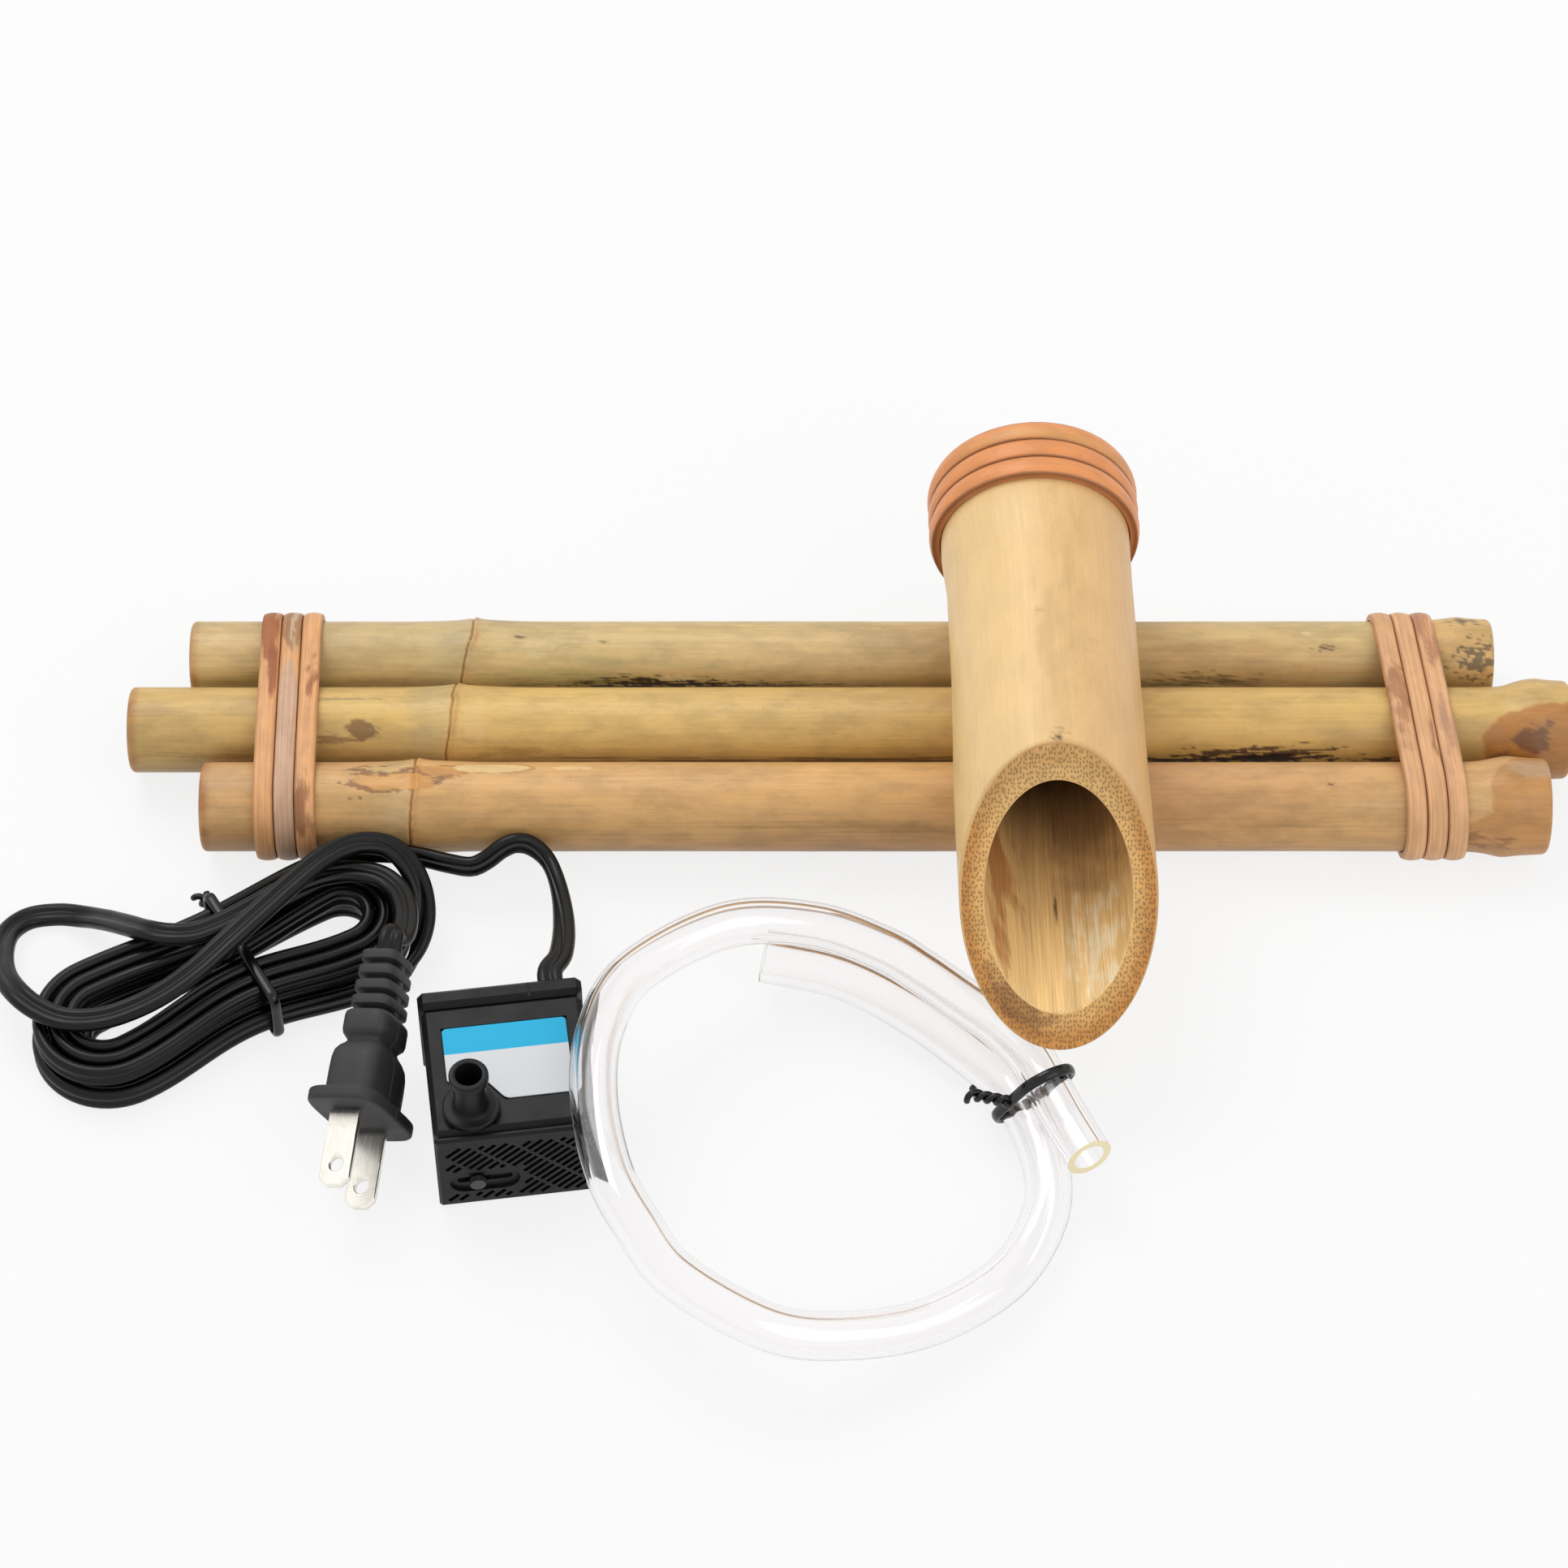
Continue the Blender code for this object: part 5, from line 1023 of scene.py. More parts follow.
def build_arms(pivot: "SpoutPivot") -> list[Object]:
    """Makes the three arms, with the peg's hole in the middle one.

    Args:
        pivot: Frame of the spout's peg.

    Returns:
        The arms' objects, from back to front.
    """
    back = Culm("arm_back", 0, -126.2, 276.8, (58.9, 268.2), 0.2, 1.6, Slot.GREEN_TAN, "D3B67C", "A98F58", (
        ColourPatch((8, 20), (20, 70), "E8C288", 0.6, 0.9, 0.3, 3.0, 38),
        ColourPatch((138, 40), (34, 50), "E6C58A", 0.6, 0.9, 0.4, 4.0, 39),
        ColourPatch((228, 45), (40, 50), "C0955F", 0.6, 0.9, 0.4, 4.0, 31),
        ColourPatch((22, 70), (24, 16), "A39056", 0.5, 0.9, 0.5, 5.0, 20),
        ColourPatch((84, 62), (26, 24), "B3AA70", 0.55, 0.9, 0.5, 4.0, 24),
        ColourPatch((74, 22), (8, 12), "E2CB94", 0.5, 0.4, 0.7, 7.0, 25),
        ColourPatch((90, 78), (22, 15), "8C7B44", 0.75, 0.9, 0.7, 6.0, 22),
        ColourPatch((98, 80), (13, 13), "2E2414", 0.95, 0.35, 0.7, 9.0, 21),
        ColourPatch((113, 84), (9, 9), "33281A", 0.9, 0.4, 0.8, 9.0, 32),
        ColourPatch((126, 84), (16, 8), "54452A", 0.7, 0.8, 0.8, 8.0, 23),
        ColourPatch((104, 70), (3.2, 6), "E3C894", 0.8, 0.3, 0.6, 5.0, 26),
        ColourPatch((70.2, 4), (1.2, 3.5), "6A3F22", 0.9, 0.5, 0.4, 3.0, 33),
        ColourPatch((88, 12), (1.4, 4), "7C6A3A", 0.7, 0.6, 0.5, 4.0, 34),
        ColourPatch((216, 72), (9, 12), "6A5A34", 0.75, 0.8, 0.9, 9.0, 27),
        ColourPatch((208, 80), (20, 9), "7C6A40", 0.55, 0.9, 0.8, 8.0, 35),
        ColourPatch((241, 22), (2.0, 5), "5A4628", 0.8, 0.6, 0.8, 6.0, 28),
        ColourPatch((237, -4), (1.3, 3.5), "E7CF9C", 0.8, 0.5, 0.4, 3.0, 36),
        ColourPatch((270, 30), (8.5, 150), "D4A868", 0.75, 0.12, 0.16, 3.0, 29),
        ColourPatch((273, 40), (4, 24), "4E4128", 0.8, 0.5, 1.0, 9.0, 30),
        ColourPatch((271, -28), (3, 10), "4E4128", 0.8, 0.5, 0.9, 8.0, 37)), seed=3)
    middle = Culm("arm_middle", 1, -137.6, 302.6, (67.9, 294.6), 1.1, 0.7, Slot.OCHRE, "D5B06A", "9E7A40", (
        ColourPatch((20, 76), (20, 12), "8C7038", 0.5, 0.9, 0.5, 5.0, 40),
        ColourPatch((49.5, 38), (4.6, 15), "7F5C34", 0.85, 0.35, 0.45, 4.0, 41),
        ColourPatch((43.0, 52), (5.4, 8), "8E6C40", 0.75, 0.5, 0.6, 5.0, 42),
        ColourPatch((41, -8), (14, 5), "8C7A58", 0.6, 0.8, 0.7, 7.0, 43),
        ColourPatch((72.5, 30), (2.4, 40), "E0BC80", 0.6, 0.5, 0.4, 4.0, 51),
        ColourPatch((82, 70), (10, 10), "A27844", 0.5, 0.9, 0.6, 5.0, 52),
        # Painted shade: a long dark band low on the front side, in the gap over the front arm.
        ColourPatch((150, 84), (64, 7), "54391E", 0.75, 0.6, 0.6, 8.0, 47),
        ColourPatch((238, 74), (15, 11), "46302A", 0.9, 0.4, 0.9, 9.0, 46),
        ColourPatch((222, 83), (15, 6), "231713", 0.95, 0.4, 0.5, 7.0, 45),
        ColourPatch((239, 80), (11, 9), "2A1B1A", 0.95, 0.35, 0.7, 8.0, 44),
        ColourPatch((263, 84), (5, 6), "34241C", 0.85, 0.5, 0.6, 6.0, 53),
        ColourPatch((110, 12), (70, 34), "DEB978", 0.5, 0.9, 0.3, 3.0, 50),
        ColourPatch((289, 62), (10, 34), "CFA866", 0.9, 0.06, 0.14, 3.0, 54),
        ColourPatch((299, 60), (15.5, 60), "B67B40", 0.92, 0.08, 0.13, 3.0, 48),
        ColourPatch((294.5, 50), (4.4, 19), "6D4934", 0.8, 0.35, 0.4, 4.0, 49),
        ColourPatch((290, 74), (5, 8), "7D5638", 0.7, 0.5, 0.5, 5.0, 55)), seed=5)
    front = Culm("arm_front", 2, -121.0, 279.7, (44.2, 271.0), 0.5, 0.3, Slot.TAN, "D6A76D", "A87D4B", (
        ColourPatch((214, 40), (52, 60), "B98B58", 0.55, 0.9, 0.4, 4.0, 80),
        ColourPatch((30, 30), (11, 18), "CDA468", 0.5, 0.4, 0.4, 4.0, 66),
        ColourPatch((20, 88), (20, 22), "9E7C48", 0.5, 0.8, 0.5, 4.0, 72),
        ColourPatch((41, 5), (10.5, 14), "8F6234", 0.9, 0.05, 0.22, 3.0, 59),
        ColourPatch((41.3, 4), (9.8, 12.3), "D79E58", 0.95, 0.08, 0.22, 3.0, 61),
        ColourPatch((50, -14), (6.4, 12), "A9713C", 0.85, 0.1, 0.3, 4.0, 63),
        ColourPatch((50.6, -13), (5.6, 10.5), "D39A56", 0.9, 0.15, 0.3, 4.0, 58),
        ColourPatch((37, -16), (5.8, 10), "8A6238", 0.85, 0.15, 0.5, 5.0, 62),
        ColourPatch((38.4, -18), (4.2, 7), "E0BC7E", 0.8, 0.2, 0.5, 5.0, 57),
        ColourPatch((60.5, -22), (8.8, 13), "B98850", 0.85, 0.06, 0.06, 2.0, 64),
        ColourPatch((60.5, -22), (8.3, 12), "EBC88A", 0.95, 0.06, 0.06, 2.0, 73),
        ColourPatch((77, -22), (4.4, 5), "EBC88A", 0.9, 0.12, 0.06, 2.0, 65),
        ColourPatch((29, 6), (0.7, 2.0), "6E4A28", 0.9, 0.5, 0.3, 3.0, 74),
        ColourPatch((33.5, 26), (0.6, 2.2), "6E4A28", 0.9, 0.5, 0.3, 3.0, 75),
        ColourPatch((31.5, 27), (0.5, 2.0), "6E4A28", 0.8, 0.5, 0.3, 3.0, 76),
        ColourPatch((234, 8), (0.9, 2.6), "5E3E22", 0.85, 0.5, 0.4, 3.0, 77),
        ColourPatch((252, 36), (28, 34), "BFA67A", 0.35, 0.9, 0.3, 3.0, 78),
        ColourPatch((282, 88), (25, 58), "C08B50", 0.93, 0.05, 0.07, 2.0, 68),
        ColourPatch((278, 22), (11.0, 70), "C08B50", 0.93, 0.05, 0.06, 2.0, 79),
        ColourPatch((262, 84), (9, 16), "8A5C38", 0.7, 0.5, 0.6, 5.0, 69),
        ColourPatch((276, -16), (5.5, 18), "C9A27C", 0.8, 0.15, 0.2, 3.0, 71),
        ColourPatch((150, 66), (90, 12), "A07C4E", 0.4, 0.9, 0.7, 7.0, 70)), seed=7)
    made = []
    for culm in (back, middle, front):
        arm = culm.build()
        if culm is middle:
            carve(arm, [pivot.post("peg_hole", pivot.hole)])
        made.append(settle(arm, culm.slot, Body.BASE, culm.name))
    return made


@dataclass
class SpoutPivot:
    """Frame on top of the middle arm: across, up out of the arms, and ahead to the mouth.

    The arm's hole and the spout's socket are given by their ends on the peg's axis.
    """

    x: float = 53.1
    yaw: float = radians(1.0)
    hole_radius: float = 3.3
    hole: tuple[float, float] = (-17.2, 4.0)
    socket: tuple[float, float] = (-4.0, 3.6)

    def __post_init__(self) -> None:
        """Works the frame out from the arms' circles."""
        _, middle, front = Layout.arm_circles()
        tilt = tangent_angle(middle, front)
        up = Vector((0, cos(tilt), sin(tilt)))
        ahead = Vector((0, -sin(tilt), cos(tilt)))
        ahead.rotate(Matrix.Rotation(self.yaw, 3, up))
        self.seat = np.array([self.x, middle[0], middle[1]]) + np.array(up) * middle[2]
        self.axes = np.array([up.cross(ahead), up, ahead])

    def out(self, points: Array) -> Array:
        """Layout places of points (across, up, ahead)."""
        return self.seat + np.asarray(points, float) @ self.axes

    def post(self, name: str, ends: tuple[float, float]) -> Object:
        """A round cutter on the pivot's axis, between two ends."""
        low, high = (self.out((0, end, 0)) for end in ends)
        return post(name, low, high, self.hole_radius).make([Finishes.CUT.make()])


@dataclass
class SpoutTube:
    """The thick culm: skin, slanted mouth, bore and closed back end, by angle and length.

    Its lengths run from the back end; the mouth's plane meets the axis at length - mouth / 2, and
    at height h above the axis it is cut back by h·mouth / diameter.

    Attributes:
        mouth: Length of the slanted cut.
        back: Thickness of the closed back end.
        rounding: Radius of the back edge.
        edge: Radius of the mouth's outer edge.
        lip: Width of the mouth's softened inner edge.
        inlet: Radius of the water inlet.
        waist: How far it is waisted.
        bow: How far it is bowed aside.
        sides: Number of columns round it.
    """

    pivot: SpoutPivot
    diameter: float = 39.5
    wall: float = 5.0
    length: float = 134.6
    mouth: float = 46.4
    behind_peg: float = 43.6
    back: float = 6.0
    rounding: float = 2.6
    edge: float = 0.45
    lip: float = 0.3
    lip_depth: float = 0.35
    inlet: float = 5.15
    waist: float = 0.45
    bow: float = 0.35
    sides: int = 192

    def __post_init__(self) -> None:
        """Works out its outer and inner radius and the angles of its columns."""
        self.radius = self.diameter / 2
        self.bore = self.radius - self.wall
        self.turn = np.linspace(-pi, pi, self.sides + 1)

    def end_at(self, radius: Array | float, turn: Array) -> Array:
        """Length at which the mouth's plane cuts a line at a radius and an angle from the top."""
        return self.length - self.mouth / 2 - radius * np.cos(turn) * self.mouth / self.diameter

    def place(self, radius: Array, turn: Array, along: Array) -> tuple[Array, Array]:
        """Layout points and grain coordinates of points given by radius, angle and length.

        Between the wrap and the mouth the culm is a little waisted and bowed aside, as it grew, and
        lies as low as before.

        Args:
            radius: Distances from the axis.
            turn: Angles in radians from the top to the right.
            along: Places from the back end.

        Returns:
            Layout points and grain coordinates.
        """
        share = smoothstep((along - 19.5) / 12) * (1 - smoothstep((along - 46) / 44))
        radius = radius - self.waist * share
        across, up = radius * np.sin(turn), radius * np.cos(turn)
        ahead = np.broadcast_to(along, across.shape)
        height = up - self.waist * share + SEAT_GAP + self.radius
        local = np.stack([across + self.bow * share, height, ahead - self.behind_peg], axis=-1)
        return self.pivot.out(local), np.stack([ahead, across, up], axis=-1)

    def skin_tones(self, turn: Array, along: Array) -> Array:
        """Pale straw on the left as painted light, deeper on the right as painted shade, with soft brown
        clouds and a few specks.

        Args:
            turn: Angles in radians from the top to the right.
            along: Places from the back end.

        Returns:
            A linear colour for each.
        """
        # Painted light and shade: the left side is paler and the right side deeper.
        side = smoothstep(0.5 + 0.5 * np.sin(turn))[..., None]
        tone = linear("F3CF92") * (1 - side) + linear("E3B67B") * side
        degrees = np.degrees(turn)
        tone = tone * (1 + 0.04 * ripple(along / 12, degrees / 26, 82)[..., None])
        for colour_patch in (
            ColourPatch((55, 4), (26, 16), "C9A470", 0.5, 0.9, 0.5, 4.0, 83),
            ColourPatch((34, 20), (14, 14), "D9AE70", 0.5, 0.9, 0.5, 4.0, 84),
            ColourPatch((85.5, 2), (1.8, 5), "9A7A4E", 0.5, 0.8, 0.9, 7.0, 85),
            ColourPatch((87.0, 1), (0.9, 3.0), "453524", 0.9, 0.5, 0.5, 5.0, 86),
            ColourPatch((60, 26), (3, 6), "C9A26A", 0.35, 0.8, 0.8, 6.0, 87),
            ColourPatch((52, -6), (1.2, 3), "A07E50", 0.4, 0.8, 0.8, 6.0, 88),
        ):
            tone = colour_patch.lay(tone, along, degrees)
        to_mouth = self.end_at(self.radius, turn) - along
        rim = 0.5 * smoothstep(1 - to_mouth / 1.6)[..., None]
        return tone * (1 - rim) + linear("C08A4C") * rim

    def build(self) -> Object:
        """Makes the tube as six grids that close on each other, less the peg's socket.

        Returns:
            The spout's object.
        """
        shell = Shell("spout_culm")
        self.add_skin(shell)
        self.add_face(shell)
        self.add_bore(shell)
        self.add_back(shell)
        made = shell.make([Finishes.SPOUT_SKIN.make(), Finishes.CUT.make(), Finishes.BORE.make()], 40)
        carve(made, [self.pivot.post("peg_socket", self.pivot.socket)])
        return settle(made, Slot.PALE, Body.SPOUT, "spout_tube")

    def add_skin(self, shell: Shell) -> None:
        """The outside: a quarter circle at the back, the skin, and a small one onto the mouth.

        Args:
            shell: The spout's surfaces.
        """
        level = np.zeros_like(self.turn)
        quarter = np.linspace(0, pi / 2, 8)[:, None]
        arc = np.linspace(0, pi / 2, 6)[1:, None]
        share = np.linspace(0, 1, 150)[1:, None]
        end = self.end_at(self.radius, self.turn)
        last = end - self.edge
        along = np.concatenate([self.rounding * (1 - np.cos(quarter)) + level,
                                self.rounding + (last - self.rounding) * share,
                                last + self.edge * np.sin(arc)])
        radii = np.concatenate([self.radius - self.rounding * (1 - np.sin(quarter)) + level,
                                self.radius + level + 0 * share,
                                self.radius - self.edge * (1 - np.cos(arc)) + level])
        calm = smoothstep(along / 20) * smoothstep((end - along) / 10)
        wander = 0.1 * ripple(along / 30, 2 * np.cos(self.turn), 81) * calm
        around = np.broadcast_to(self.turn, along.shape)
        points, grain = self.place(radii + wander, around, along)
        shell.add(points, 0, grain, self.skin_tones(around, along))

    def add_face(self, shell: Shell) -> None:
        """The mouth's cut face: rings from the rounded edge in to the bore, all in one plane.

        Args:
            shell: The spout's surfaces.
        """
        share = np.linspace(0, 1, 14)[:, None]
        outer, inner = self.radius - self.edge, self.bore + self.lip
        radii = outer * (1 - share) + inner * share + np.zeros_like(self.turn)
        around = np.broadcast_to(self.turn, radii.shape)
        along = np.where(share > 0, self.end_at(radii, around), self.end_at(self.radius, self.turn))
        points, grain = self.place(radii, around, along)
        pale = smoothstep(share * 1.4 - 0.25)[..., None]
        top = smoothstep((np.cos(around) - 0.3) / 0.6)[..., None]
        tone = linear("C3863F") * (1 - pale) + linear("DFAC66") * pale
        tone = tone * (1 - 0.6 * top) + linear("CAA466") * 0.6 * top
        for colour_patch in (
            ColourPatch((-150, 17), (26, 5), "7E4E22", 0.7, 0.8, 0.5, 4.0, 91),
            ColourPatch((100, 17), (14, 4), "8F5F2C", 0.2, 0.8, 0.6, 5.0, 92),
        ):
            tone = colour_patch.lay(tone, np.degrees(around), radii)
        shell.add(points, 1, grain[..., [1, 2, 0]], tone)

    def add_bore(self, shell: Shell) -> None:
        """The bore from its softened rim to the closed back, whose tones darken with depth as painted shade.

        Args:
            shell: The spout's surfaces.
        """
        rim = self.end_at(self.bore + self.lip, self.turn)
        inner = self.end_at(self.bore, self.turn) - self.lip_depth
        share = np.linspace(0, 1, 90)[1:, None]
        share[0] = 0
        along = np.concatenate([rim[None], inner + (self.back - inner) * share])
        radii = np.full(along.shape, self.bore)
        radii[0] += self.lip
        around = np.broadcast_to(self.turn, along.shape)
        radii = radii + 0.1 * ripple(2 * around, along / 40, 95) * smoothstep((rim - along) / 12)
        radii[-1] = self.bore
        points, grain = self.place(radii, around, along)
        # Painted shade: the bore darkens to deep brown towards the closed back.
        bore_shade = smoothstep((self.length - 38 - along) / 34)[..., None]
        degrees = np.degrees(around)
        tone = linear("F0C684") * (1 - bore_shade) + linear("4E2B13") * bore_shade
        for colour_patch in (
            ColourPatch((98, -128), (22, 30), "B06E36", 0.75, 0.7, 0.5, 5.0, 96),
            ColourPatch((88, 160), (16, 70), "A07C56", 0.5, 0.9, 0.6, 5.0, 97),
            ColourPatch((103, 179), (3.2, 2.2), "4A3020", 0.9, 0.6, 0.5, 5.0, 98),
            ColourPatch((114, 146), (14, 24), "FBE9C0", 0.75, 0.8, 0.9, 9.0, 99),
        ):
            tone = colour_patch.lay(tone, along, degrees)
        shell.add(points, 2, grain, tone)

    def add_back(self, shell: Shell) -> None:
        """The closed back end: its inner face and the inlet through it, dark brown as painted shade, and its
        outer face.

        Args:
            shell: The spout's surfaces.
        """
        steps = np.linspace(0, 1, 12)[:, None]
        around = np.broadcast_to(self.turn, (len(steps), len(self.turn)))
        for first, second, start, end, finish in (
            (self.bore, self.inlet, self.back, self.back, 2),
            (self.inlet, self.inlet, self.back, 0.0, 2),
            (self.inlet, self.radius - self.rounding, 0.0, 0.0, 1),
        ):
            radii = first * (1 - steps) + second * steps + np.zeros_like(self.turn)
            points, grain = self.place(radii, around, start * (1 - steps) + end * steps)
            turned = grain[..., [1, 2, 0]] if finish == 1 else grain
            # The inner face and the inlet are painted shade; the outer face keeps the cut's colour.
            shell.add(points, finish, turned, linear("5E3A20" if finish == 2 else "C49458"))


@dataclass
class Winding:
    """Rattan strip wound round circles in one plane, stepping sideways under each turn.

    Attributes:
        circles: Circles (y, z, radius) that it is pulled round, from back to front.
        first: Sideways place of the first turn's middle.
        pitch: Step from turn to turn.
        thickness: Its thickness at the crown.
        slant: Sideways lean for each mm from back to front.
        colour_patches: Patches by number of turns and place across in mm.
        crown: Share of the thickness that the crown stands above the edges.
        edge: Strength of the painted shade line along both edges, where the turns meet.
        crossing: Share of a turn, half before its start and half after, in which it steps aside.
        steps: Points in each turn.
    """

    name: str
    circles: Sequence[tuple[float, float, float]]
    first: float
    pitch: float
    width: float
    thickness: float
    slant: float
    tone: str
    colour_patches: tuple[ColourPatch, ...] = ()
    crown: float = 0.26
    edge: float = 0.25
    crossing: float = 0.3
    turns: int = 3
    steps: int = 200

    def outline(self) -> Array:
        """One loop pulled tight round the circles, from under their middle up behind the first one.

        Arcs lie on the circles that stand highest and straight lines touch two of them; the loop
        is then divided evenly.

        Returns:
            Rows of y, z and the outward direction's y and z.
        """
        circles = list(self.circles)
        kept = [circles[0]]
        for ring in circles[1:]:
            while len(kept) > 1 and tangent_angle(kept[-2], kept[-1]) > tangent_angle(kept[-1], ring):
                kept.pop()
            kept.append(ring)
        bends = [tangent_angle(a, b) for a, b in zip(kept, kept[1:])]
        rows = []
        for (y, z, radius), start, end in zip(kept, [-pi / 2] + bends, bends + [3 * pi / 2]):
            angle = np.linspace(start, end, 60)
            reach = radius + SEAT_GAP
            rows.append(np.stack([y + reach * np.cos(angle), z + reach * np.sin(angle),
                                  np.cos(angle), np.sin(angle)], axis=1))
        first, last = circles[0], circles[-1]
        bottom = np.array([[(first[0] + last[0]) / 2,
                            (first[1] - first[2] + last[1] - last[2]) / 2 - SEAT_GAP, 0.0, -1.0]])
        loop = np.concatenate([bottom, *rows, bottom])
        along = np.concatenate(([0], np.cumsum(np.linalg.norm(np.diff(loop[:, :2], axis=0), axis=1))))
        places = np.linspace(0, along[-1], self.steps + 1)[:-1]
        return np.stack([np.interp(places, along, loop[:, i]) for i in range(4)], axis=1)

    def section(self) -> Array:
        """Strip section from edge to edge: a flat underside, rounded edges and a crowned top.

        Returns:
            Points across the strip and out of it, (19, 2).
        """
        across = np.linspace(-0.47, 0.47, 11)
        top = 1 - self.crown * (2 * across) ** 2
        shoulder = [0.72 - self.crown / 2]
        u = np.concatenate([np.linspace(0.5, -0.5, 5), [-0.5], across, [0.5], [0.5]])
        v = np.concatenate([np.zeros(5), shoulder, top, shoulder, [0.0]])
        return np.stack([u * self.width, v * self.thickness], axis=1)

    def build(self, finish: Finish, body: Body, slot: Slot, place: Any = None) -> Object:
        """Carries the section round the loop for all turns.

        Args:
            finish: The strip's finish.
            body: Body that it rides on.
            slot: The record's slot.
            place: Function from its own frame to the layout, or None where they are the same.

        Returns:
            The strip's object.
        """
        outline = self.outline()
        count = self.turns * self.steps + 1
        index = np.arange(count)
        loop, spot = index // self.steps, index % self.steps
        y, z, out_y, out_z = outline[spot].T
        share = spot / self.steps
        step = np.minimum(0, share / self.crossing - 0.5) + np.maximum(0, (share - 1) / self.crossing + 0.5)
        middle = self.circles[len(self.circles) // 2][0]
        x = self.first + self.pitch * (loop + step) + self.slant * (y - middle)
        path = np.stack([x, y, z], axis=1)
        across = np.tile([1.0, 0, 0], (count, 1))
        above = unit(np.stack([0 * x, out_y, out_z], axis=1))
        section = self.section()
        rings = sweep(path, across, above, section)
        length = path_length(outline[:, :2]) / self.steps
        u = np.broadcast_to(index[:, None] * length, rings.shape[:2])
        v = np.broadcast_to(section[:, 0], rings.shape[:2])
        turn = np.broadcast_to(index[:, None] / self.steps, rings.shape[:2])
        tone = np.broadcast_to(linear(self.tone), rings.shape).copy()
        low = np.broadcast_to(section[:, 1] < 0.05 * self.thickness, rings.shape[:2])
        # Painted shade: dark lines along the strip's edges, in the creases between turns, weaker on the flat
        # underside.
        edge = (smoothstep((np.abs(v) / self.width - 0.42) / 0.07) * np.where(low, 0.3, 1.0))[..., None]
        tone = tone * (1 - self.edge * edge) + linear("7A4A2C") * self.edge * edge
        for colour_patch in self.colour_patches:
            tone = colour_patch.lay(tone, turn, v)
        grain = np.stack([u, v, np.broadcast_to(section[:, 1], u.shape)], axis=-1)
        shell = Shell(self.name + "_strip")
        if place is not None:
            rings = place(rings)
        shell.add(rings, 0, grain, tone)
        for end in (0, -1):
            ring, middle = rings[end], rings[end][:-1].mean(axis=0)
            cap = np.stack([ring, np.broadcast_to(middle, ring.shape)])
            shell.add(cap, 0, np.stack([grain[end], grain[end]]), np.stack([tone[end], tone[end]]))
        return settle(shell.make([finish.make()], 50), slot, body, self.name)


def build_windings(pivot: SpoutPivot, tube: SpoutTube) -> list[Object]:
    """Makes the two lashings of the arms and the wrap of the spout's back end.

    Args:
        pivot: Frame of the spout's peg.
        tube: The spout.

    Returns:
        The strips' objects.
    """
    circles = Layout.arm_circles()
    right_end = Layout.MIDDLE_LEFT + Layout.MIDDLE_LENGTH
    left = Winding("binding_left", circles, Layout.MIDDLE_LEFT + 29.4, 4.3, 4.1, 1.6, -0.026, "E7AA72", (
        ColourPatch((0.31, -0.4), (0.1, 2.6), "A65C2A", 0.9, 0.3, 0.35, 4.0, 101),
        ColourPatch((0.42, 0.7), (0.07, 1.3), "A35A30", 0.9, 0.4, 0.35, 3.0, 102),
        ColourPatch((1.30, 0.0), (0.09, 3.0), "A5764A", 0.9, 0.2, 0.2, 3.0, 103),
        ColourPatch((1.31, 0.5), (0.08, 0.5), "D9C2A0", 0.7, 0.6, 0.9, 8.0, 104),
        ColourPatch((1.60, 0.0), (0.22, 3.0), "D0A98C", 0.9, 0.12, 0.1, 3.0, 105),
        ColourPatch((2.45, 0.6), (0.05, 1.2), "9A5530", 0.8, 0.7, 0.6, 4.0, 106),
        ColourPatch((2.68, 0.0), (0.06, 2.6), "8F5A34", 0.8, 0.8, 0.6, 4.0, 107)))
    right = Winding("binding_right", circles, right_end - 36.3, 4.3, 4.1, 1.6, -0.068, "E6B07E", (
        ColourPatch((0.46, 0.0), (0.045, 3.0), "B07850", 0.8, 0.5, 0.5, 4.0, 111),
        ColourPatch((0.52, 0.4), (0.06, 2.2), "A9714C", 0.7, 0.7, 0.6, 4.0, 112),
        ColourPatch((2.33, 0.0), (0.07, 2.6), "B87C58", 0.75, 0.4, 0.5, 4.0, 113),
        ColourPatch((2.55, 0.2), (0.1, 2.0), "BC8A70", 0.6, 0.8, 0.6, 4.0, 114),
        ColourPatch((1.57, 1.2), (0.05, 0.8), "8E5B3A", 0.7, 0.7, 0.6, 4.0, 115)))
    made = [strip.build(Finishes.LASHING, Body.BASE, Slot.RATTAN) for strip in (left, right)]

    def on_spout(points: Array) -> Array:
        """Layout places of the wrap's own points, whose X runs along the spout."""
        along, across, up = np.moveaxis(points, -1, 0)
        return pivot.out(np.stack([across, up + SEAT_GAP + tube.radius, along - tube.behind_peg], axis=-1))

    wrap = Winding("spout_wrap", [(0.0, 0.0, tube.radius)], 4.7, 4.9, 4.82, 2.1, 0.0, "EA985A", (
        ColourPatch((0.5, 1.0), (0.3, 2.0), "DFA866", 0.6, 0.8, 0.3, 3.0, 121),
        ColourPatch((1.35, 0.0), (0.1, 1.4), "EE8F58", 0.5, 0.9, 0.5, 3.0, 122)), crown=0.3, edge=0.85, steps=240)
    made.append(wrap.build(Finishes.WRAP, Body.SPOUT, Slot.RATTAN_ORANGE, on_spout))
    return made


@dataclass
class PumpFrame:
    """The pump's own frame: X across, Y from the grille to the lid, Z up."""

    x: float = -54.65
    y: float = -86.65
    yaw: float = radians(7.5)
    depth: float = 36.9
    top: float = 23.2

    def out(self, points: Array) -> Array:
        """Layout places of points in the pump's frame."""
        right, back = (cos(self.yaw), sin(self.yaw), 0), (-sin(self.yaw), cos(self.yaw), 0)
        return np.asarray(points, float) @ np.array([right, back, (0, 0, 1)]) + (self.x, self.y, 0)


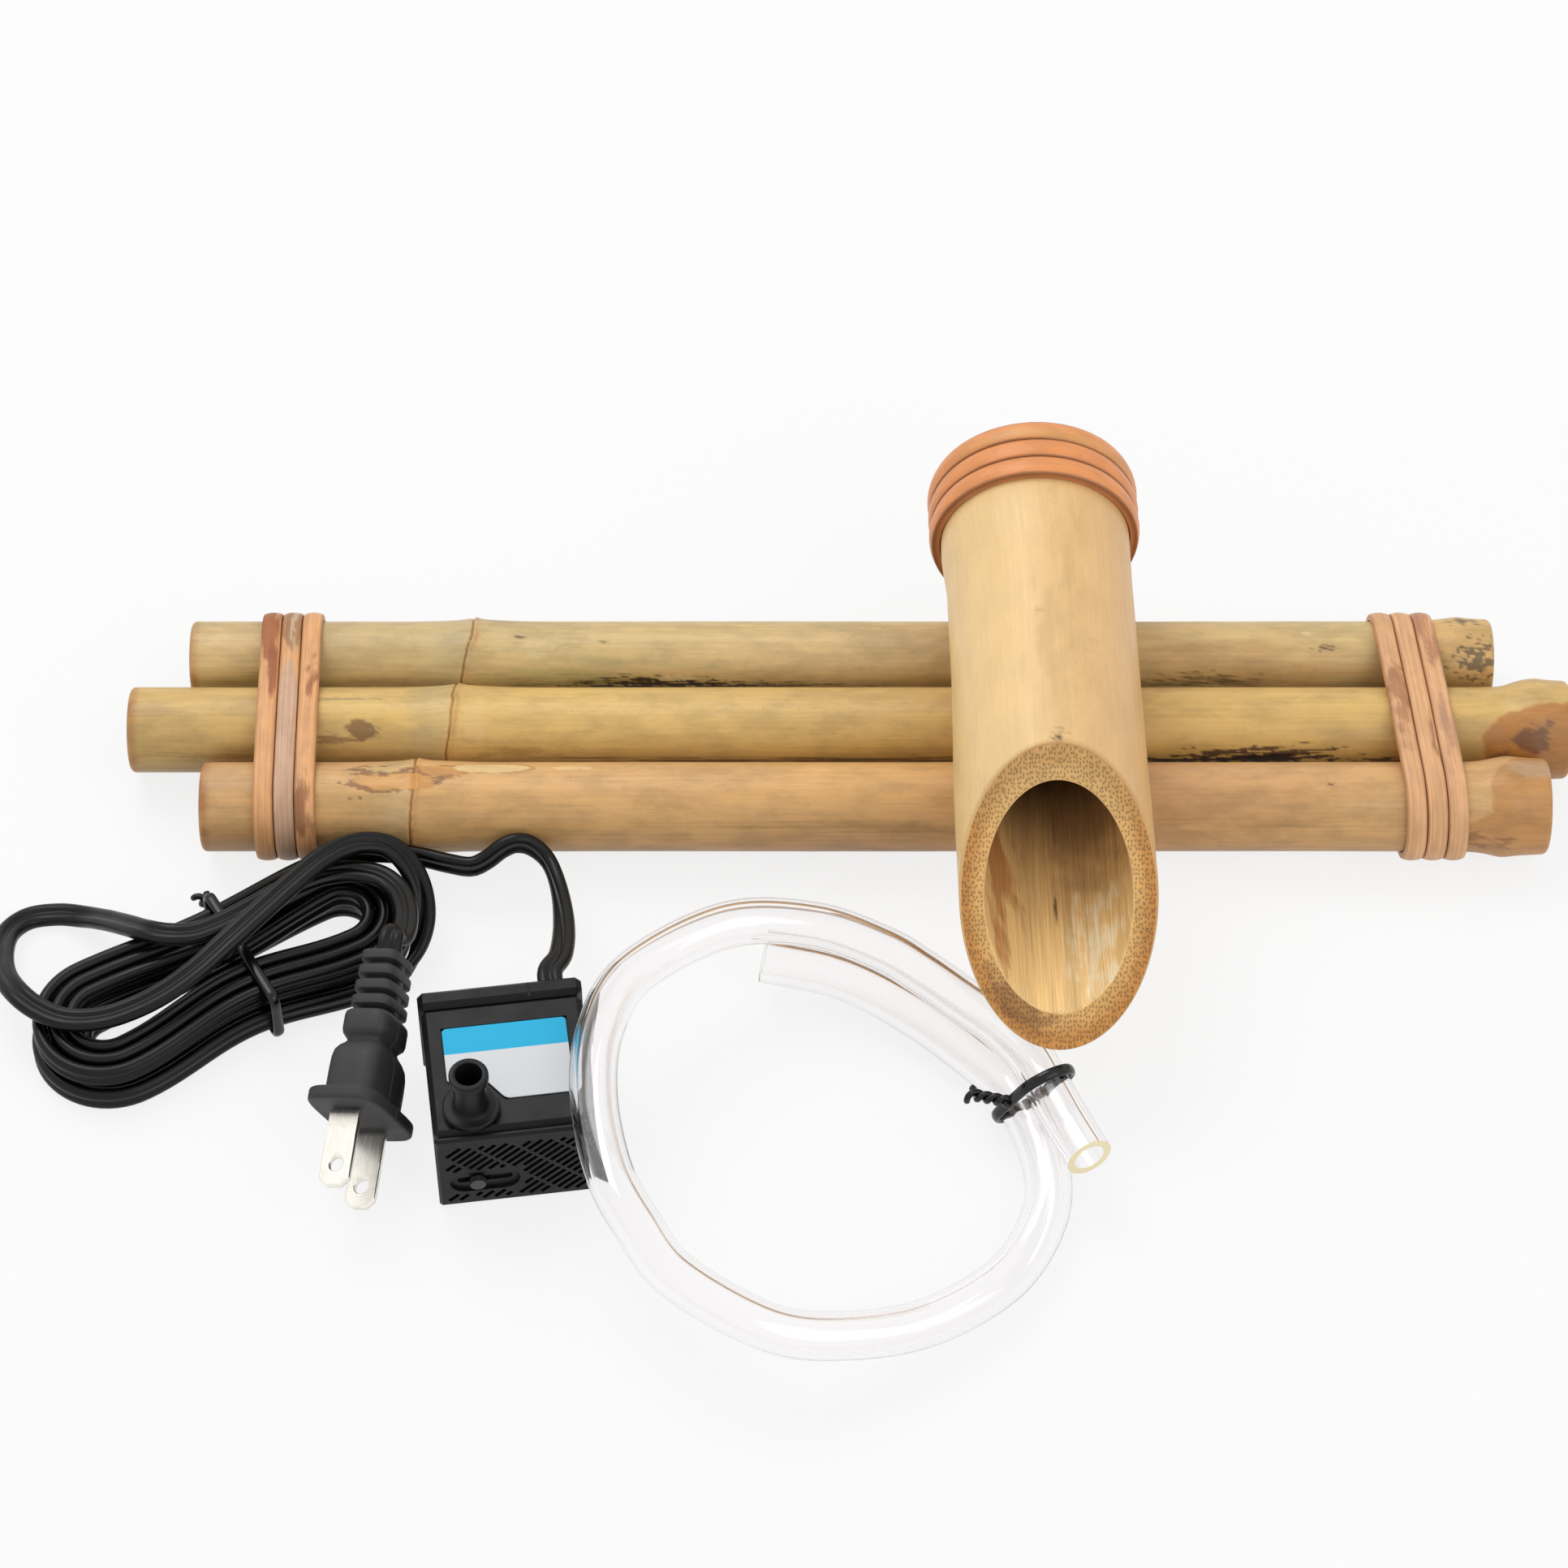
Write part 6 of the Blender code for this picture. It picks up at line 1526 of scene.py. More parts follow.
@dataclass
class Pump:
    """The pump's outlet and label, and the finishes of its solids.

    The label stands a little above the pump's top and reaches a little below it at its rim.
    """

    at: PumpFrame
    outlet_x: float = -8.05
    outlet_from_front: float = 6.9
    label_above: float = 0.15
    label_below: float = 0.1
    blue_from: float = 2.0

    def build_outlet(self) -> Object:
        """Nozzle with a flange, a soft neck and a thicker tip: a profile turned about its axis.

        Returns:
            The nozzle's object.
        """
        top, seat = self.at.top + 12.4, self.at.top + SEAT_GAP
        flange = seat + 1.5
        profile = np.array([
            (2.3, self.at.top - 3.6), (2.3, seat), (5.4, seat), (5.65, seat + 0.25), (5.65, flange - 0.3),
            (5.35, flange), (4.0, flange + 0.02), (3.6, flange + 0.25), (3.35, flange + 0.9),
            (3.25, flange + 2.0), (3.2, top - 3.4), (3.25, top - 2.5), (3.75, top - 2.0), (3.9, top - 1.7),
            (3.9, top - 0.35), (3.75, top - 0.08), (3.5, top), (2.9, top), (2.7, top - 0.06),
            (2.6, top - 0.3), (2.55, flange), (1.5, seat), (1.5, self.at.top - 3.6),
            (2.3, self.at.top - 3.6)])
        turn = np.linspace(0, 2 * pi, 81)
        radius, height = profile[:, :1], profile[:, 1:]
        axis_y = self.outlet_from_front - self.at.depth / 2
        grid = np.stack([self.outlet_x + radius * np.cos(turn), axis_y + radius * np.sin(turn),
                         height + np.zeros_like(turn)], axis=-1)
        shell = Shell("outlet_nozzle")
        shell.add(self.at.out(grid))
        return settle(shell.make([Finishes.HOUSING.make()], 40), Slot.PLASTIC, Body.OUTLET, "pump_outlet")

    def build_label(self) -> Object:
        """Thin film in rows from front to back, each a flat closed ring across the label.

        Its right edge is straight and its left edge follows the cut-out round the outlet. All four
        corners are quarter circles. Its back part is blue and the rest white, with nothing printed.

        Returns:
            The label's object.
        """
        front, notch, back, left, right, radius = -9.6, -4.6, 8.3, -12.2, 12.4, 0.9
        inner_x, outer_x = -1.1, -4.8
        arc = radius * (1 - np.cos(np.linspace(0, pi / 2, 7)))
        lower = np.concatenate([front + arc, np.linspace(front + radius, notch, 14)[1:]])
        change = [self.blue_from, self.blue_from + 0.12]
        y = np.concatenate([lower, notch + np.concatenate([[0.0], arc]), change, (back - arc)[::-1]])
        notch_row = len(lower) - 1
        above = np.arange(len(y)) > notch_row

        def inset(inside: Array) -> Array:
            """How far a quarter circle draws the side in at distances from its end."""
            reach = radius - np.clip(inside, 0, radius)
            return radius - np.sqrt(np.clip(radius ** 2 - reach ** 2, 0, None))

        low = np.where(y < notch, inner_x + (y - front) * (outer_x - inner_x) / (notch - front), left)
        low[notch_row] = outer_x
        low = low + inset(y - front) + inset(back - y) + np.where(above, inset(y - notch), 0)
        high = right - inset(np.minimum(y - front, back - y))
        share = np.array([0.0, *np.linspace(0, 1, 24), 1.0, 0.0])
        level = np.array([0.0, *np.ones(24), 0.0, 0.0])
        x = low[:, None] + (high - low)[:, None] * share
        z = self.at.top - self.label_below + (self.label_below + self.label_above) * level
        grid = np.stack([x, np.broadcast_to(y[:, None], x.shape), np.broadcast_to(z, x.shape)], axis=-1)
        tone = np.where(grid[..., 1:2] > self.blue_from + 0.05, linear("1CB2DF"), linear("DADDE0"))
        shell = Shell("label_film")
        shell.add(self.at.out(grid), 0, grid, tone)
        return settle(shell.make([Finishes.LABEL.make()]), Slot.LABEL, Body.BASE, "pump_label")

    def build(self) -> list[Object]:
        """Makes the pump's new pieces and gives its solids their finishes.

        Returns:
            The new pieces.
        """
        for names, finish, edge in (
            (("pump_housing", "pump_rear_cover"), Finishes.HOUSING, 0.3),
            (("pump_intake_cover",), Finishes.HOUSING, 0.12),
            (("pump_flow_slider",), Finishes.KNOB, 0.2),
            (("pump_foot_front_left", "pump_foot_front_right", "pump_foot_back_left", "pump_foot_back_right",
              "pump_front_bush", "pump_rear_bush"), Finishes.FEET, 0.0),
            (("pump_chamber_cover", "pump_impeller"), Finishes.IMPELLER, 0.0),
            (("pump_shaft",), Finishes.CERAMIC, 0.0), (("pump_rotor_magnet",), Finishes.FERRITE, 0.0),
            (("pump_stator_core",), Finishes.STEEL, 0.0), (("pump_coil",), Finishes.COPPER, 0.0),
        ):
            for name in names:
                dress_node(name, finish, edge)
        return [self.build_outlet(), self.build_label()]


def dress_node(name: str, finish: Finish, edge: float = 0.0) -> None:
    """Gives a solid of the frame a better material in its own slots, and soft edges.

    Args:
        name: Name of the node.
        finish: Its finish.
        edge: Width of its rounded edges in millimetres, or 0 to leave them sharp.
    """
    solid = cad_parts[name]
    for slot in solid.material_slots:
        slot.material = finish.make()
    if edge:
        soft = solid.modifiers.new("soft_edges", "BEVEL")
        soft.width = edge * MM
        soft.segments = 3
        soft.angle_limit = radians(40)
    LOG.info("dressed %s", name)


def round_corners(outline: Array, radius: float, steps: int = 6) -> Array:
    """Replaces each corner of an outline by a curve through points between its two sides.

    Each curve is a quadratic one from radius before the corner to radius after it, and the sides
    between corners are divided into pieces of about 1 mm.

    Args:
        outline: Corners in order, (n, 2).
        radius: Distance from the corner at which the curve begins.
        steps: Points in each curve.

    Returns:
        The finer outline.
    """
    before, after = np.roll(outline, 1, axis=0), np.roll(outline, -1, axis=0)
    t = np.linspace(0, 1, steps)[None, :, None]
    start = (outline + unit(before - outline) * radius)[:, None]
    end = (outline + unit(after - outline) * radius)[:, None]
    curve = (1 - t) ** 2 * start + 2 * t * (1 - t) * outline[:, None] + t ** 2 * end
    pieces = []
    for bend, following in zip(curve, np.roll(curve, -1, axis=0)):
        count = max(2, int(np.linalg.norm(following[0] - bend[-1])))
        side = np.linspace(bend[-1], following[0], count + 1)[1:-1]
        pieces += [bend, side]
    return np.concatenate(pieces)


@dataclass
class Cable:
    """The flat twin cord's route: lead from the pump, hank, free loop over it and tail to the plug.

    Attributes:
        run: Length of a straight run.
        fold_radius: Radius of the outermost fold.
        pitch: Step inwards with each turn.
        waist: How far the tie draws the runs in.
        run_share: Share of a turn that a run takes.
        upper: Height of the upper layer.
        lower: Height of the lower layer.
        tie_lift: How far the tie lifts the runs.
        tie_gauge: Half the thickness of the tie's wire.
        loop_route: Points of the free loop and the tail.
    """

    width: float = 5.2
    thickness: float = 2.65
    hank_middle: tuple[float, float] = (-113.8, -54.4)
    hank_angle: float = radians(30)
    run: float = 52.6
    fold_radius: float = 14.8
    pitch: float = 3.2
    waist: float = 2.6
    run_share: float = 5 / 24
    turns: float = 6.5 + 5 / 24
    upper: float = 8.4
    lower: float = 2.7
    tie_lift: float = 1.65
    tie_gauge: float = 0.65
    lead_route: tuple[tuple[float, ...], ...] = (
        (-45.1, -56.8, 16.8), (-44.9, -46.8, 13.2), (-46.3, -35.7, 10.4), (-48.6, -28.6, 10.4),
        (-52.0, -26.0, 12.2), (-55.3, -26.0, 13.4), (-58.3, -26.9, 12.6), (-61.4, -28.4, 10.8),
        (-64.7, -29.4, 9.8), (-69.5, -28.5, 9.8), (-74.2, -27.2, 9.9), (-78.9, -26.5, 10.3),
        (-85.0, -26.3, 10.5), (-91.1, -26.1, 9.8))
    loop_route: tuple[tuple[float, ...], ...] = (
        (-78.7, -52.4, 3.1), (-75.3, -47.6, 4.8), (-74.0, -41.8, 7.4), (-74.8, -36.0, 10.6),
        (-77.4, -31.4, 13.6), (-81.6, -28.6, 15.8), (-87.7, -29.2, 17.4), (-94.0, -33.5, 18.6),
        (-100.2, -40.6, 19.2), (-106.3, -48.1, 19.4), (-112.4, -55.2, 19.0), (-118.6, -61.6, 17.8),
        (-124.9, -66.1, 16.2), (-131.4, -69.1, 14.8), (-137.8, -70.7, 13.8), (-144.5, -70.2, 13.0),
        (-150.0, -67.7, 12.9), (-154.7, -63.5, 12.6), (-158.5, -56.6, 9.8), (-160.2, -48.3, 6.2),
        (-159.7, -41.2, 3.2), (-156.2, -36.7, 1.7), (-150.3, -35.7, 1.7), (-144.6, -37.4, 3.2),
        (-139.3, -41.2, 7.2), (-133.9, -46.1, 12.0), (-129.5, -49.9, 15.4), (-124.9, -51.7, 16.6),
        (-119.5, -51.4, 16.5), (-113.8, -48.6, 16.4), (-108.1, -44.5, 16.1), (-101.9, -39.5, 15.5),
        (-95.5, -35.5, 14.6), (-89.0, -33.8, 14.0), (-83.0, -35.0, 14.0), (-78.7, -39.9, 15.0),
        (-76.8, -47.5, 17.4), (-77.1, -54.7, 20.0))

    def hank(self, turn: Array) -> Array:
        """The folded cord after numbers of turns.

        A turn is a straight run, a half-round fold, a run back and a fold. The folds shrink by one
        pitch a turn, then grow again on the layer below, and the runs draw in under the tie.

        Args:
            turn: Numbers of turns.

        Returns:
            Points of the centre line.
        """
        half = self.run / 2
        radius = self.fold_radius - self.pitch * np.minimum(turn, 2 * (3 + self.run_share) - turn)
        height = self.upper + (self.lower - self.upper) * np.clip((turn - 3) / self.run_share, 0, 1)
        share = turn % 1
        near = share >= 0.5
        within = np.where(near, share - 0.5, share)
        sign = np.where(near, -1.0, 1.0)
        straight = within < self.run_share
        run = sign * half * (1 - 2 * within / self.run_share)
        draw = np.where(straight, np.cos(pi * run / self.run) ** 2, 0)
        angle = pi * (within - self.run_share) / (0.5 - self.run_share)
        along = np.where(straight, run, -sign * (half + radius * np.sin(angle)))
        side = np.where(straight, sign * (radius - self.waist * draw), sign * radius * np.cos(angle))
        x = self.hank_middle[0] + along * cos(self.hank_angle) - side * sin(self.hank_angle)
        y = self.hank_middle[1] + along * sin(self.hank_angle) + side * cos(self.hank_angle)
        return np.stack([x, y, height + self.tie_lift * draw], axis=1)

    def section(self) -> Array:
        """Two round cores side by side with a web between them.

        The thickness at w is that of the nearer circle, and never less than the web's.

        Returns:
            Points across the cord and out of it, (37, 2).
        """
        core, web, web_reach = self.thickness / 2, 0.86, 1.2
        w = np.array([-2.6, -2.54, -2.36, -2.05, -1.65, -1.25, -0.85, -0.5, -0.25])
        w = np.concatenate([w, [0.0], -w[::-1]])
        t = np.sqrt(np.clip(core ** 2 - (np.abs(w) - (self.width / 2 - core)) ** 2, 0, None))
        t = np.maximum(t, np.where(np.abs(w) < web_reach, web, 0))
        upper = np.stack([w, t], axis=1)
        return np.concatenate([upper, (upper * (1, -1))[::-1][1:]])

    def build(self, pump: PumpFrame, plug: "Plug") -> tuple[Object, Array]:
        """Makes the whole cord as one section carried along its route.

        The cord leaves the pump flat, stands on edge in the hank and lies flat again in the loop.

        Args:
            pump: The pump's frame.
            plug: The plug.

        Returns:
            The cord's object and its centre line.
        """
        socket = (10.7, pump.depth / 2 - 1.0 + SEAT_GAP / 2, pump.top - 4.2)
        way_out = pump.out(np.array([socket, (socket[0], socket[1] + self.width, socket[2])]))
        end = plug.length + SEAT_GAP / 2
        way_in = plug.out(np.array([(0, 0, end + self.width), (0, 0, end)]))
        folded = self.hank(np.linspace(0, self.turns, 720))
        lead = smooth_route(np.vstack([way_out, self.lead_route, folded[:1]]), 90)
        loop = smooth_route(np.vstack([folded[-1:], self.loop_route, way_in]), 330)
        path = np.vstack([lead, folded[1:], loop[1:]])
        ahead = np.gradient(path, axis=0)
        ahead[0], ahead[-1] = way_out[1] - way_out[0], way_in[1] - way_in[0]
        ahead = unit(ahead)
        turns = np.concatenate([np.clip(np.linspace(1, -1, 90), 0, 1), np.zeros(719),
                                np.clip(np.linspace(0, 9.75, 330), 0, 1)[1:]])
        angle = (smoothstep(turns) * pi / 2)[:, None]
        side, above = level_axes(ahead)
        wide = above * np.cos(angle) + side * np.sin(angle)
        thin = side * np.cos(angle) - above * np.sin(angle)
        path[0] += ahead[0] * SEAT_GAP / 2
        path[-1] -= ahead[-1] * SEAT_GAP / 2
        shell = Shell("power_cord")
        shell.add(capped(sweep(path, wide, thin, self.section())))
        made = settle(shell.make([Finishes.SHEATH.make()], 60), Slot.CORD, Body.BASE, "power_cord_lead",
                      "power_cord_hank", "power_cord_loop", "power_cord_tail")
        return made, path

    def build_tie(self) -> Object:
        """Tie round the hank's waist, with its two tails twisted together on the far side.

        Returns:
            The tie's object.
        """
        gap = SEAT_GAP + self.tie_gauge
        reach = self.fold_radius + self.thickness / 2 - self.waist + self.pitch / 3 + gap
        low, high = self.tie_gauge + SEAT_GAP / 3, self.upper + self.tie_lift + self.width / 2 + gap
        middle = (low + high) / 2
        corners = np.array([(reach, middle), (reach, high), (-reach, high), (-reach, low), (reach, low),
                            (reach, middle)])
        loop = rounded_loop(corners, 2.2)
        far = np.array([-sin(self.hank_angle), cos(self.hank_angle), 0.0])
        along = np.array([cos(self.hank_angle), sin(self.hank_angle), 0.0])
        place = np.array([*self.hank_middle, 0.0]) + 4.0 * along
        path = place + loop[:, :1] * far + loop[:, 1:] * np.array([0, 0, 1.0])
        root = place + far * (reach + 0.2) + np.array([0, 0, middle])
        return build_wire_tie("cord_tie", path, along, root, far, 4.6)


def rounded_loop(corners: Array, radius: float) -> Array:
    """A closed line through corners, rounded at all but its first and last point.

    Args:
        corners: Corners of the loop in one plane, (n, 2), the last one on the first.
        radius: Distance from a corner at which its curve begins.

    Returns:
        Evenly spaced points.
    """
    pieces = [corners[:1]]
    t = np.linspace(0, 1, 9)[:, None]
    for before, corner, after in zip(corners, corners[1:], corners[2:]):
        start = corner + unit(before - corner) * radius
        end = corner + unit(after - corner) * radius
        pieces.append((1 - t) ** 2 * start + 2 * t * (1 - t) * corner + t ** 2 * end)
    line = np.vstack([*pieces, corners[-1:]])
    return even_steps(line, int(path_length(line) / 0.6))


def build_wire_tie(name: str, loop: Array, normal: Array, root: Array, away: Array, tail: float
                   ) -> Object:
    """A plastic-coated wire tie: a flat oval band round the loop and two twisted tails.

    The tails are circles carried along two helices about one line, half a turn apart, which
    spread a little at their ends.

    Args:
        name: Name of its node in the frame.
        loop: Centre line of the band.
        normal: Direction across the band.
        root: Where the tails begin.
        away: Direction in which they lie.
        tail: Their length.

    Returns:
        The tie's object.
    """
    shell = Shell(name + "_wire")
    ahead = unit(np.gradient(loop, axis=0))
    ahead[0] = ahead[-1] = unit(ahead[0] + ahead[-1])
    across = np.tile(unit(normal), (len(loop), 1))
    half_width, half_thickness, wire, twist = 1.15, 0.65, 0.68, 4.6
    oval = circle(1.0, 24) * (half_width, half_thickness)
    shell.add(sweep(loop, across, unit(np.cross(ahead, across)), oval))
    away = unit(away)
    side = unit(np.cross(away, (0.0, 0.0, 1.0)))
    above = np.cross(side, away)
    t = np.linspace(0, 1, 60)[:, None]
    for phase in (0.0, pi):
        spread = 0.66 + 0.8 * smoothstep((t - 0.75) / 0.25)
        angle = phase + 2 * pi * t * tail / twist
        path = root + away * tail * t + (side * np.cos(angle) + above * np.sin(angle)) * spread
        direction = unit(np.gradient(path, axis=0))
        out = unit(np.cross(direction, away + 0.3 * above))
        shell.add(capped(sweep(path, out, np.cross(out, direction), circle(wire, 14)), 0.2))
    return settle(shell.make([Finishes.TIE.make()], 60), Slot.RUBBER, Body.BASE, name)


@dataclass
class Plug:
    """The mains plug: Z runs from its face back along the cord, Y across the two blades."""

    face: tuple[float, float, float] = (-83.9, -94.9, 13.5)
    back: tuple[float, float, float] = (0.13, 0.95, 0.25)
    up: tuple[float, float, float] = (-0.32, -0.2, 0.925)
    collar_end: float = 21.4
    ribs: int = 4
    rib_pitch: float = 3.3
    rib_length: float = 2.1
    spacing: float = 12.7
    blade_width: float = 6.35
    blade_sheet: float = 1.5
    blade_length: float = 16.3
    hole_radius: float = 1.55
    hole_from_tip: float = 4.5

    @property
    def length(self) -> float:
        """Length from the face to the end of the strain relief."""
        return self.collar_end + self.ribs * self.rib_pitch

    def out(self, points: Array) -> Array:
        """Turns points in the plug's frame into places.

        Args:
            points: Points (up, across the blades, back), (..., 3).

        Returns:
            Layout points.
        """
        back, up = unit(np.array(self.back)), np.array(self.up)
        up = unit(up - back * (up @ back))
        return np.asarray(points, float) @ np.array([np.cross(up, back), up, back]) + np.array(self.face)

    def stations(self) -> Array:
        """Lists the sections along the moulding: flange, body, neck, collar, ribs.

        Returns:
            Rows of place, width and height.
        """
        rows = [
            (0.0, 24.2, 14.3), (0.12, 24.8, 14.9), (0.4, 25.3, 15.4), (0.8, 25.4, 15.5), (2.1, 25.4, 15.5),
            (2.45, 25.25, 15.35), (2.7, 24.7, 14.8), (2.74, 20.0, 13.2), (2.9, 18.9, 12.1),
            (3.4, 18.25, 11.45), (4.4, 18.0, 11.2), (8.0, 18.0, 11.2), (10.6, 17.7, 11.1),
            (12.2, 16.8, 10.7), (13.4, 14.8, 9.7), (14.3, 12.4, 8.5), (15.0, 11.1, 7.85), (15.5, 11.3, 8.0),
            (16.0, 12.2, 8.8), (16.6, 13.4, 9.7), (17.4, 13.8, 10.0), (20.2, 13.8, 10.0),
            (20.9, 13.5, 9.7), (21.3, 12.7, 9.0), (21.4, 11.6, 8.0)]
        for rib in range(self.ribs):
            start = self.collar_end + rib * self.rib_pitch
            first, last = start + self.rib_pitch - self.rib_length, start + self.rib_pitch
            wide, high = 12.0 - 0.35 * rib, 8.9 - 0.25 * rib
            rows += [(start + 0.08, 7.4, 5.2), (start + 0.2, 7.0, 4.8), (first - 0.1, 7.0, 4.8),
                     (first, 7.3, 5.1)]
            rows += [(place, wide - slim, high - slim) for place, slim in (
                (first + 0.02, 0.5), (first + 0.15, 0.12), (first + 0.35, 0.0),
                (last - 0.35, 0.0), (last - 0.15, 0.12), (last - 0.02, 0.5))]
        return np.array(rows)

    def build_body(self) -> Object:
        """Lofts rounded rectangles |cos|^0.45, |sin|^0.45 over the stations, with two rib spines.

        Where the mould's halves met, above and below, a groove 0.2 mm deep runs from end to end.

        Returns:
            The moulding's object.
        """
        stations = self.stations()
        near = np.array([-7e-4, -2e-4, 2e-4, 7e-4])
        turn = np.sort(np.concatenate([np.linspace(0, 2 * pi, 97), near[2:], pi + near, 2 * pi + near[:2]]))
        seam = np.abs(np.sin(turn)) < 1e-6
        x = np.abs(np.cos(turn)) ** 0.45 * np.sign(np.cos(turn)) * np.where(seam, 0.96, 1.0)
        y = np.abs(np.sin(turn)) ** 0.45 * np.sign(np.sin(turn))
        place, width, height = (stations[:, i:i + 1] for i in range(3))
        grid = np.stack([x * height / 2, y * width / 2, place + np.zeros_like(x)], axis=-1)
        shell = Shell("plug_moulding")
        shell.add(self.out(capped(grid, steps=6)))
        for side in (-1, 1):
            path = np.array([(side * 2.9, 0, self.collar_end - 0.3), (side * 2.4, 0, self.length - 0.15)])
            bar = round_corners(np.array([(-1.4, -0.9), (1.4, -0.9), (1.4, 0.9), (-1.4, 0.9)]), 0.3)
            bar = np.vstack([bar, bar[:1]])
            rings = sweep(path, np.tile([1.0, 0, 0], (2, 1)), np.tile([0, 1.0, 0], (2, 1)), bar)
            shell.add(self.out(capped(rings, steps=2)))
        return settle(shell.make([Finishes.PLUG.make()], 38), Slot.PLASTIC, Body.BASE, "plug_body")

    def build_blade(self, name: str, side: int) -> Object:
        """A blade: rays from its hole out to its outline, on both faces, with softened edges.

        Args:
            name: Name of its node in the frame.
            side: 1 for the upper blade and -1 for the lower one.

        Returns:
            The blade's object.
        """
        half, tip, corner = self.blade_width / 2, -self.blade_length, 1.6
        outline = np.array([(-half, -SEAT_GAP), (-half, tip + corner), (corner - half, tip),
                            (half - corner, tip), (half, tip + corner), (half, -SEAT_GAP)])
        outline = round_corners(outline, 0.35)
        hole = np.array([0.0, tip + self.hole_from_tip])
        spokes = outline - hole
        spokes = spokes[np.argsort(np.arctan2(spokes[:, 1], spokes[:, 0]))]
        spokes = np.vstack([spokes, spokes[:1]])
        rim = unit(spokes) * self.hole_radius
        soft, thick = 0.18, self.blade_sheet / 2
        share = np.linspace(0, 1, 12)[:, None, None]
        inner, outer = rim * (1 + soft / self.hole_radius), spokes - unit(spokes) * soft
        face = inner * (1 - share) + outer * share
        rows = [(rim, soft - thick), (rim, thick - soft)]
        rows += [(row, thick) for row in face] + [(spokes, thick - soft), (spokes, soft - thick)]
        rows += [(row, -thick) for row in face[::-1]] + [(rim, soft - thick)]
        middle = side * self.spacing / 2
        grid = np.stack([
            np.stack([row[:, 0], np.full(len(row), middle + level), row[:, 1] + hole[1]], axis=-1)
            for row, level in rows])
        shell = Shell(name + "_plate")
        shell.add(self.out(grid), 0, grid[..., [2, 0, 1]])
        return settle(shell.make([Finishes.BLADE.make()], 60), Slot.NICKEL, Body.BASE, name)

    def build(self) -> list[Object]:
        """Makes the moulding and both blades."""
        return [self.build_body(), self.build_blade("plug_blade_upper", 1),
                self.build_blade("plug_blade_lower", -1)]


@dataclass
class Tubing:
    """The loop of clear tubing, its walls worked out as two circles carried along one route.

    Its tie is given by a point near its middle and the directions of its axis and its tails.
    """

    diameter: float = 9.5
    wall: float = 1.6
    route: tuple[tuple[float, ...], ...] = (
        (-4.1, -52.7, 9.5), (12.2, -56.4, 8.3), (27.9, -65.5, 6.7), (42.3, -78.1, 5.5),
        (46.9, -84.0, 5.2), (51.9, -99.8, 5.0), (51.1, -112.6, 5.0), (43.4, -126.5, 5.6),
        (28.9, -137.8, 8.0), (13.1, -143.8, 12.2), (-2.5, -144.9, 16.8), (-20.3, -136.8, 22.2),
        (-28.0, -127.9, 26.4), (-33.8, -116.7, 28.4), (-37.1, -99.4, 28.7), (-36.1, -82.4, 27.5),
        (-29.6, -67.0, 25.0), (-11.6, -53.2, 21.8), (5.9, -51.2, 19.1), (19.8, -55.8, 17.4),
        (27.7, -60.8, 16.4), (35.6, -67.0, 15.6), (42.9, -73.0, 15.1), (48.7, -80.2, 14.9),
        (52.5, -88.2, 14.6), (55.9, -96.4, 15.0), (59.9, -105.0, 15.4))
    tie_place: tuple[float, ...] = (49.7, -86.1, 9.8)
    tie_axis: tuple[float, ...] = (0.45, -0.89, -0.33)
    tails: tuple[float, ...] = (-0.80, 0.45, -0.38)

    def __post_init__(self) -> None:
        """Works out the even route."""
        self.path = smooth_route(np.array(self.route), 420)

    def build(self) -> Object:
        """Makes the tube: outer wall, end ring, inner wall back and the other end ring.

        Returns:
            The tube's object.
        """
        ahead = unit(np.gradient(self.path, axis=0))
        side, above = level_axes(ahead)
        radii = (self.diameter / 2, self.diameter / 2 - self.wall)
        walls = [sweep(self.path, side, above, circle(radius, 64)) for radius in radii]
        share = np.linspace(0, 1, 5)[:, None, None]
        rings = [walls[0][end] * (1 - share) + walls[1][end] * share for end in (-1, 0)]
        length = np.linspace(0, path_length(self.path), len(self.path))[:, None]
        turn = np.linspace(0, 2 * pi, 65)
        shell = Shell("clear_tubing")
        for wall, radius in zip(walls, radii):
            around = np.broadcast_arrays(length, radius * np.cos(turn), radius * np.sin(turn))
            shell.add(wall, 0, np.stack(around, axis=-1), linear("FEFDFD"))
        for ring in rings:
            shell.add(ring, 1)
        made = shell.make([Finishes.VINYL.make(), Finishes.CUT_VINYL.make()], 60)
        return settle(made, Slot.VINYL, Body.BASE, "tubing")

    def build_tie(self) -> Object:
        """Tie round the two strands, in a plane that crosses both: two half circles and two lines.

        Returns:
            The tie's object.
        """
        ahead = unit(np.array(self.tie_axis))
        levels = (self.path - self.tie_place) @ ahead
        cross = np.nonzero(levels[:-1] * levels[1:] <= 0)[0]
        share = (levels[cross] / (levels[cross] - levels[cross + 1]))[:, None]
        spots = self.path[cross] + (self.path[cross + 1] - self.path[cross]) * share
        spots = spots[np.argsort(np.linalg.norm(spots - self.tie_place, axis=1))[:2]]
        lower, upper = spots[np.argsort(spots[:, 2])]
        half = np.linalg.norm(upper - lower) / 2
        across = unit(upper - lower)
        above = np.cross(across, ahead)
        above = above * np.sign(above[2])
        centre = (upper + lower) / 2
        reach = self.diameter / 2 + SEAT_GAP + 0.75
        bends = [(half, np.linspace(pi / 2, -pi / 2, 40)), (-half, np.linspace(-pi / 2, -3 * pi / 2, 40))]
        ring = np.concatenate([centre + across * (middle + reach * np.cos(angle)[:, None])
                               + above * (reach * np.sin(angle))[:, None] for middle, angle in bends])
        loop = even_steps(np.vstack([centre + above * reach, ring, centre + above * reach]), 110)
        root = centre + above * (reach + 0.5)
        return build_wire_tie("tubing_tie", loop, ahead, root, np.array(self.tails), 9.5)


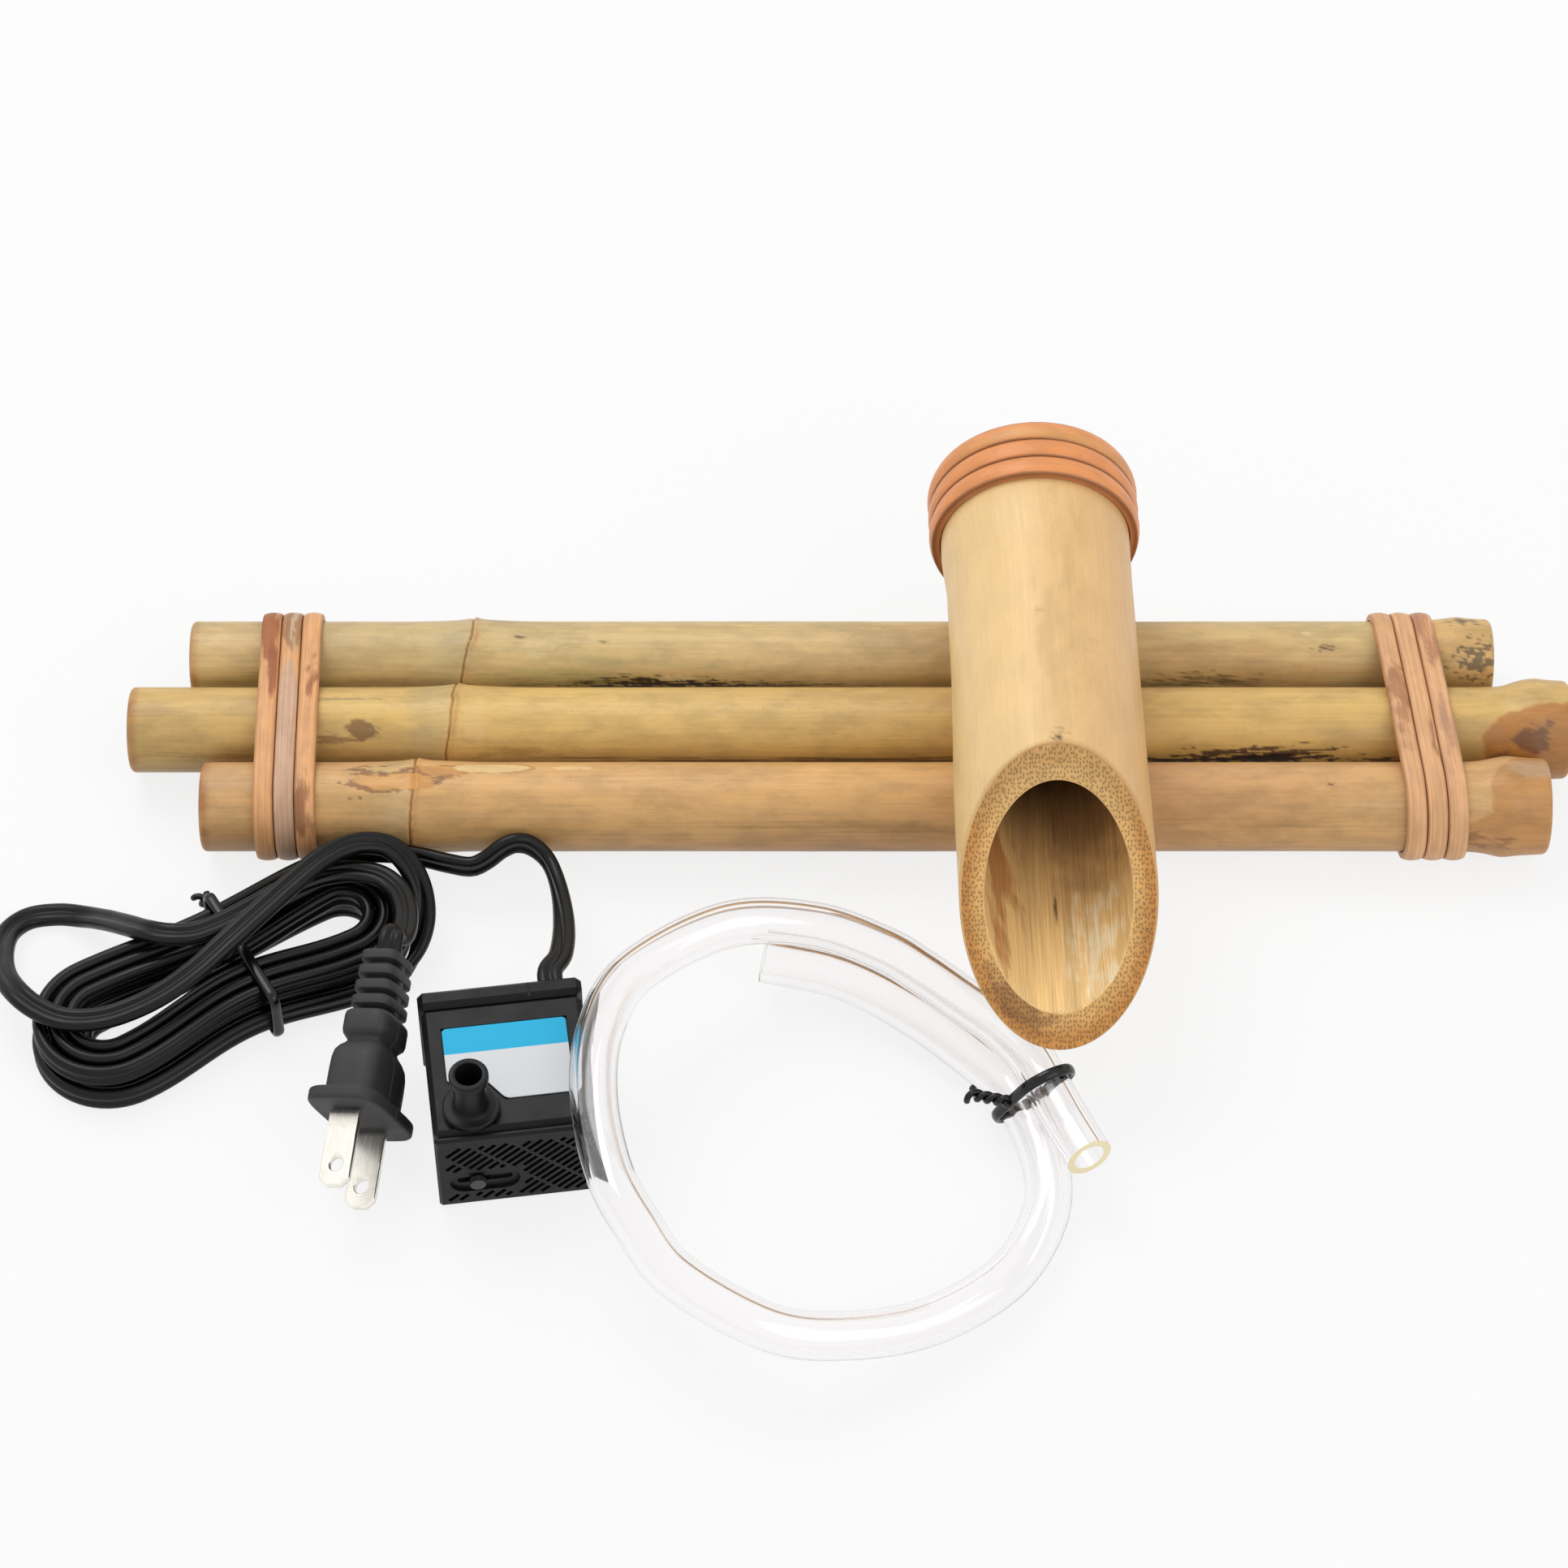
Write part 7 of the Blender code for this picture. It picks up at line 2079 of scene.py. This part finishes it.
@dataclass
class Studio:
    """Camera, floor, world and lamps; the floor is grey for light and nearly white where it is seen."""

    camera_pitch: float = radians(52.0)
    camera_focal: float = 111.8
    camera_place: tuple[float, float, float] = (0.0, -635.4, 813.2)
    floor_half: float = 3000.0
    floor_drop: float = 0.05
    floor_grey: float = 0.84
    floor_glow: float = 0.82
    room_light: float = 0.62

    def camera(self) -> None:
        """Camera at the photograph's angle: 52 degrees down, along +Y, over the layout's middle."""
        data = bpy.data.cameras.new("camera")
        data.lens = self.camera_focal
        data.sensor_width = 36.0
        data.clip_end = 20.0
        camera = bpy.data.objects.new("camera", data)
        camera.location = Vector((np.array(self.camera_place) + Layout.offset()) * MM)
        camera.rotation_euler = (pi / 2 - self.camera_pitch, 0, 0)
        bpy.context.scene.collection.objects.link(camera)
        bpy.context.scene.camera = camera

    def floor(self) -> None:
        """Wide pale floor: a flat grid that is shown a little brighter to the camera and to glass."""
        shell = Shell("floor")
        places = np.linspace(-self.floor_half, self.floor_half, 5)
        u, v = np.meshgrid(places, places, indexing="ij")
        shell.add(np.stack([u, v, np.full_like(u, -self.floor_drop)], axis=-1))
        material = bpy.data.materials.new("matt_white_table")
        material.use_nodes = True
        tree = material.node_tree
        tree.nodes.clear()
        plain = add_node(tree, "ShaderNodeBsdfDiffuse", {"Color": (*[self.floor_grey] * 3, 1)})
        glow = add_node(tree, "ShaderNodeEmission", {"Color": (1, 1, 1, 1), "Strength": 1.0})
        seen = {0: self.seen_ray(tree), 1: self.floor_glow}
        share = add_node(tree, "ShaderNodeMath", seen, operation="MULTIPLY")
        layers = {0: share.outputs[0], 1: plain.outputs[0], 2: glow.outputs[0]}
        mixed = add_node(tree, "ShaderNodeMixShader", layers)
        add_node(tree, "ShaderNodeOutputMaterial", {"Surface": mixed.outputs[0]})
        shell.make([material])

    @staticmethod
    def seen_ray(tree: NodeTree) -> NodeSocket:
        """Tells what is seen directly, through something clear or mirrored in a gloss.

        Args:
            tree: A node tree.

        Returns:
            1 for such a ray and 0 for one that only brings light.
        """
        rays = add_node(tree, "ShaderNodeLightPath").outputs
        clear = add_node(tree, "ShaderNodeMath", {0: rays["Is Camera Ray"], 1: rays["Is Transmission Ray"]},
                         operation="MAXIMUM")
        return add_node(tree, "ShaderNodeMath", {0: clear.outputs[0], 1: rays["Is Glossy Ray"]},
                        operation="MAXIMUM").outputs[0]

    def world(self) -> None:
        """Even grey surroundings for light, and white where they are seen."""
        world = bpy.data.worlds.new("studio")
        world.use_nodes = True
        bpy.context.scene.world = world
        tree = world.node_tree
        tree.nodes.clear()
        dim = add_node(tree, "ShaderNodeBackground", {"Color": (1, 1, 1, 1), "Strength": self.room_light})
        white = add_node(tree, "ShaderNodeBackground", {"Color": (1, 1, 1, 1), "Strength": 1.0})
        mixed = add_node(tree, "ShaderNodeMixShader", {0: self.seen_ray(tree), 1: dim.outputs[0],
                                                       2: white.outputs[0]})
        add_node(tree, "ShaderNodeOutputWorld", {"Surface": mixed.outputs[0]})

    def lamp(self, name: str, place: Sequence[float], size: float, power: float) -> None:
        """A soft square lamp that points at the object.

        Args:
            name: Its name.
            place: Where it is, in metres from the object's middle.
            size: Its side in metres.
            power: Its power in watts.
        """
        data = bpy.data.lights.new(name, "AREA")
        data.size = size
        data.energy = power
        lamp = bpy.data.objects.new(name, data)
        lamp.location = place
        lamp.rotation_euler = (-Vector(place)).to_track_quat("-Z", "Y").to_euler()
        bpy.context.scene.collection.objects.link(lamp)

    def build(self) -> None:
        """Sets up everything but the camera."""
        self.floor()
        self.world()
        self.lamp("key", (-0.5, 0.7, 1.3), 0.9, 9.0)
        self.lamp("fill", (0.9, -0.7, 1.1), 1.2, 5.0)
        bpy.context.scene.view_settings.view_transform = "Standard"


def main() -> None:
    studio = Studio()
    studio.camera()
    pump, plug, tubing = PumpFrame(), Plug(), Tubing()
    cable = Cable()
    cord, cord_path = cable.build(pump, plug)
    cord_tie = cable.build_tie()
    plug_pieces = plug.build()
    hose = tubing.build()
    hose_tie = tubing.build_tie()
    for piece, path, diameter, end, stiffness, lay, others in (
        (cord, cord_path, cable.width, "plug", "medium", "coiled", [*plug_pieces, cord_tie]),
        (hose, tubing.path, tubing.diameter, "bare", "medium", "coiled", [hose_tie]),
    ):
        line = (path + Layout.offset()) * MM
        LOG.info("%s is %.0f mm long", piece.name, path_length(path))
    pivot = SpoutPivot()
    build_arms(pivot)
    tube = SpoutTube(pivot)
    tube.build()
    build_windings(pivot, tube)
    dress_node("spout_peg", Finishes.PEG)
    Pump(pump).build()
    studio.build()


if __name__ == "__main__":
    logging.basicConfig(level=logging.INFO)
    main()
